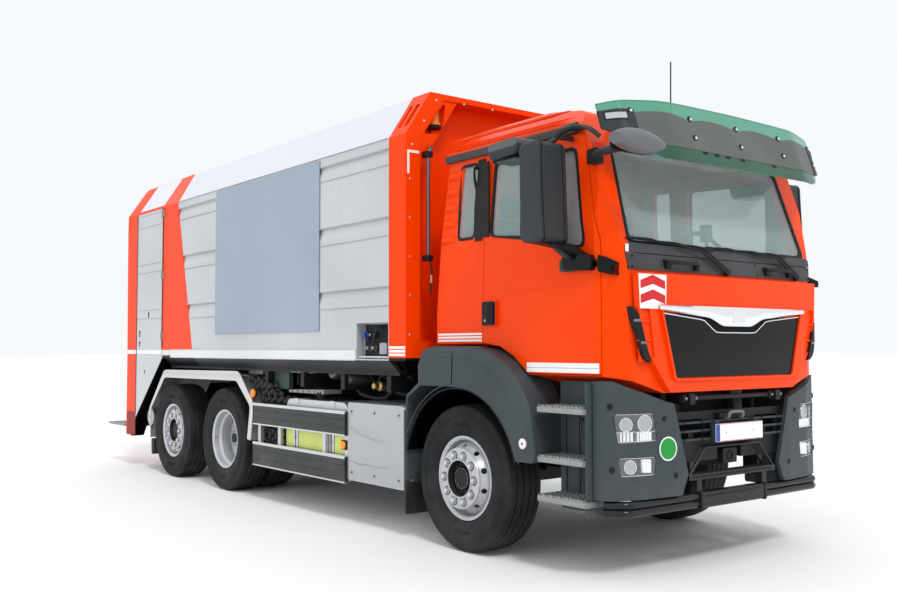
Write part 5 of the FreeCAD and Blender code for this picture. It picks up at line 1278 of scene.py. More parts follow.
# ---- sun visor, mirrors and roof ----
VISOR_PLAN = rounded([(0.0, -1.56), (0.7, -1.56, 0.3), (1.05, -1.47, 0.12), (1.118, -1.345), (1.1181, -1.33)],
    8)
VISOR_TOP = [(0.0, 3.028), (0.5, 3.022), (0.8, 3.012), (0.98, 2.996), (1.07, 2.985), (1.118, 2.975)]
VISOR_FOOT = [(0.0, 2.622), (0.86, 2.628), (0.94, 2.66), (0.985, 2.74), (1.05, 2.82), (1.118, 2.89)]
VISOR_LEAN = 0.32
BAND_SCREWS = (-0.98, -0.49, 0.0, 0.49, 0.98)


def visor_point(x, z, proud=0.0):
    """Point of the sun visor, which leans back as it rises."""
    return (x, level(VISOR_PLAN, abs(x)) + (z - 2.68) * VISOR_LEAN - proud, z)


def visor_sheet(piece, columns, top, foot, proud, thick, name, rows=6):
    """Sheet on the face of the visor between two heights that depend on x."""
    made = []
    for r in range(rows + 1):
        made.append([visor_point(x, foot(x) + (top(x) - foot(x)) * r / rows, proud) for x in columns])
    piece.sheet(made, (0, thick, 0), name)


def visor_corner(band, side):
    """Marker lamp and struts at one end of the visor."""
    edge = [side * x for x in (0.955, 0.985, 1.01, 1.035, 1.055, 1.075, 1.09, 1.1, 1.108, 1.114, 1.118)]
    visor_sheet(band, edge, lambda x: 2.936 - 0.1 * max(0, abs(x) - 1.05),
        lambda x: 2.715 + max(0, abs(x) - 1.0) * 0.8, 0.008, 0.018, "mirror_shell", 5)
    visor_sheet(band, [side * x for x in (1.01, 1.03, 1.05, 1.07, 1.085, 1.098, 1.106)], lambda x: 2.92,
        lambda x: 2.862, 0.01, 0.004, "matt_black", 2)
    visor_sheet(band, [side * x for x in (1.018, 1.035, 1.05, 1.07, 1.085, 1.095, 1.101)], lambda x: 2.912,
        lambda x: 2.872, 0.0125, 0.006, "clear_lamp", 2)
    for x, y in ((0.27, -1.484), (0.8, -1.444)):
        band.box((side * x - 0.012, side * x + 0.012), (y, cab_front(x, 2.9) + 0.004), (2.889, 2.913),
            "matt_black")
        band.prism("x", [(y - 0.01, 2.865), (y + 0.004, 2.865), (y + 0.024, 2.935), (y + 0.01, 2.935)],
            side * x - 0.02, side * x + 0.02, "matt_black")


class TRUCK_OT_sun_visor(bpy.types.Operator):
    """Build the tinted sun visor with its band, screws, marker lamps and struts"""

    bl_idname = "truck.sun_visor"
    bl_label = "Sun visor"

    def execute(self, context):
        shade = Piece("visor_shade")
        ends = [-1.118, -1.114, -1.108, -1.1, -1.09, -1.075, -1.05]
        columns = ends + spread(-1.02, 1.02, 60) + [-x for x in reversed(ends)]
        visor_sheet(shade, columns, lambda x: level(VISOR_TOP, abs(x)), lambda x: level(VISOR_FOOT, abs(x)),
            0.0, 0.006, "visor_green")
        rim = [visor_point(x, level(VISOR_TOP, abs(x)), -0.003) for x in columns]
        shade.tube(rim, 0.0045, "visor_green", 6, 1)
        shade.done("cab", ["sun_visor"])
        band = Piece("visor_band")
        arch = 0.49
        visor_sheet(band, spread(-0.995, 0.995, 96), lambda x: 2.902 + 0.04 * abs(sin(pi * x / arch)) ** 0.6,
            lambda x: 2.712 + 0.01 * (abs(x) > 0.93), 0.0035, 0.003, "band_grey", 4)
        for x in BAND_SCREWS:
            for z in (2.925, 2.795):
                start = Vector(visor_point(x, z, 0.003))
                band.turn([(0, 0.022), (0.004, 0.021), (0.006, 0.012), (0.006, 0)], start, (0, -1, 0.1),
                    "matt_black", 20)
                band.turn([(0.004, 0.012), (0.013, 0.01), (0.014, 0)], start, (0, -1, 0.1), "chrome", 6)
        for side in (1, -1):
            visor_corner(band, side)
        visor_sheet(band, spread(-0.9, 0.9, 40), lambda x: 2.712, lambda x: 2.626 + 0.03
            * max(0, abs(x) - 0.82) / 0.08, 0.001, 0.008, "strip_green", 2)
        for x in (-0.42, -0.3, -0.18, -0.02, 0.34):
            spot = visor_point(x, 2.7, 0.001)
            band.box((x - 0.022, x + 0.022), (spot[1] - 0.003, spot[1] + 0.01), (2.69, 2.708), "matt_black")
        band.done("cab", bevel=0.0006)
        return {"FINISHED"}


def side_mirror(side, name):
    """Glasses, joints and foot of the mirror on one side."""
    glass_piece = Piece("mirror_glass_" + name)
    for low, high in ((2.36, 2.7), (2.15, 2.335)):
        glass_piece.plate("y", (side * 1.215, side * 1.425), (low, high), (-0.9, -0.886), "mirror_glass",
            0.03)
        glass_piece.plate("y", (side * 1.205, side * 1.435), (low - 0.01, high + 0.01), (-0.905, -0.888),
            "matt_black", 0.035)
    glass_piece.done("door_" + name, bevel=0.0015)
    shell = Piece("mirror_joints_" + name)
    for x in (1.408, 1.232):
        ring = rounded([(-1.088, 2.098, 0.04), (-0.898, 2.108, 0.04), (-0.888, 2.742, 0.04),
            (-1.062, 2.752, 0.04)])
        inner = [(-0.98 + (y + 0.98) * 0.985, 2.425 + (z - 2.425) * 0.996) for y, z in ring]
        shell.stack([[(side * (x + d), y, z) for y, z in line] for line, d in ((ring, -0.002), (ring, 0.002),
            (inner, 0.002), (inner, -0.002))], "void_black", closed=True)
    crease = flip(side, [(1.408, -1.0885, 2.14), (1.412, -1.083, 2.42), (1.408, -1.066, 2.71)])
    shell.tube(crease, 0.004, "mirror_shell", 8, 6, lambda t: 0.3 + 0.7 * sin(pi * t))
    shell.prism("x", [(-0.842, 2.752, 0.02), (-0.842, 2.808, 0.03), (-0.56, 2.79, 0.03),
        (-0.56, 2.742, 0.02)], side * 1.198, side * 1.4215, "band_grey")
    shell.plate("z", (side * 1.215, side * 1.405), (-0.825, -0.575), (2.672, 2.684), "gloss_black", 0.02)
    shell.stack([flip(side, ring) for ring in (((1.19, -0.925, 2.112), (1.42, -0.925, 2.112),
        (1.42, -1.05, 2.106), (1.19, -1.06, 2.106)), ((1.15, -0.975, 2.085), (1.3, -0.985, 2.088),
        (1.29, -1.1, 2.082), (1.15, -1.12, 2.08)), ((1.128, -1.08, 2.035), (1.17, -1.085, 2.04),
        (1.168, -1.2, 2.03), (1.128, -1.205, 2.025)))], "matt_black")
    shell.tube(flip(side, [(1.1, -1.11, 2.852), (1.14, -1.06, 2.856), (1.2, -1.01, 2.82),
        (1.24, -0.99, 2.76)]), 0.017, "matt_black", 10, 5)
    shell.prism("x", [(-1.225, 1.928, 0.02), (-1.252, 1.97, 0.02), (-1.225, 2.028, 0.02),
        (-1.075, 2.058, 0.03), (-0.99, 2.03, 0.02), (-1.0, 1.945, 0.02)], side * 1.105, side * 1.168,
        "gloss_black")
    shell.done("door_" + name, bevel=0.003)
    pod = Piece("mirror_foot_" + name)
    rows = []
    for y, z0, z1, out in ((-1.266, 1.918, 2.024, 0.036), (-1.29, 1.908, 2.012, 0.036),
            (-1.32, 1.9, 1.996, 0.032), (-1.352, 1.896, 1.975, 0.024), (-1.385, 1.896, 1.945, 0.012)):
        line = []
        for k, z in enumerate(spread(z0, z1, 6)):
            spot = side_skin("cab_shell", side, y, z)
            line.append(spot + Vector((side * out * (0.55 + 0.45 * sin(pi * k / 6)), -out * 0.4, 0)))
        rows.append(line)
    pod.sheet(rows, (-side * 0.05, 0.02, 0), "gloss_black")
    pod.done("cab", bevel=0.003)


class TRUCK_OT_mirrors(bpy.types.Operator):
    """Build the mirror glasses, their housings' joints, brackets and the door pods"""

    bl_idname = "truck.mirrors"
    bl_label = "Mirror details"

    def execute(self, context):
        for side, name in SIDES:
            side_mirror(side, name)
        lozenge = Piece("front_mirror_shell")
        rings = []
        for k in range(17):
            t = k / 16
            x = -1.402 + 0.384 * t
            half = 0.076 * sin(pi * min(1.0, 0.06 + t * 0.9)) ** 0.45
            lift = 2.655 + 0.004 * sin(pi * t)
            rings.append([(x, -1.674 + 0.075 * cos(a) * (0.5 + 0.5 * half / 0.076),
                lift + half * (sin(a) + 0.25 * cos(a))) for a in (2 * pi * i / 24 for i in range(24))])
        lozenge.stack(rings, "pod_grey")
        lozenge.plate("y", (-1.372, -1.05), (2.6, 2.705), (-1.612, -1.598), "matt_black", 0.04)
        lozenge.tube([(-1.06, -1.14, 2.65), (-1.15, -1.3, 2.655), (-1.18, -1.42, 2.652),
            (-1.18, -1.64, 2.652)], 0.026, "mirror_shell", 14, 6)
        lozenge.prism("x", [(-1.2, 2.69, 0.01), (-1.28, 2.7, 0.01), (-1.28, 2.6, 0.01), (-1.2, 2.6, 0.01)],
            -1.15, -1.08, "matt_black")
        lozenge.done("cab", ["front_mirror"], bevel=0.002)
        return {"FINISHED"}


def side_strip(piece, node, side, ends, z0, z1, proud, thick, name, steps=6):
    """Strip on the side skin between two places along y."""
    rows = [[side_skin(node, side, y, z) + Vector((side * proud, 0, 0))
        for y in spread(ends[0], ends[1], steps)] for z in (z0, z1)]
    piece.sheet(rows, (-side * thick, 0, 0), name)


def pillar_panel(piece, node, side, ends, low, high):
    """Black panel on the pillar between the side windows, straight in its height."""
    foot, head = (side_skin(node, side, sum(ends) / 2, z).x * side for z in (low, high))
    rows = [[(side * (foot + (head - foot) * t + 0.009), y, low + (high - low) * t) for y in ends]
        for t in spread(0.0, 1.0, 6)]
    piece.sheet(rows, (-side * 0.012, 0, 0), "matt_black")


def side_ring(piece, node, side, corners, wide, proud, thick, name):
    """Frame round an opening in the side, on the skin just outside it."""
    dense = parted(corners, 6)
    middle_y = sum(p[0] for p in corners) / len(corners)
    middle_z = sum(p[1] for p in corners) / len(corners)
    rings = []
    for grow, drop in ((wide, 0.0), (wide, thick), (-0.012, thick), (-0.012, -0.0)):
        ring = []
        for y, z in dense:
            dy, dz = y - middle_y, z - middle_z
            far = max(abs(dy), abs(dz), 0.001)
            skin = side_skin(node, side, y + dy / far * 0.02, z + dz / far * 0.02)
            ring.append((skin.x + side * (proud - drop), y + dy / far * grow, z + dz / far * grow))
        rings.append(ring)
    piece.stack(rings, name, closed=True)


def cab_side(side, name):
    """Trim of one door and of the cab behind it."""
    door = Piece("door_trim_" + name)
    side_ring(door, "door_" + name, side, rounded([(-1.152, 2.08, 0.05), (-1.047, 2.735, 0.06),
        (-0.25, 2.765, 0.05), (-0.23, 2.235, 0.05), (-0.6, 2.19, 0.2)], 3), 0.01, 0.004, 0.012, "matt_black")
    pillar_panel(door, "door_" + name, side, (-0.219, -0.1445), 2.235, 2.775)
    side_strip(door, "door_" + name, side, (-1.252, -0.6), 1.287, 1.35, 0.0025, 0.003, "white_mark", 24)
    side_strip(door, "door_" + name, side, (-1.252, -0.602), 1.316, 1.319, 0.0031, 0.002, "handle_grey", 24)
    line = [side_skin("door_" + name, side, y, 1.842) for y in spread(-1.245, -0.155, 12)]
    door.tube([p + Vector((side * -0.002, 0, 0)) for p in line], 0.006, "cab_paint", 8, 1)
    door.plate("x", (-0.3, -0.155), (1.605, 1.775), (side * 1.121, side * 1.1435), "matt_black", 0.015)
    door.plate("x", (-0.285, -0.225), (1.62, 1.762), (side * 1.14, side * 1.15), "gloss_black", 0.012)
    door.turn([(0, 0.011), (0.003, 0.01), (0.003, 0)], (side * 1.1435, -0.19, 1.64), (side, 0, 0), "steel",
        16)
    door.done("door_" + name, bevel=0.0012)
    flank = Piece("cab_side_trim_" + name)
    side_ring(flank, "cab_shell", side, rounded([(-0.05, 2.24, 0.04), (-0.05, 2.79, 0.04), (0.14, 2.79, 0.04),
        (0.14, 2.24, 0.04)], 3), 0.009, 0.004, 0.012, "matt_black")
    pillar_panel(flank, "cab_shell", side, (-0.1385, -0.06), 2.215, 2.81)
    for k in range(5):
        z = 2.258 + k * 0.118
        ends = (0.175 - k * 0.01, 0.335 - k * 0.012)
        rows = []
        for dz, proud in ((-0.042, 0.001), (-0.018, 0.02), (0.006, 0.022), (0.02, 0.016), (0.034, 0.001)):
            rows.append([side_skin("cab_shell", side, y, z) + Vector((side * (proud if 0 < i < 6 else 0.001),
                0, dz)) for i, y in enumerate(spread(ends[0], ends[1], 6))])
        flank.sheet(rows, (-side * 0.006, 0, 0), "cab_paint")
    for z in (1.494, 1.517, 1.54):
        side_strip(flank, "cab_shell", side, (-0.128, 0.385), z, z + 0.015, 0.0018, 0.002, "white_mark")
    flank.prism("y", flip(side, [(1.056, 2.834, 0.008), (1.056, 2.906, 0.008), (1.092, 2.908, 0.01),
        (1.112, 2.88, 0.01), (1.11, 2.834, 0.006)]), -1.054, 0.304, "scuttle_grey")
    flank.tube(flip(side, [(1.108, -1.05, 2.876), (1.08, -1.15, 2.85), (1.045, -1.215, 2.79)]), 0.016,
        "scuttle_grey", 10, 6)
    for z in (2.936, 2.966, 2.996):
        line = [side_skin("cab_roof", side, y, z) for y in spread(-0.98, 0.26, 14)]
        flank.tube([p + Vector((-side * 0.004, 0, 0)) for p in line], 0.013, "cab_paint", 8, 1,
            lambda t: min(1.0, 0.25 + 6 * min(t, 1 - t)))
    flank.done("cab", bevel=0.0012)


class TRUCK_OT_cab_sides(bpy.types.Operator):
    """Build the window frames, door handles, ribs, gutters and strips of the cab's sides"""

    bl_idname = "truck.cab_sides"
    bl_label = "Cab sides"

    def execute(self, context):
        for side, name in SIDES:
            cab_side(side, name)
        return {"FINISHED"}


# ---- interior ----
SEAT_X = 0.6
# piece, y and z of its middle, its three half edges, and how far its faces swell
PADS = (("seat_cushion_", -0.22, 1.762, ((0.245, 0, 0), (0, 0.255, 0), (0, 0, 0.058)), 0.25),
    ("seat_back_", 0.068, 2.13, ((0.24, 0, 0), (0, 0.04, 0.29), (0, -0.062, 0.008)), 0.25),
    ("head_rest_", 0.11, 2.52, ((0.13, 0, 0), (0, 0.01, 0.075), (0, -0.045, 0.006)), 0.3))


def pad(name, centre, half, crown, body="cab"):
    """Stuffed pad: crowned faces, sides drawn in between the corners, a piping seam round the edge."""
    piece = Piece(name)
    count = 12
    rings = []
    for level_share in (-1.0, -0.8, -0.35, 0.0, 0.35, 0.8, 1.0):
        ring = []
        for k in range(4 * count):
            edge, share = divmod(k, count)
            s = -1 + 2 * share / count
            u, v = ((s, -1), (1, s), (-s, 1), (-1, -s))[edge]
            long_way = (1 - 0.05 * (1 - s * s)) * (1.0 if abs(level_share) < 0.9 else 0.86)
            round_u = u * sqrt(1 - v * v * 0.18) * long_way
            round_v = v * sqrt(1 - u * u * 0.18) * long_way
            ring.append(tuple(Vector(centre) + Vector(half[0]) * round_u + Vector(half[1]) * round_v
                + Vector(half[2]) * level_share))
        rings.append(ring)
    for side in (1, -1):
        cap = []
        for scale in (0.62, 0.34, 0.1):
            cap.append([tuple(Vector(centre) + (Vector(p) - Vector(centre) - Vector(half[2]) * side) * scale
                / 0.86 + Vector(half[2]) * side * (1 + crown * (1 - scale ** 2)))
                for p in rings[-1 if side > 0 else 0]])
        rings = rings + cap if side > 0 else cap[::-1] + rings
    piece.stack(rings, "pad_cloth")
    made = piece.done(body, subdivide=1)
    return made


class TRUCK_OT_interior(bpy.types.Operator):
    """Build the padded seats, the instrument panel and the steering wheel of the cab"""

    bl_idname = "truck.interior"
    bl_label = "Cab interior"

    def execute(self, context):
        seats = Piece("seat_frames")
        for side in (1, -1):
            x = SEAT_X * side
            seats.plate("z", (x - 0.2, x + 0.2), (-0.42, 0.02), (1.56, 1.69), "interior_dark", 0.04)
            seats.prism("x", [(0.045, 1.7, 0.02), (0.085, 1.7, 0.02), (0.19, 2.42, 0.02),
                (0.155, 2.43, 0.02)], x - 0.19, x + 0.19, "interior_dark")
            for rod in (-0.05, 0.05):
                seats.tube([(x + rod, 0.155, 2.38), (x + rod, 0.175, 2.52)], 0.008, "steel", 8, 1)
        seats.done("cab", ["seats"], bevel=0.006)
        for side, name in SIDES:
            x = SEAT_X * side
            for place, y, z, half, crown in PADS:
                pad(place + name, (x, y, z), half, crown)
        desk = Piece("instrument_panel")
        for x0, x1, rise in ((-1.02, 0.26, 0.0), (0.26, 0.95, 0.028)):
            desk.prism("x", [(-1.335, 1.66), (-0.98, 1.66, 0.02), (-0.93, 1.9, 0.04),
                (-0.985, 2.02 + rise, 0.04), (-1.12, 2.055 + rise, 0.06), (-1.335, 2.062)], x0, x1,
                "cabin_teal")
        for x in (-0.75, -0.35, 0.05):
            desk.prism("x", [(-0.944, 1.93, 0.01), (-0.975, 1.998, 0.01), (-1.01, 2.0), (-0.99, 1.92)],
                x - 0.07, x + 0.07, "interior_dark")
        desk.prism("x", [(-1.0, 2.03), (-0.965, 1.95), (-0.955, 1.96), (-0.985, 2.052, 0.01)], 0.4, 0.8,
            "interior_dark")
        desk.tube([(0.6, -1.02, 1.96), (0.6, -0.93, 2.04), (0.6, -0.83, 2.12)], 0.04, "interior_dark", 16, 4)
        desk.done("cab", ["dashboard"], bevel=0.006)
        wheel = Piece("steering_rim")
        centre, tilt = Vector((SEAT_X, -0.8, 2.15)), radians(56)
        across, up = Vector((1, 0, 0)), Vector((0, cos(tilt), sin(tilt)))
        lift = across.cross(up)
        spots = [Vector(spot) for spot in circle(centre, across, up, 0.225, 40)]
        wheel.stack([circle(spot, (spot - centre).normalized(), lift, 0.017, 10) for spot in spots],
            "interior_dark", closed=True)
        wheel.prism("x", [(-0.865, 2.155, 0.02), (-0.83, 2.075, 0.02), (-0.765, 2.115, 0.02),
            (-0.805, 2.2, 0.02)], 0.52, 0.68, "interior_dark")
        for turned in (20, 160, 270):
            a = radians(turned)
            spoke = across * cos(a) + up * sin(a)
            wheel.slab(centre + spoke * 0.12, spoke * 0.1, spoke.cross(lift) * 0.018, lift * 0.006,
                "interior_dark")
        wheel.box((-0.035, 0.045), (-1.25, -1.2), (2.18, 2.3), "interior_dark")
        wheel.tube([(0.0, -1.215, 2.06), (0.005, -1.225, 2.12), (0.005, -1.225, 2.2)], 0.012, "interior_dark",
            8, 3)
        wheel.done("cab", bevel=0.004)
        return {"FINISHED"}


# ---- load body ----
BODY_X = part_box("body_shell")[1][0]
GROOVE_EDGES = (3.02, 2.89, 2.48, 2.33, 1.93, 1.78)


def screw_row(piece, spots, axis, radius=0.009, name="steel"):
    """Button-headed screws or rivets at the given spots."""
    for spot in spots:
        piece.turn([(0, radius), (0.003, radius * 0.9), (0.005, radius * 0.5), (0.005, 0)], spot, axis, name,
            12)


def body_side(side, name):
    """Sign panel, rails and seams of one side."""
    outward = (side, 0, 0)
    face = side * BODY_X
    sign = Piece("sign_panel_" + name)
    sign.plate("x", (1.89, 4.02), (1.59, 3.088), (face + side * 0.0005, face + side * 0.004), "sign_metal",
        0.015)
    spots = [(y, z) for z in (1.605, 3.073) for y in spread(1.95, 3.96, 9)]
    spots += [(y, z) for y in (1.905, 4.005) for z in spread(1.75, 2.95, 5)]
    screw_row(sign, [(face + side * 0.004, y, z) for y, z in spots], outward, 0.005)
    sign.done("chassis", bevel=0.0008)
    rail = Piece("body_rail_" + name)
    start = 1.3 if side < 0 else 0.83
    rail.prism("x", [(start, 1.352), (5.205, 1.352), (5.225, 1.432), (start, 1.432)], face + side * 0.0005,
        face + side * 0.0035, "rail_white")
    gate = touch("rear_portal", (side * BESIDE_X, 5.33, 1.4), (-side, 0, 0))
    gate = gate.x if gate else face
    rail.box((gate, gate + side * 0.003), (5.228, 5.446), (1.372, 1.432), "rail_white")
    for z in (1.35, 1.434):
        rail.tube([(face + side * 0.001, y, z) for y in (start, 3.2, 5.215)], 0.005, "satin_rail", 6, 2)
    for z in GROOVE_EDGES:
        rail.tube([(face - side * 0.001, y, z) for y in (0.835, 2.5, 4.605 + (z - 1.37) * 0.259)], 0.0035,
            "seam_grey", 6, 1)
    rail.tube([(face - side * 0.001, y, 3.102) for y in (0.835, 2.5, 5.045)], 0.004, "seam_grey", 6, 1)
    for y in (1.55, 1.72, 4.22, 4.42):
        screw_row(rail, [(face, y, z) for z in (1.5, 1.66, 2.05, 2.25, 2.6, 2.8)], outward, 0.0045,
            "satin_rail")
    rail.done("chassis")


class TRUCK_OT_body_sides(bpy.types.Operator):
    """Build the sign panels, rails, seams and rivets of the load body"""

    bl_idname = "truck.body_sides"
    bl_label = "Load body sides"

    def execute(self, context):
        for side, name in SIDES:
            body_side(side, name)
        return {"FINISHED"}


class TRUCK_OT_niche(bpy.types.Operator):
    """Build the valves, hoses and knob in the niche of the body's side"""

    bl_idname = "truck.niche"
    bl_label = "Side niche"

    def execute(self, context):
        niche = Piece("niche_valves")
        back = -1.186
        niche.box((back - 0.01, back), (0.85, 1.275), (1.372, 1.64), "frame_paint")
        niche.box((-1.262, back - 0.01), (0.85, 1.27), (1.372, 1.384), "satin_rail")
        niche.prism("x", [(0.9, 1.4, 0.01), (1.0, 1.4, 0.01), (1.0, 1.49, 0.02), (0.9, 1.49, 0.02)],
            back - 0.055, back - 0.01, "seam_grey")
        niche.turn([(0, 0.03), (0.02, 0.03), (0.024, 0.022), (0.04, 0.022), (0.045, 0.015), (0.045, 0)],
            (back - 0.012, 1.235, 1.555), (-1, 0, 0), "blue_mark", 24)
        for y, z, size in ((1.075, 1.45, 0.028), (1.155, 1.45, 0.028), (1.115, 1.555, 0.022)):
            niche.turn([(0, size), (0.035, size), (0.04, size * 0.6), (0.06, size * 0.6), (0.06, 0)],
                (back - 0.01, y, z), (-1, 0, 0), "hub_steel", 20)
            niche.bolt((back - 0.07, y, z), (-1, 0, 0), size * 0.4, 0.008)
        for start, end in (((1.075, 1.478), (0.985, 1.6)), ((1.155, 1.478), (1.235, 1.52)),
                ((1.115, 1.577), (1.035, 1.62))):
            niche.tube([(back - 0.045, start[0], start[1] - 0.02), (back - 0.06, start[0], start[1] + 0.035),
                (back - 0.05, (start[0] + end[0]) / 2, end[1] + 0.01), (back - 0.03, end[0], end[1])], 0.009,
                "hose_black", 8, 5)
        niche.done("chassis", bevel=0.0015)
        return {"FINISHED"}


class TRUCK_OT_portals(bpy.types.Operator):
    """Build the pipe, beacon, screws, strips and marks of the orange portals"""

    bl_idname = "truck.portals"
    bl_label = "Portal fittings"

    def execute(self, context):
        front = Piece("portal_fittings")
        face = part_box("front_portal")[1][0]
        for side in (1, -1):
            for z in (1.386, 1.414, 1.442):
                front.box((side * face, side * (face + 0.0018)), (0.598, 0.812), (z, z + 0.02), "white_mark")
            for z in (1.62, 2.02, 2.42, 2.82, 3.05):
                screw_row(front, [(side * face, 0.64, z), (side * face, 0.78, z)], (side, 0, 0), 0.007,
                    "cab_paint")
            spots = [(side * x, 0.59, z) for x, z in ((1.235, 1.55), (1.235, 1.85), (1.235, 2.15),
                (1.235, 2.45), (1.235, 2.75), (1.215, 3.02), (1.1, 3.22), (0.98, 3.4), (0.7, 3.41),
                (0.4, 3.41))]
            screw_row(front, spots, AHEAD, 0.01, "satin_rail")
            front.box((side * 1.15, side * 1.262), (0.5865, 0.59), (2.955, 2.975), "white_mark")
            front.box((side * 1.242, side * 1.262), (0.5865, 0.59), (2.79, 2.955), "white_mark")
        pipe_x = -1.09
        front.tube([(pipe_x, 0.552, 2.12), (pipe_x, 0.55, 2.4), (pipe_x, 0.55, 2.9),
            (pipe_x + 0.02, 0.555, 2.99), (pipe_x + 0.06, 0.585, 3.02)], 0.016, "pipe_grey", 12, 6)
        for z in (2.95, 2.14):
            front.prism("z", [(pipe_x - 0.03, 0.522, 0.01), (pipe_x + 0.03, 0.522, 0.01),
                (pipe_x + 0.03, 0.592), (pipe_x - 0.03, 0.592)], z - 0.022, z + 0.022, "matt_black")
        front.tube([(pipe_x + 0.028, 0.56, 2.12), (pipe_x + 0.034, 0.548, 2.02),
            (pipe_x + 0.02, 0.552, 1.87)], 0.007, "hose_black", 8, 5)
        front.turn([(-0.03, 0.012), (0.03, 0.012), (0.034, 0.008), (0.034, 0)], (pipe_x + 0.03, 0.552, 1.98),
            UP, "brass", 16)
        for x in (-0.93, 0.93):
            front.turn([(0.0, 0.06), (0.02, 0.06), (0.024, 0.052), (0.03, 0.05), (0.11, 0.046), (0.128, 0.03),
                (0.132, 0)], (x, 0.7, 3.22), UP, "amber", 32)
            front.turn([(-0.012, 0.066), (0.01, 0.066), (0.012, 0.06), (0.012, 0)], (x, 0.7, 3.212), UP,
                "matt_black", 32)
        front.done("chassis", bevel=0.001)
        return {"FINISHED"}


# ---- tailgate ----
TAIL_SILVER = [(5.468, 1.4335), (5.468, 3.08), (6.276, 3.08), (6.276, 1.4335)]
TAIL_FOOT = [(5.456, 1.3825), (6.276, 1.3825), (6.276, 0.618), (5.456, 1.34)]


def tailgate_side(side, name, face):
    """Silver panel and rear lamps of one side."""
    outward = (side, 0, 0)
    x = side * face
    proud = x + side * 0.003
    panel = Piece("tailgate_panel_" + name)
    panel.prism("x", [(y, z, 0.006) for y, z in TAIL_SILVER], x, proud, "body_paint")
    for z in (3.05, 2.905, 2.455, 2.355, 1.905, 1.805):
        panel.tube([(proud, y, z) for y in (5.5, 5.87, 6.25)], 0.004, "seam_grey", 6, 1)
    panel.prism("x", [(y, z, 0.004) for y, z in TAIL_FOOT], x, proud, "gate_silver")
    for y, heights in ((5.468, (1.452, 2.2, 3.08)), (6.276, (0.665, 2.0, 3.08))):
        panel.tube([(proud, y, z) for z in heights], 0.006, "seam_dark", 6, 1)
    panel.box((x, x + side * 0.0018), (5.47, 6.59), (1.384, 1.432), "white_mark")
    panel.plate("x", (6.29, 6.58), (0.4, 0.68), (x, x + side * 0.002), "dark_red", 0.01)
    for y, z, size in ((5.886, 1.862, 0.02), (6.17, 1.645, 0.022), (6.17, 1.52, 0.02), (5.997, 1.18, 0.014)):
        panel.turn([(0.002, size), (0.005, size), (0.006, size * 0.8), (0.0045, size * 0.7), (0.0045, 0)],
            (x, y, z), outward, "matt_black", 24)
        panel.box((x, x + side * 0.005), (y - size * 0.55, y + size * 0.55), (z - size * 2.4, z - size * 0.6),
            "matt_black")
    for z in (3.02, 2.3, 1.6):
        panel.prism("z", [(x + side * 0.016, 5.44), (x + side * 0.016, 5.49, 0.004), (x, 5.5), (x, 5.44)],
            z - 0.045, z + 0.045, "seam_grey")
        panel.turn([(-0.05, 0.01), (0.05, 0.01), (0.05, 0)], (x + side * 0.01, 5.452, z), (0, 0, 1),
            "hub_steel", 12)
    # painted shadow: the no-gloss black sheet and block under the tailgate's sloped foot stand in for the
    # shade beneath it
    under = [(5.452, 1.352), (5.86, 0.99), (6.268, 0.63), (6.452, 0.388)]
    panel.sheet([[(x - side * d, y - 0.004, z - 0.004) for y, z in under] for d in (0.004, 0.075, 0.15)],
        (0, 0.004, 0.004), "void_black")
    panel.prism("x", [(5.452, 1.34), (6.268, 0.618), (6.452, 0.38), (6.4, 0.38), (6.22, 0.6), (5.44, 1.3)],
        x - side * 0.15, x - side * 0.01, "void_black")
    # the sheets on the tailgate's upper slope carry the roof finish, which is painted sky light
    panel.sheet([[(side * (1.2745 - (z - 3.1) / 0.36 * 0.235 + 0.0035), y, z + 0.0025)
        for y in spread(5.468, 6.225, 6)] for z in spread(3.112, 3.452, 4)], (-side * 0.003, 0, -0.002),
        "roof_paint")
    panel.sheet([[(side * px, y, 3.463) for y in spread(5.468, 6.215, 4)] for px in (0.3, 1.034)],
        (0, 0, -0.003), "roof_paint")
    for y in (5.52, 6.23):
        screw_row(panel, [(proud, y, z) for z in spread(1.6, 2.95, 7)], outward, 0.006)
    panel.done("tailgate", bevel=0.0008)
    lamps = Piece("rear_lamps_" + name)
    back = 6.605
    for z0, z1, lenses in ((1.235, 1.535, ("red_lens", "amber", "clear_lamp_solid", "red_lens")),
            (2.96, 3.08, ("red_lens",))):
        spot = gate_skin(side * 1.18, (z0 + z1) / 2)
        back = spot.y if spot else back
        lamps.plate("y", (side * 1.125, side * 1.245), (z0, z1), (back, back + 0.02), "matt_black", 0.015)
        for k, tint in enumerate(lenses):
            centre = (side * 1.185, back + 0.018, z0 + (z1 - z0) * (k + 0.5) / len(lenses))
            lamps.turn([(0, 0.05), (0.016, 0.05), (0.022, 0.044), (0.025, 0.03), (0.025, 0)], centre,
                (0, 1, 0), tint, 28)
    lamps.done("tailgate", bevel=0.0015)


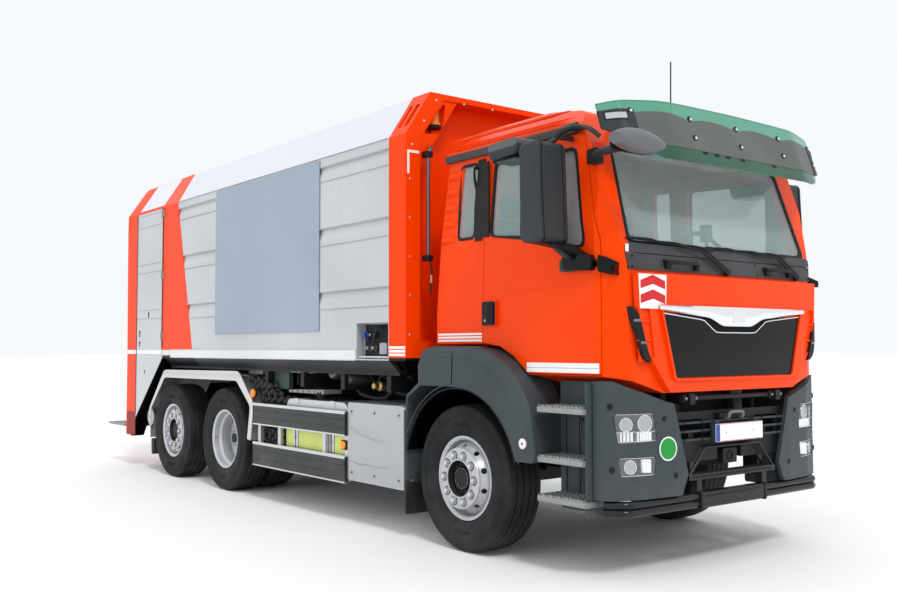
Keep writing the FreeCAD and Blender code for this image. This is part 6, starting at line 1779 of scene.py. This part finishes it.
class TRUCK_OT_tailgate(bpy.types.Operator):
    """Build the silver side panels, lamps, hinges, strips and rear fittings of the tailgate"""

    bl_idname = "truck.tailgate"
    bl_label = "Tailgate fittings"

    def execute(self, context):
        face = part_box("tailgate")[1][0]
        for side, name in SIDES:
            tailgate_side(side, name, face)
        rear = Piece("tailgate_rear_fittings")
        for x in (-0.95, -0.32, 0.32, 0.95):
            spot = gate_skin(x, 2.95)
            if spot:
                rear.prism("x", [(spot.y - 0.002, 2.86, 0.01), (spot.y + 0.022, 2.9, 0.01),
                    (spot.y + 0.022, 3.0, 0.01), (spot.y - 0.002, 3.04, 0.01)], x - 0.03, x + 0.03,
                    "hub_steel")
        for side in (1, -1):
            for k, z in enumerate(spread(1.55, 2.45, 5)):
                spot = gate_skin(side * 1.2, z)
                if spot:
                    tint = "red_mark" if k % 2 else "white_mark"
                    rear.prism("y", flip(side, [(1.15, z), (1.25, z + 0.06), (1.25, z + 0.16),
                        (1.15, z + 0.1)]), spot.y, spot.y + 0.0018, tint)
        spot = gate_skin(0.0, 2.95)
        if spot:
            rear.plate("y", (-0.26, 0.26), (2.88, 3.0), (spot.y, spot.y + 0.006), "white_mark", 0.006)
            rear.box((-0.2, 0.2), (spot.y, spot.y + 0.03), (3.02, 3.04), "matt_black")
        rear.done("tailgate", bevel=0.0012)
        return {"FINISHED"}


# ---- mudguards and steps ----
def front_guard(side, name):
    """Liner, seams, marker and flap of one front mudguard."""
    guard = Piece("mudguard_details_" + name)
    angles = [radians(a) for a in spread(14, 166, 38)]
    # the liner under the arch is a no-gloss black sheet: a dark liner, and painted shade under the arch as
    # well
    guard.sheet([[(side * x, 0.634 * cos(a), AXLE_Z + 0.634 * sin(a)) for a in angles]
        for x in (0.56, 0.9, 1.236)], (0, 0, 0.004), "void_black")
    for radius, thick, first, tint in ((0.672, 0.005, 2, "plastic"), (0.64, 0.006, 0, "matt_black")):
        guard.tube([(side * 1.2475, radius * cos(a), AXLE_Z + radius * sin(a)) for a in angles[first:]],
            thick, tint, 8, 1)
    seam = [(1.2505, 0.06, 1.185), (1.2505, 0.055, 1.3), (1.25, 0.05, 1.4), (1.235, 0.048, 1.445),
        (1.205, 0.048, 1.4625), (1.1, 0.048, 1.463), (0.96, 0.048, 1.463)]
    guard.tube(flip(side, seam), 0.0035, "void_black", 6, 3)
    fold = [(0.445, 1.3), (0.2, 1.372), (0.06, 1.385), (-0.1, 1.375), (-0.28, 1.33), (-0.42, 1.245),
        (-0.53, 1.13), (-0.62, 0.985), (-0.665, 0.86)]
    guard.tube([(side * 1.249, y, z) for y, z in fold], 0.006, "plastic", 8, 5,
        lambda t: 0.3 + 0.7 * sin(pi * t))
    for profile, tint, steps, closed in (([(0, 0.036), (0.006, 0.036), (0.01, 0.03), (0.01, 0)], "white_mark",
            32, False), ([(0.006, 0.0385), (0.008, 0.0385), (0.008, 0.0345), (0.006, 0.0345)], "lamp_grey",
            32, True), ([(0.01, 0.01), (0.0115, 0.009), (0.0115, 0)], "red_mark", 12, False)):
        guard.turn(profile, (side * 1.25, -0.7, 0.822), (side, 0, 0), tint, steps, closed)
    outline = [(1.228, 0.44)]
    for k in range(15):
        outline += [(1.228, 0.436 - k * 0.016), (1.236, 0.43 - k * 0.016), (1.228, 0.424 - k * 0.016)]
    outline = flip(side, outline + [(1.228, 0.186), (0.945, 0.186), (0.945, 0.44)])
    for y in (0.6385, 0.6565):
        guard.prism("y", outline, y, y + 0.004, "hose_black")
    guard.box((side * 1.2272, side * 1.2295), (0.6385, 0.6605), (0.188, 0.44), "hose_black")
    guard.box((side * 0.96, side * 1.21), (0.634, 0.6385), (0.425, 0.45), "plastic")
    screw_row(guard, [(side * x, 0.634, 0.438) for x in (0.99, 1.085, 1.18)], AHEAD, 0.009)
    guard.done("chassis", bevel=0.0006)


class TRUCK_OT_front_guards(bpy.types.Operator):
    """Build the liners, seams, markers and flaps of the front mudguards"""

    bl_idname = "truck.front_guards"
    bl_label = "Front mudguard details"

    def execute(self, context):
        for side, name in SIDES:
            front_guard(side, name)
        return {"FINISHED"}


def entry_steps(side, name):
    """Toothed treads and hooks of one side."""
    steps = Piece("step_treads_" + name)
    for top, front in ((1.07, -1.212), (0.75, -1.205), (0.5, -1.225)):
        for x0, x1 in ((1.006, 1.022), (1.05, 1.06), (1.095, 1.105), (1.14, 1.15), (1.198, 1.214)):
            outline = [(front + 0.004, top), (-0.803, top)]
            count = 12
            pitch = (-0.803 - front - 0.004) / count
            for k in range(count, 0, -1):
                y = front + 0.004 + k * pitch
                outline += [(y - pitch * 0.15, top + 0.011), (y - pitch * 0.62, top + 0.011),
                    (y - pitch * 0.8, top + 0.002)]
            steps.prism("x", outline, side * x0, side * x1, "galvanised")
        for y in spread(front + 0.016, -0.816, 6):
            steps.box((side * 1.006, side * 1.214), (y - 0.006, y + 0.006), (top - 0.002, top + 0.008),
                "galvanised")
        steps.prism("y", flip(side, [(1.2145, top - 0.038), (1.2185, top - 0.034, 0.004),
            (1.2185, top - 0.004, 0.004), (1.2145, top)]), front + 0.002, -0.8, "galvanised")
        steps.box((side * 1.006, side * 1.216), (front - 0.0025, front + 0.001), (top - 0.037, top - 0.001),
            "galvanised")
    for z in (0.93, 0.64):
        steps.tube(flip(side, [(1.012, -1.02, z + 0.055), (1.035, -1.022, z + 0.06),
            (1.046, -1.026, z + 0.02), (1.044, -1.03, z - 0.04), (1.04, -1.045, z - 0.062)]), 0.006,
            "plastic", 8, 5)
    for y in (-1.13, -0.98, -0.86):
        steps.box((side * 1.0105, side * 1.02), (y - 0.004, y + 0.004), (0.52, 1.03), "plastic")
    steps.done("chassis", bevel=0.0006)


class TRUCK_OT_steps(bpy.types.Operator):
    """Build the toothed treads and the hooks of the entry steps"""

    bl_idname = "truck.steps"
    bl_label = "Entry steps"

    def execute(self, context):
        for side, name in SIDES:
            entry_steps(side, name)
        return {"FINISHED"}


def tandem_guard(side, name):
    """Ribs, markers and flap of one tandem mudguard."""
    outward = (side, 0, 0)
    guard = Piece("tandem_details_" + name)
    for y in spread(3.62, 5.36, 44):
        for x in (0.7, 0.84, 0.98, 1.12):
            turn = 1 if (round(y * 25) + round(x * 7)) % 2 else -1
            guard.slab((side * x, y, 1.1735), Vector((0.03, turn * 0.012, 0)),
                Vector((-turn * 0.0016, 0.004, 0)), Vector((0, 0, 0.0022)), "chequer")
    for y in spread(3.5, 5.46, 60):
        guard.box((side * 1.2495, side * 1.2525), (y - 0.004, y + 0.004), (1.15, 1.196), "chequer")
    marker = (side * 1.225, 3.235, 1.01)
    guard.turn([(-0.01, 0.042), (0.01, 0.042), (0.016, 0.034), (0.018, 0)], marker, outward, "amber", 28)
    guard.turn([(-0.02, 0.047), (-0.004, 0.047), (-0.004, 0)], marker, outward, "matt_black", 28)
    guard.turn([(0, 0.1), (0.003, 0.1), (0.004, 0.094), (0.004, 0)], (side * 1.2405, 5.87, 0.64), outward,
        "seam_grey", 40)
    guard.turn([(0.004, 0.02), (0.01, 0.018), (0.01, 0)], (side * 1.2405, 5.87, 0.64), outward, "steel", 20)
    guard.prism("x", [(5.828, 0.385, 0.01), (5.915, 0.385, 0.01), (5.9, 0.2, 0.02), (5.85, 0.2, 0.02)],
        side * 0.66, side * 1.215, "hose_black")
    guard.done("chassis", bevel=0.0006)


class TRUCK_OT_rear_guards(bpy.types.Operator):
    """Build the ribs, markers and flaps of the tandem mudguards"""

    bl_idname = "truck.rear_guards"
    bl_label = "Tandem mudguard details"

    def execute(self, context):
        for side, name in SIDES:
            tandem_guard(side, name)
        return {"FINISHED"}


# ---- chassis sides ----
def guard_planks(side, name, ends):
    """Planks, caps and marker of one side guard."""
    outward = (side, 0, 0)
    guard = Piece("guard_planks_" + name)
    for z0, z1 in ((0.72, 0.92), (0.33, 0.55)):
        guard.box((side * 1.2495, side * 1.2515), (ends[0] + 0.003, ends[1] - 0.003),
            (z0 + 0.004, z1 - 0.004), "guard_green")
        for k in range(3):
            a = z0 + 0.003 + (z1 - z0 - 0.006) * k / 3
            b = z0 + 0.003 + (z1 - z0 - 0.006) * (k + 1) / 3
            guard.prism("z", flip(side, [(1.2495, ends[0] + 0.004, 0.004), (1.2555, ends[0] + 0.012, 0.006),
                (1.2555, ends[1] - 0.012, 0.006), (1.2495, ends[1] - 0.004, 0.004)]), a + 0.0012, b - 0.0012,
                "guard_green")
        guard.prism("x", [(ends[0] + 0.002, z1 - 0.022, 0.008), (ends[1] - 0.002, z1 - 0.022, 0.008),
            (ends[1] - 0.002, z1 + 0.004, 0.006), (ends[0] + 0.002, z1 + 0.004, 0.006)], side * 1.22,
            side * 1.2575, "satin_rail")
        guard.plate("x", (ends[0] + 0.002, ends[1] - 0.002), (z0 - 0.003, z0 + 0.01),
            (side * 1.22, side * 1.2565), "satin_rail", 0.006)
        for y in (ends[0] - 0.001, ends[1] - 0.007):
            guard.prism("x", [(y, z0 + 0.004, 0.02), (y + 0.008, z0 + 0.004), (y + 0.008, z1 - 0.004),
                (y, z1 - 0.004, 0.02)], side * 1.222, side * 1.2575, "hose_black")
        for y in (1.52, 1.885, ends[1] - 0.48, ends[1] - 0.08):
            screw_row(guard, [(side * 1.2555, y, z) for z in (z0 + 0.06, z1 - 0.06)], outward, 0.01,
                "hub_steel")
    spot = (side * 1.236, 1.545, 0.64)
    guard.plate("x", (1.5, 1.59), (0.6, 0.68), (side * 1.2, side * 1.232), "matt_black", 0.01)
    guard.turn([(0, 0.034), (0.01, 0.034), (0.016, 0.026), (0.018, 0)], spot, outward, "amber", 28)
    guard.done("chassis", bevel=0.0012)


class TRUCK_OT_side_guards(bpy.types.Operator):
    """Build the dark planks with their caps, the markers and the straps of the side guards"""

    bl_idname = "truck.side_guards"
    bl_label = "Side guards"

    def execute(self, context):
        low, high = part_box("side_guards")
        ends = (low[1] - AXLE_Y, high[1] - AXLE_Y)
        for side, name in SIDES:
            guard_planks(side, name, ends)
        return {"FINISHED"}


def box_cover(side, name):
    """Pressed cover of the locker on one side."""
    outward = (side, 0, 0)
    cover = Piece("box_cover_" + name)
    x = side * 1.235
    cover.plate("x", (0.672, 1.478), (0.362, 0.998), (x, x + side * 0.0025), "cover_silver", 0.03)
    for z in (0.43, 0.93):
        for y in (0.735, 1.075, 1.415):
            cover.turn([(0.0025, 0.03), (0.005, 0.027), (0.0035, 0.02), (0.003, 0)], (x, y, z), outward,
                "cover_silver", 24)
            cover.turn([(0.003, 0.009), (0.009, 0.008), (0.01, 0)], (x, y, z - 0.002), outward, "hub_steel",
                6)
    for start, run, top, fall, rate, least, profile in ((1.44, 0.54, 0.8, 0.085, 5, 0.4,
            ((-0.034, 0.0), (-0.02, 0.01), (0.012, 0.014), (0.026, 0.0))),
            (1.42, 0.56, 0.53, 0.0, 6, 0.5, ((-0.03, 0.0), (-0.016, 0.012), (0.016, 0.012), (0.03, 0.0)))):
        rows = []
        for t in spread(0.0, 1.0, 16):
            swell = min(1.0, rate * t, rate * (1 - t))
            rows.append([(x + side * (0.0022 + rise * swell), start - run * t,
                top - fall * t + drop * (least + (1 - least) * swell)) for drop, rise in profile])
        cover.sheet(rows, (-side * 0.002, 0, 0), "cover_silver")
    cover.done("chassis", bevel=0.0008)


class TRUCK_OT_tank_and_boxes(bpy.types.Operator):
    """Build the tank's straps, cap and reflective faces, and the pressed covers of the boxes"""

    bl_idname = "truck.tank_and_boxes"
    bl_label = "Tank and boxes"

    def execute(self, context):
        tank = Piece("tank_fittings")
        face = -1.18
        for y0, y1 in ((1.575, 1.772), (1.862, 2.395), (2.492, 2.628)):
            tank.plate("x", (y0, y1), (0.552, 0.715), (face - 0.0005, face - 0.004), "reflector", 0.01)
        for y in (1.78, 2.41):
            tank.prism("z", [(face - 0.008, y - 0.004, 0.003), (face - 0.012, y + 0.004, 0.003),
                (face - 0.012, y + 0.066, 0.003), (face - 0.008, y + 0.074, 0.003)], 0.5, 0.905, "satin_rail")
            tank.tube([(face - 0.007, y + 0.035, 0.52), (face - 0.007, y + 0.035, 0.88),
                (face + 0.035, y + 0.035, 0.975), (face + 0.12, y + 0.035, 0.996), (-0.9, y + 0.035, 0.996),
                (-0.66, y + 0.035, 0.994)], 0.008, "hose_black", 8, 5)
            tank.bolt((face - 0.012, y + 0.035, 0.64), (-1, 0, 0), 0.01, 0.012)
        tank.turn([(-0.01, 0.05), (0.03, 0.05), (0.034, 0.058), (0.058, 0.058), (0.064, 0.05), (0.064, 0)],
            (-1.05, 2.2, 0.985), UP, "matt_black", 32)
        for k in range(5):
            y = 1.9 + k * 0.1
            tank.tube([(-1.12, y, 0.985), (-0.98, y + 0.01, 1.004), (-0.8, y + 0.03, 0.995)], 0.011,
                "hose_black", 8, 4)
        tank.done("chassis", bevel=0.001)
        for side, name in SIDES:
            box_cover(side, name)
        return {"FINISHED"}


def underbody_side(side, name):
    """Boxes, valves, hoses and chains of one side."""
    outward = (side, 0, 0)
    gear = Piece("underbody_" + name)
    x = side * 1.1
    inner = side * 0.95
    gear.plate("y", (inner, x), (1.19, 1.338), (3.285, 3.59), "cover_silver", 0.01)
    gear.prism("x", [(2.77, 1.06, 0.02), (3.25, 1.06, 0.02), (3.25, 1.34), (2.77, 1.34)], side * 1.04,
        side * 1.085, "panel_green")
    gear.plate("y", (inner, x), (1.222, 1.338), (2.36, 2.72), "white_mark", 0.01)
    for y in (2.42, 2.66):
        gear.turn([(0, 0.018), (0.004, 0.016), (0.004, 0)], (x, y, 1.285), outward, "hub_steel", 16)
    for k in range(4):
        y = 2.46 + k * 0.055
        gear.tube(flip(side, [(1.06, y, 1.222), (1.065, y + 0.004, 1.16), (1.05, y + 0.03, 1.11),
            (0.98, y + 0.07, 1.08)]), 0.009, "hose_black", 8, 5)
    gear.prism("x", [(2.12, 1.035, 0.01), (2.76, 1.035, 0.01), (2.76, 1.06, 0.01), (2.12, 1.075, 0.01)],
        side * 0.9, side * 1.09, "seam_grey")
    for y in spread(2.18, 2.7, 5):
        gear.bolt((side * 1.09, y, 1.05), outward, 0.01, 0.012)
    for y, z, length_x in ((1.985, 1.235, 0.13), (1.7, 1.19, 0.16)):
        gear.turn([(-length_x, 0.05), (-length_x * 0.9, 0.062), (length_x * 0.7, 0.062),
            (length_x * 0.85, 0.05), (length_x * 0.85, 0)], (side * 0.98, y, z), outward, "pipe_grey", 28)
        gear.turn([(length_x * 0.85, 0.02), (length_x * 0.85 + 0.02, 0.018), (length_x * 0.85 + 0.02, 0)],
            (side * 0.98, y, z), outward, "hub_steel", 16)
    for k, (y0, y1, z0) in enumerate(((0.86, 1.5, 1.26), (0.95, 1.6, 1.2), (0.8, 1.25, 1.15), (1.3, 2.0, 1.3),
            (1.15, 1.75, 1.1), (2.0, 2.9, 1.315), (0.9, 1.85, 1.31))):
        gear.tube(flip(side, [(0.92 + 0.02 * k, y0, z0), (1.02 - 0.01 * k, y0 + (y1 - y0) * 0.3, z0 - 0.07),
            (1.0 + 0.01 * k, y0 + (y1 - y0) * 0.65, z0 - 0.05), (0.9 + 0.02 * k, y1, z0 + 0.01)]),
            0.013 + 0.002 * (k % 3), "hose_black", 10, 6)
    gear.turn([(-0.05, 0.03), (-0.03, 0.044), (0.02, 0.044), (0.035, 0.026), (0.075, 0.026), (0.08, 0.018),
        (0.08, 0)], (side * 1.03, 1.29, 1.135), outward, "brass", 24)
    gear.tube(flip(side, [(1.05, 1.29, 1.17), (1.06, 1.24, 1.22), (1.0, 1.15, 1.26)]), 0.01, "hose_black", 8,
        5)
    for row, (y0, y1, z, count) in enumerate(((2.92, 3.16, 1.02, 4), (2.66, 3.16, 0.95, 8),
            (3.2, 3.46, 1.125, 4), (2.72, 3.14, 0.64, 7), (2.72, 3.14, 0.585, 7), (3.02, 3.3, 1.075, 5))):
        for k, y in enumerate(spread(y0, y1, count)):
            for lean in (-1, 1):
                gear.turn([(-0.036, 0.02), (-0.022, 0.034), (0.022, 0.034), (0.036, 0.02), (0.036, 0)],
                    (side * (1.1 + 0.02 * lean), y + 0.012 * lean, z + (0.014 if (k + row) % 2 else -0.01)),
                    (side * 0.9, 0.35 * lean, 0.25), "chain_black", 12)
    # painted shade: a no-gloss black block behind the stored chains stands in for the shadow under the body
    gear.prism("x", [(2.66, 0.56, 0.02), (3.18, 0.56, 0.02), (3.3, 1.1, 0.02), (2.9, 1.1, 0.02),
        (2.66, 0.9, 0.02)], side * 0.9, side * 1.06, "void_black")
    gear.done("chassis", bevel=0.001)


class TRUCK_OT_underbody(bpy.types.Operator):
    """Build the boxes, valves, hoses, tanks and chains between the body and the chassis"""

    bl_idname = "truck.underbody"
    bl_label = "Underbody fittings"

    def execute(self, context):
        for side, name in reversed(SIDES):
            underbody_side(side, name)
        rails = Piece("frame_bolts")
        for side in (1, -1):
            for y in spread(0.95, 5.35, 22):
                for z in (0.745, 0.905):
                    rails.bolt((side * 0.4325, y, z), (side, 0, 0), 0.01, 0.01, "frame_paint")
        rails.tube([(0.36, -0.9, 0.9), (0.36, 0.5, 0.915), (0.37, 2.0, 0.9), (0.36, 3.4, 0.915)], 0.014,
            "hose_black", 8, 6)
        rails.tube([(-0.36, -0.8, 0.9), (-0.37, 0.8, 0.915), (-0.36, 2.6, 0.9), (-0.36, 4.9, 0.915)], 0.014,
            "hose_black", 8, 6)
        rails.done("chassis")
        return {"FINISHED"}


# ---- stage ----
FLOOR_HALF = 200
CAMERA_PLACE = (-5.548, -5.446, 1.45)
# yaw, pitch and roll in degrees
CAMERA_TURNS = (-37.82, 3.05, -0.14)
# name, share of the key light's strength, direction in degrees, spread in degrees
SUNS = (("key", 1.0, (42.0, 0.0, -20.0), 10.0), ("fill", 0.25, (60.0, 0.0, -80.0), 50.0))


class TRUCK_OT_stage(bpy.types.Operator):
    """Set the floor, the lights and the camera"""

    bl_idname = "truck.stage"
    bl_label = "Stage"

    def execute(self, context):
        scene = context.scene
        stage = scene.truck_stage
        floor = bpy.data.meshes.new("floor")
        floor.from_pydata([(a * FLOOR_HALF, b * FLOOR_HALF, 0) for a, b in ((-1, -1), (1, -1), (1, 1),
            (-1, 1))], [], [(0, 1, 2, 3)])
        ground = bpy.data.objects.new("floor", floor)
        scene.collection.objects.link(ground)
        shade = Shade("floor")
        pale = shade.mix(shade.noise(0.8, 2.0), (0.9, 0.9, 0.9), (0.93, 0.93, 0.93))
        floor.materials.append(shade.finish(Base_Color=pale, Roughness=0.9))
        world = bpy.data.worlds.new("surround")
        world.use_nodes = True
        back = world.node_tree.nodes["Background"]
        back.inputs["Color"].default_value = (0.96, 0.98, 1.0, 1.0)
        back.inputs["Strength"].default_value = stage.sky
        scene.world = world
        for name, share, aim, angle in SUNS:
            light = bpy.data.lights.new(name, "SUN")
            light.energy = stage.sun * share
            light.angle = radians(angle)
            lamp = bpy.data.objects.new(name, light)
            lamp.rotation_euler = [radians(a) for a in aim]
            scene.collection.objects.link(lamp)
        lens = bpy.data.cameras.new("camera")
        lens.lens = stage.lens
        lens.sensor_width = 36.0
        lens.clip_end = 500.0
        camera = bpy.data.objects.new("camera", lens)
        yaw, pitch, roll = (radians(a) for a in CAMERA_TURNS)
        turn = Matrix.Rotation(yaw, 4, "Z") @ Matrix.Rotation(pi / 2 + pitch, 4, "X") @ Matrix.Rotation(roll,
            4, "Z")
        camera.matrix_world = Matrix.Translation(at(*CAMERA_PLACE)) @ turn
        scene.collection.objects.link(camera)
        scene.camera = camera
        scene.view_settings.view_transform = "Standard"
        return {"FINISHED"}


# ---- add-on ----
GROUPS = (("truck_colours", TruckColours), ("truck_sizes", TruckSizes), ("truck_stage", TruckStage))
OPERATORS = (TRUCK_OT_frame_finishes, TRUCK_OT_wheels, TRUCK_OT_front_panel, TRUCK_OT_screen_foot,
    TRUCK_OT_bumper_lamps, TRUCK_OT_sun_visor, TRUCK_OT_mirrors, TRUCK_OT_cab_sides, TRUCK_OT_interior,
    TRUCK_OT_body_sides, TRUCK_OT_niche, TRUCK_OT_portals, TRUCK_OT_tailgate, TRUCK_OT_front_guards,
    TRUCK_OT_steps, TRUCK_OT_rear_guards, TRUCK_OT_side_guards, TRUCK_OT_tank_and_boxes, TRUCK_OT_underbody,
    TRUCK_OT_stage)


class TRUCK_PT_panel(bpy.types.Panel):
    """Lists the settings and the steps of the garbage truck"""

    bl_idname = "TRUCK_PT_panel"
    bl_label = "Garbage truck"
    bl_space_type = "VIEW_3D"
    bl_region_type = "UI"
    bl_category = "Garbage truck"

    def draw(self, context):
        for name, group in GROUPS:
            held = getattr(context.scene, name)
            for key in group.__annotations__:
                self.layout.prop(held, key)
        for step in OPERATORS:
            self.layout.operator(step.bl_idname)


def register():
    for name, group in GROUPS:
        bpy.utils.register_class(group)
        setattr(bpy.types.Scene, name, PointerProperty(type=group))
    for step in OPERATORS:
        bpy.utils.register_class(step)
    bpy.utils.register_class(TRUCK_PT_panel)


def unregister():
    bpy.utils.unregister_class(TRUCK_PT_panel)
    for step in reversed(OPERATORS):
        bpy.utils.unregister_class(step)
    for name, group in reversed(GROUPS):
        delattr(bpy.types.Scene, name)
        bpy.utils.unregister_class(group)


def main():
    register()
    for step in OPERATORS:
        family, name = step.bl_idname.split(".")
        getattr(getattr(bpy.ops, family), name)()


if __name__ == "__main__":
    main()
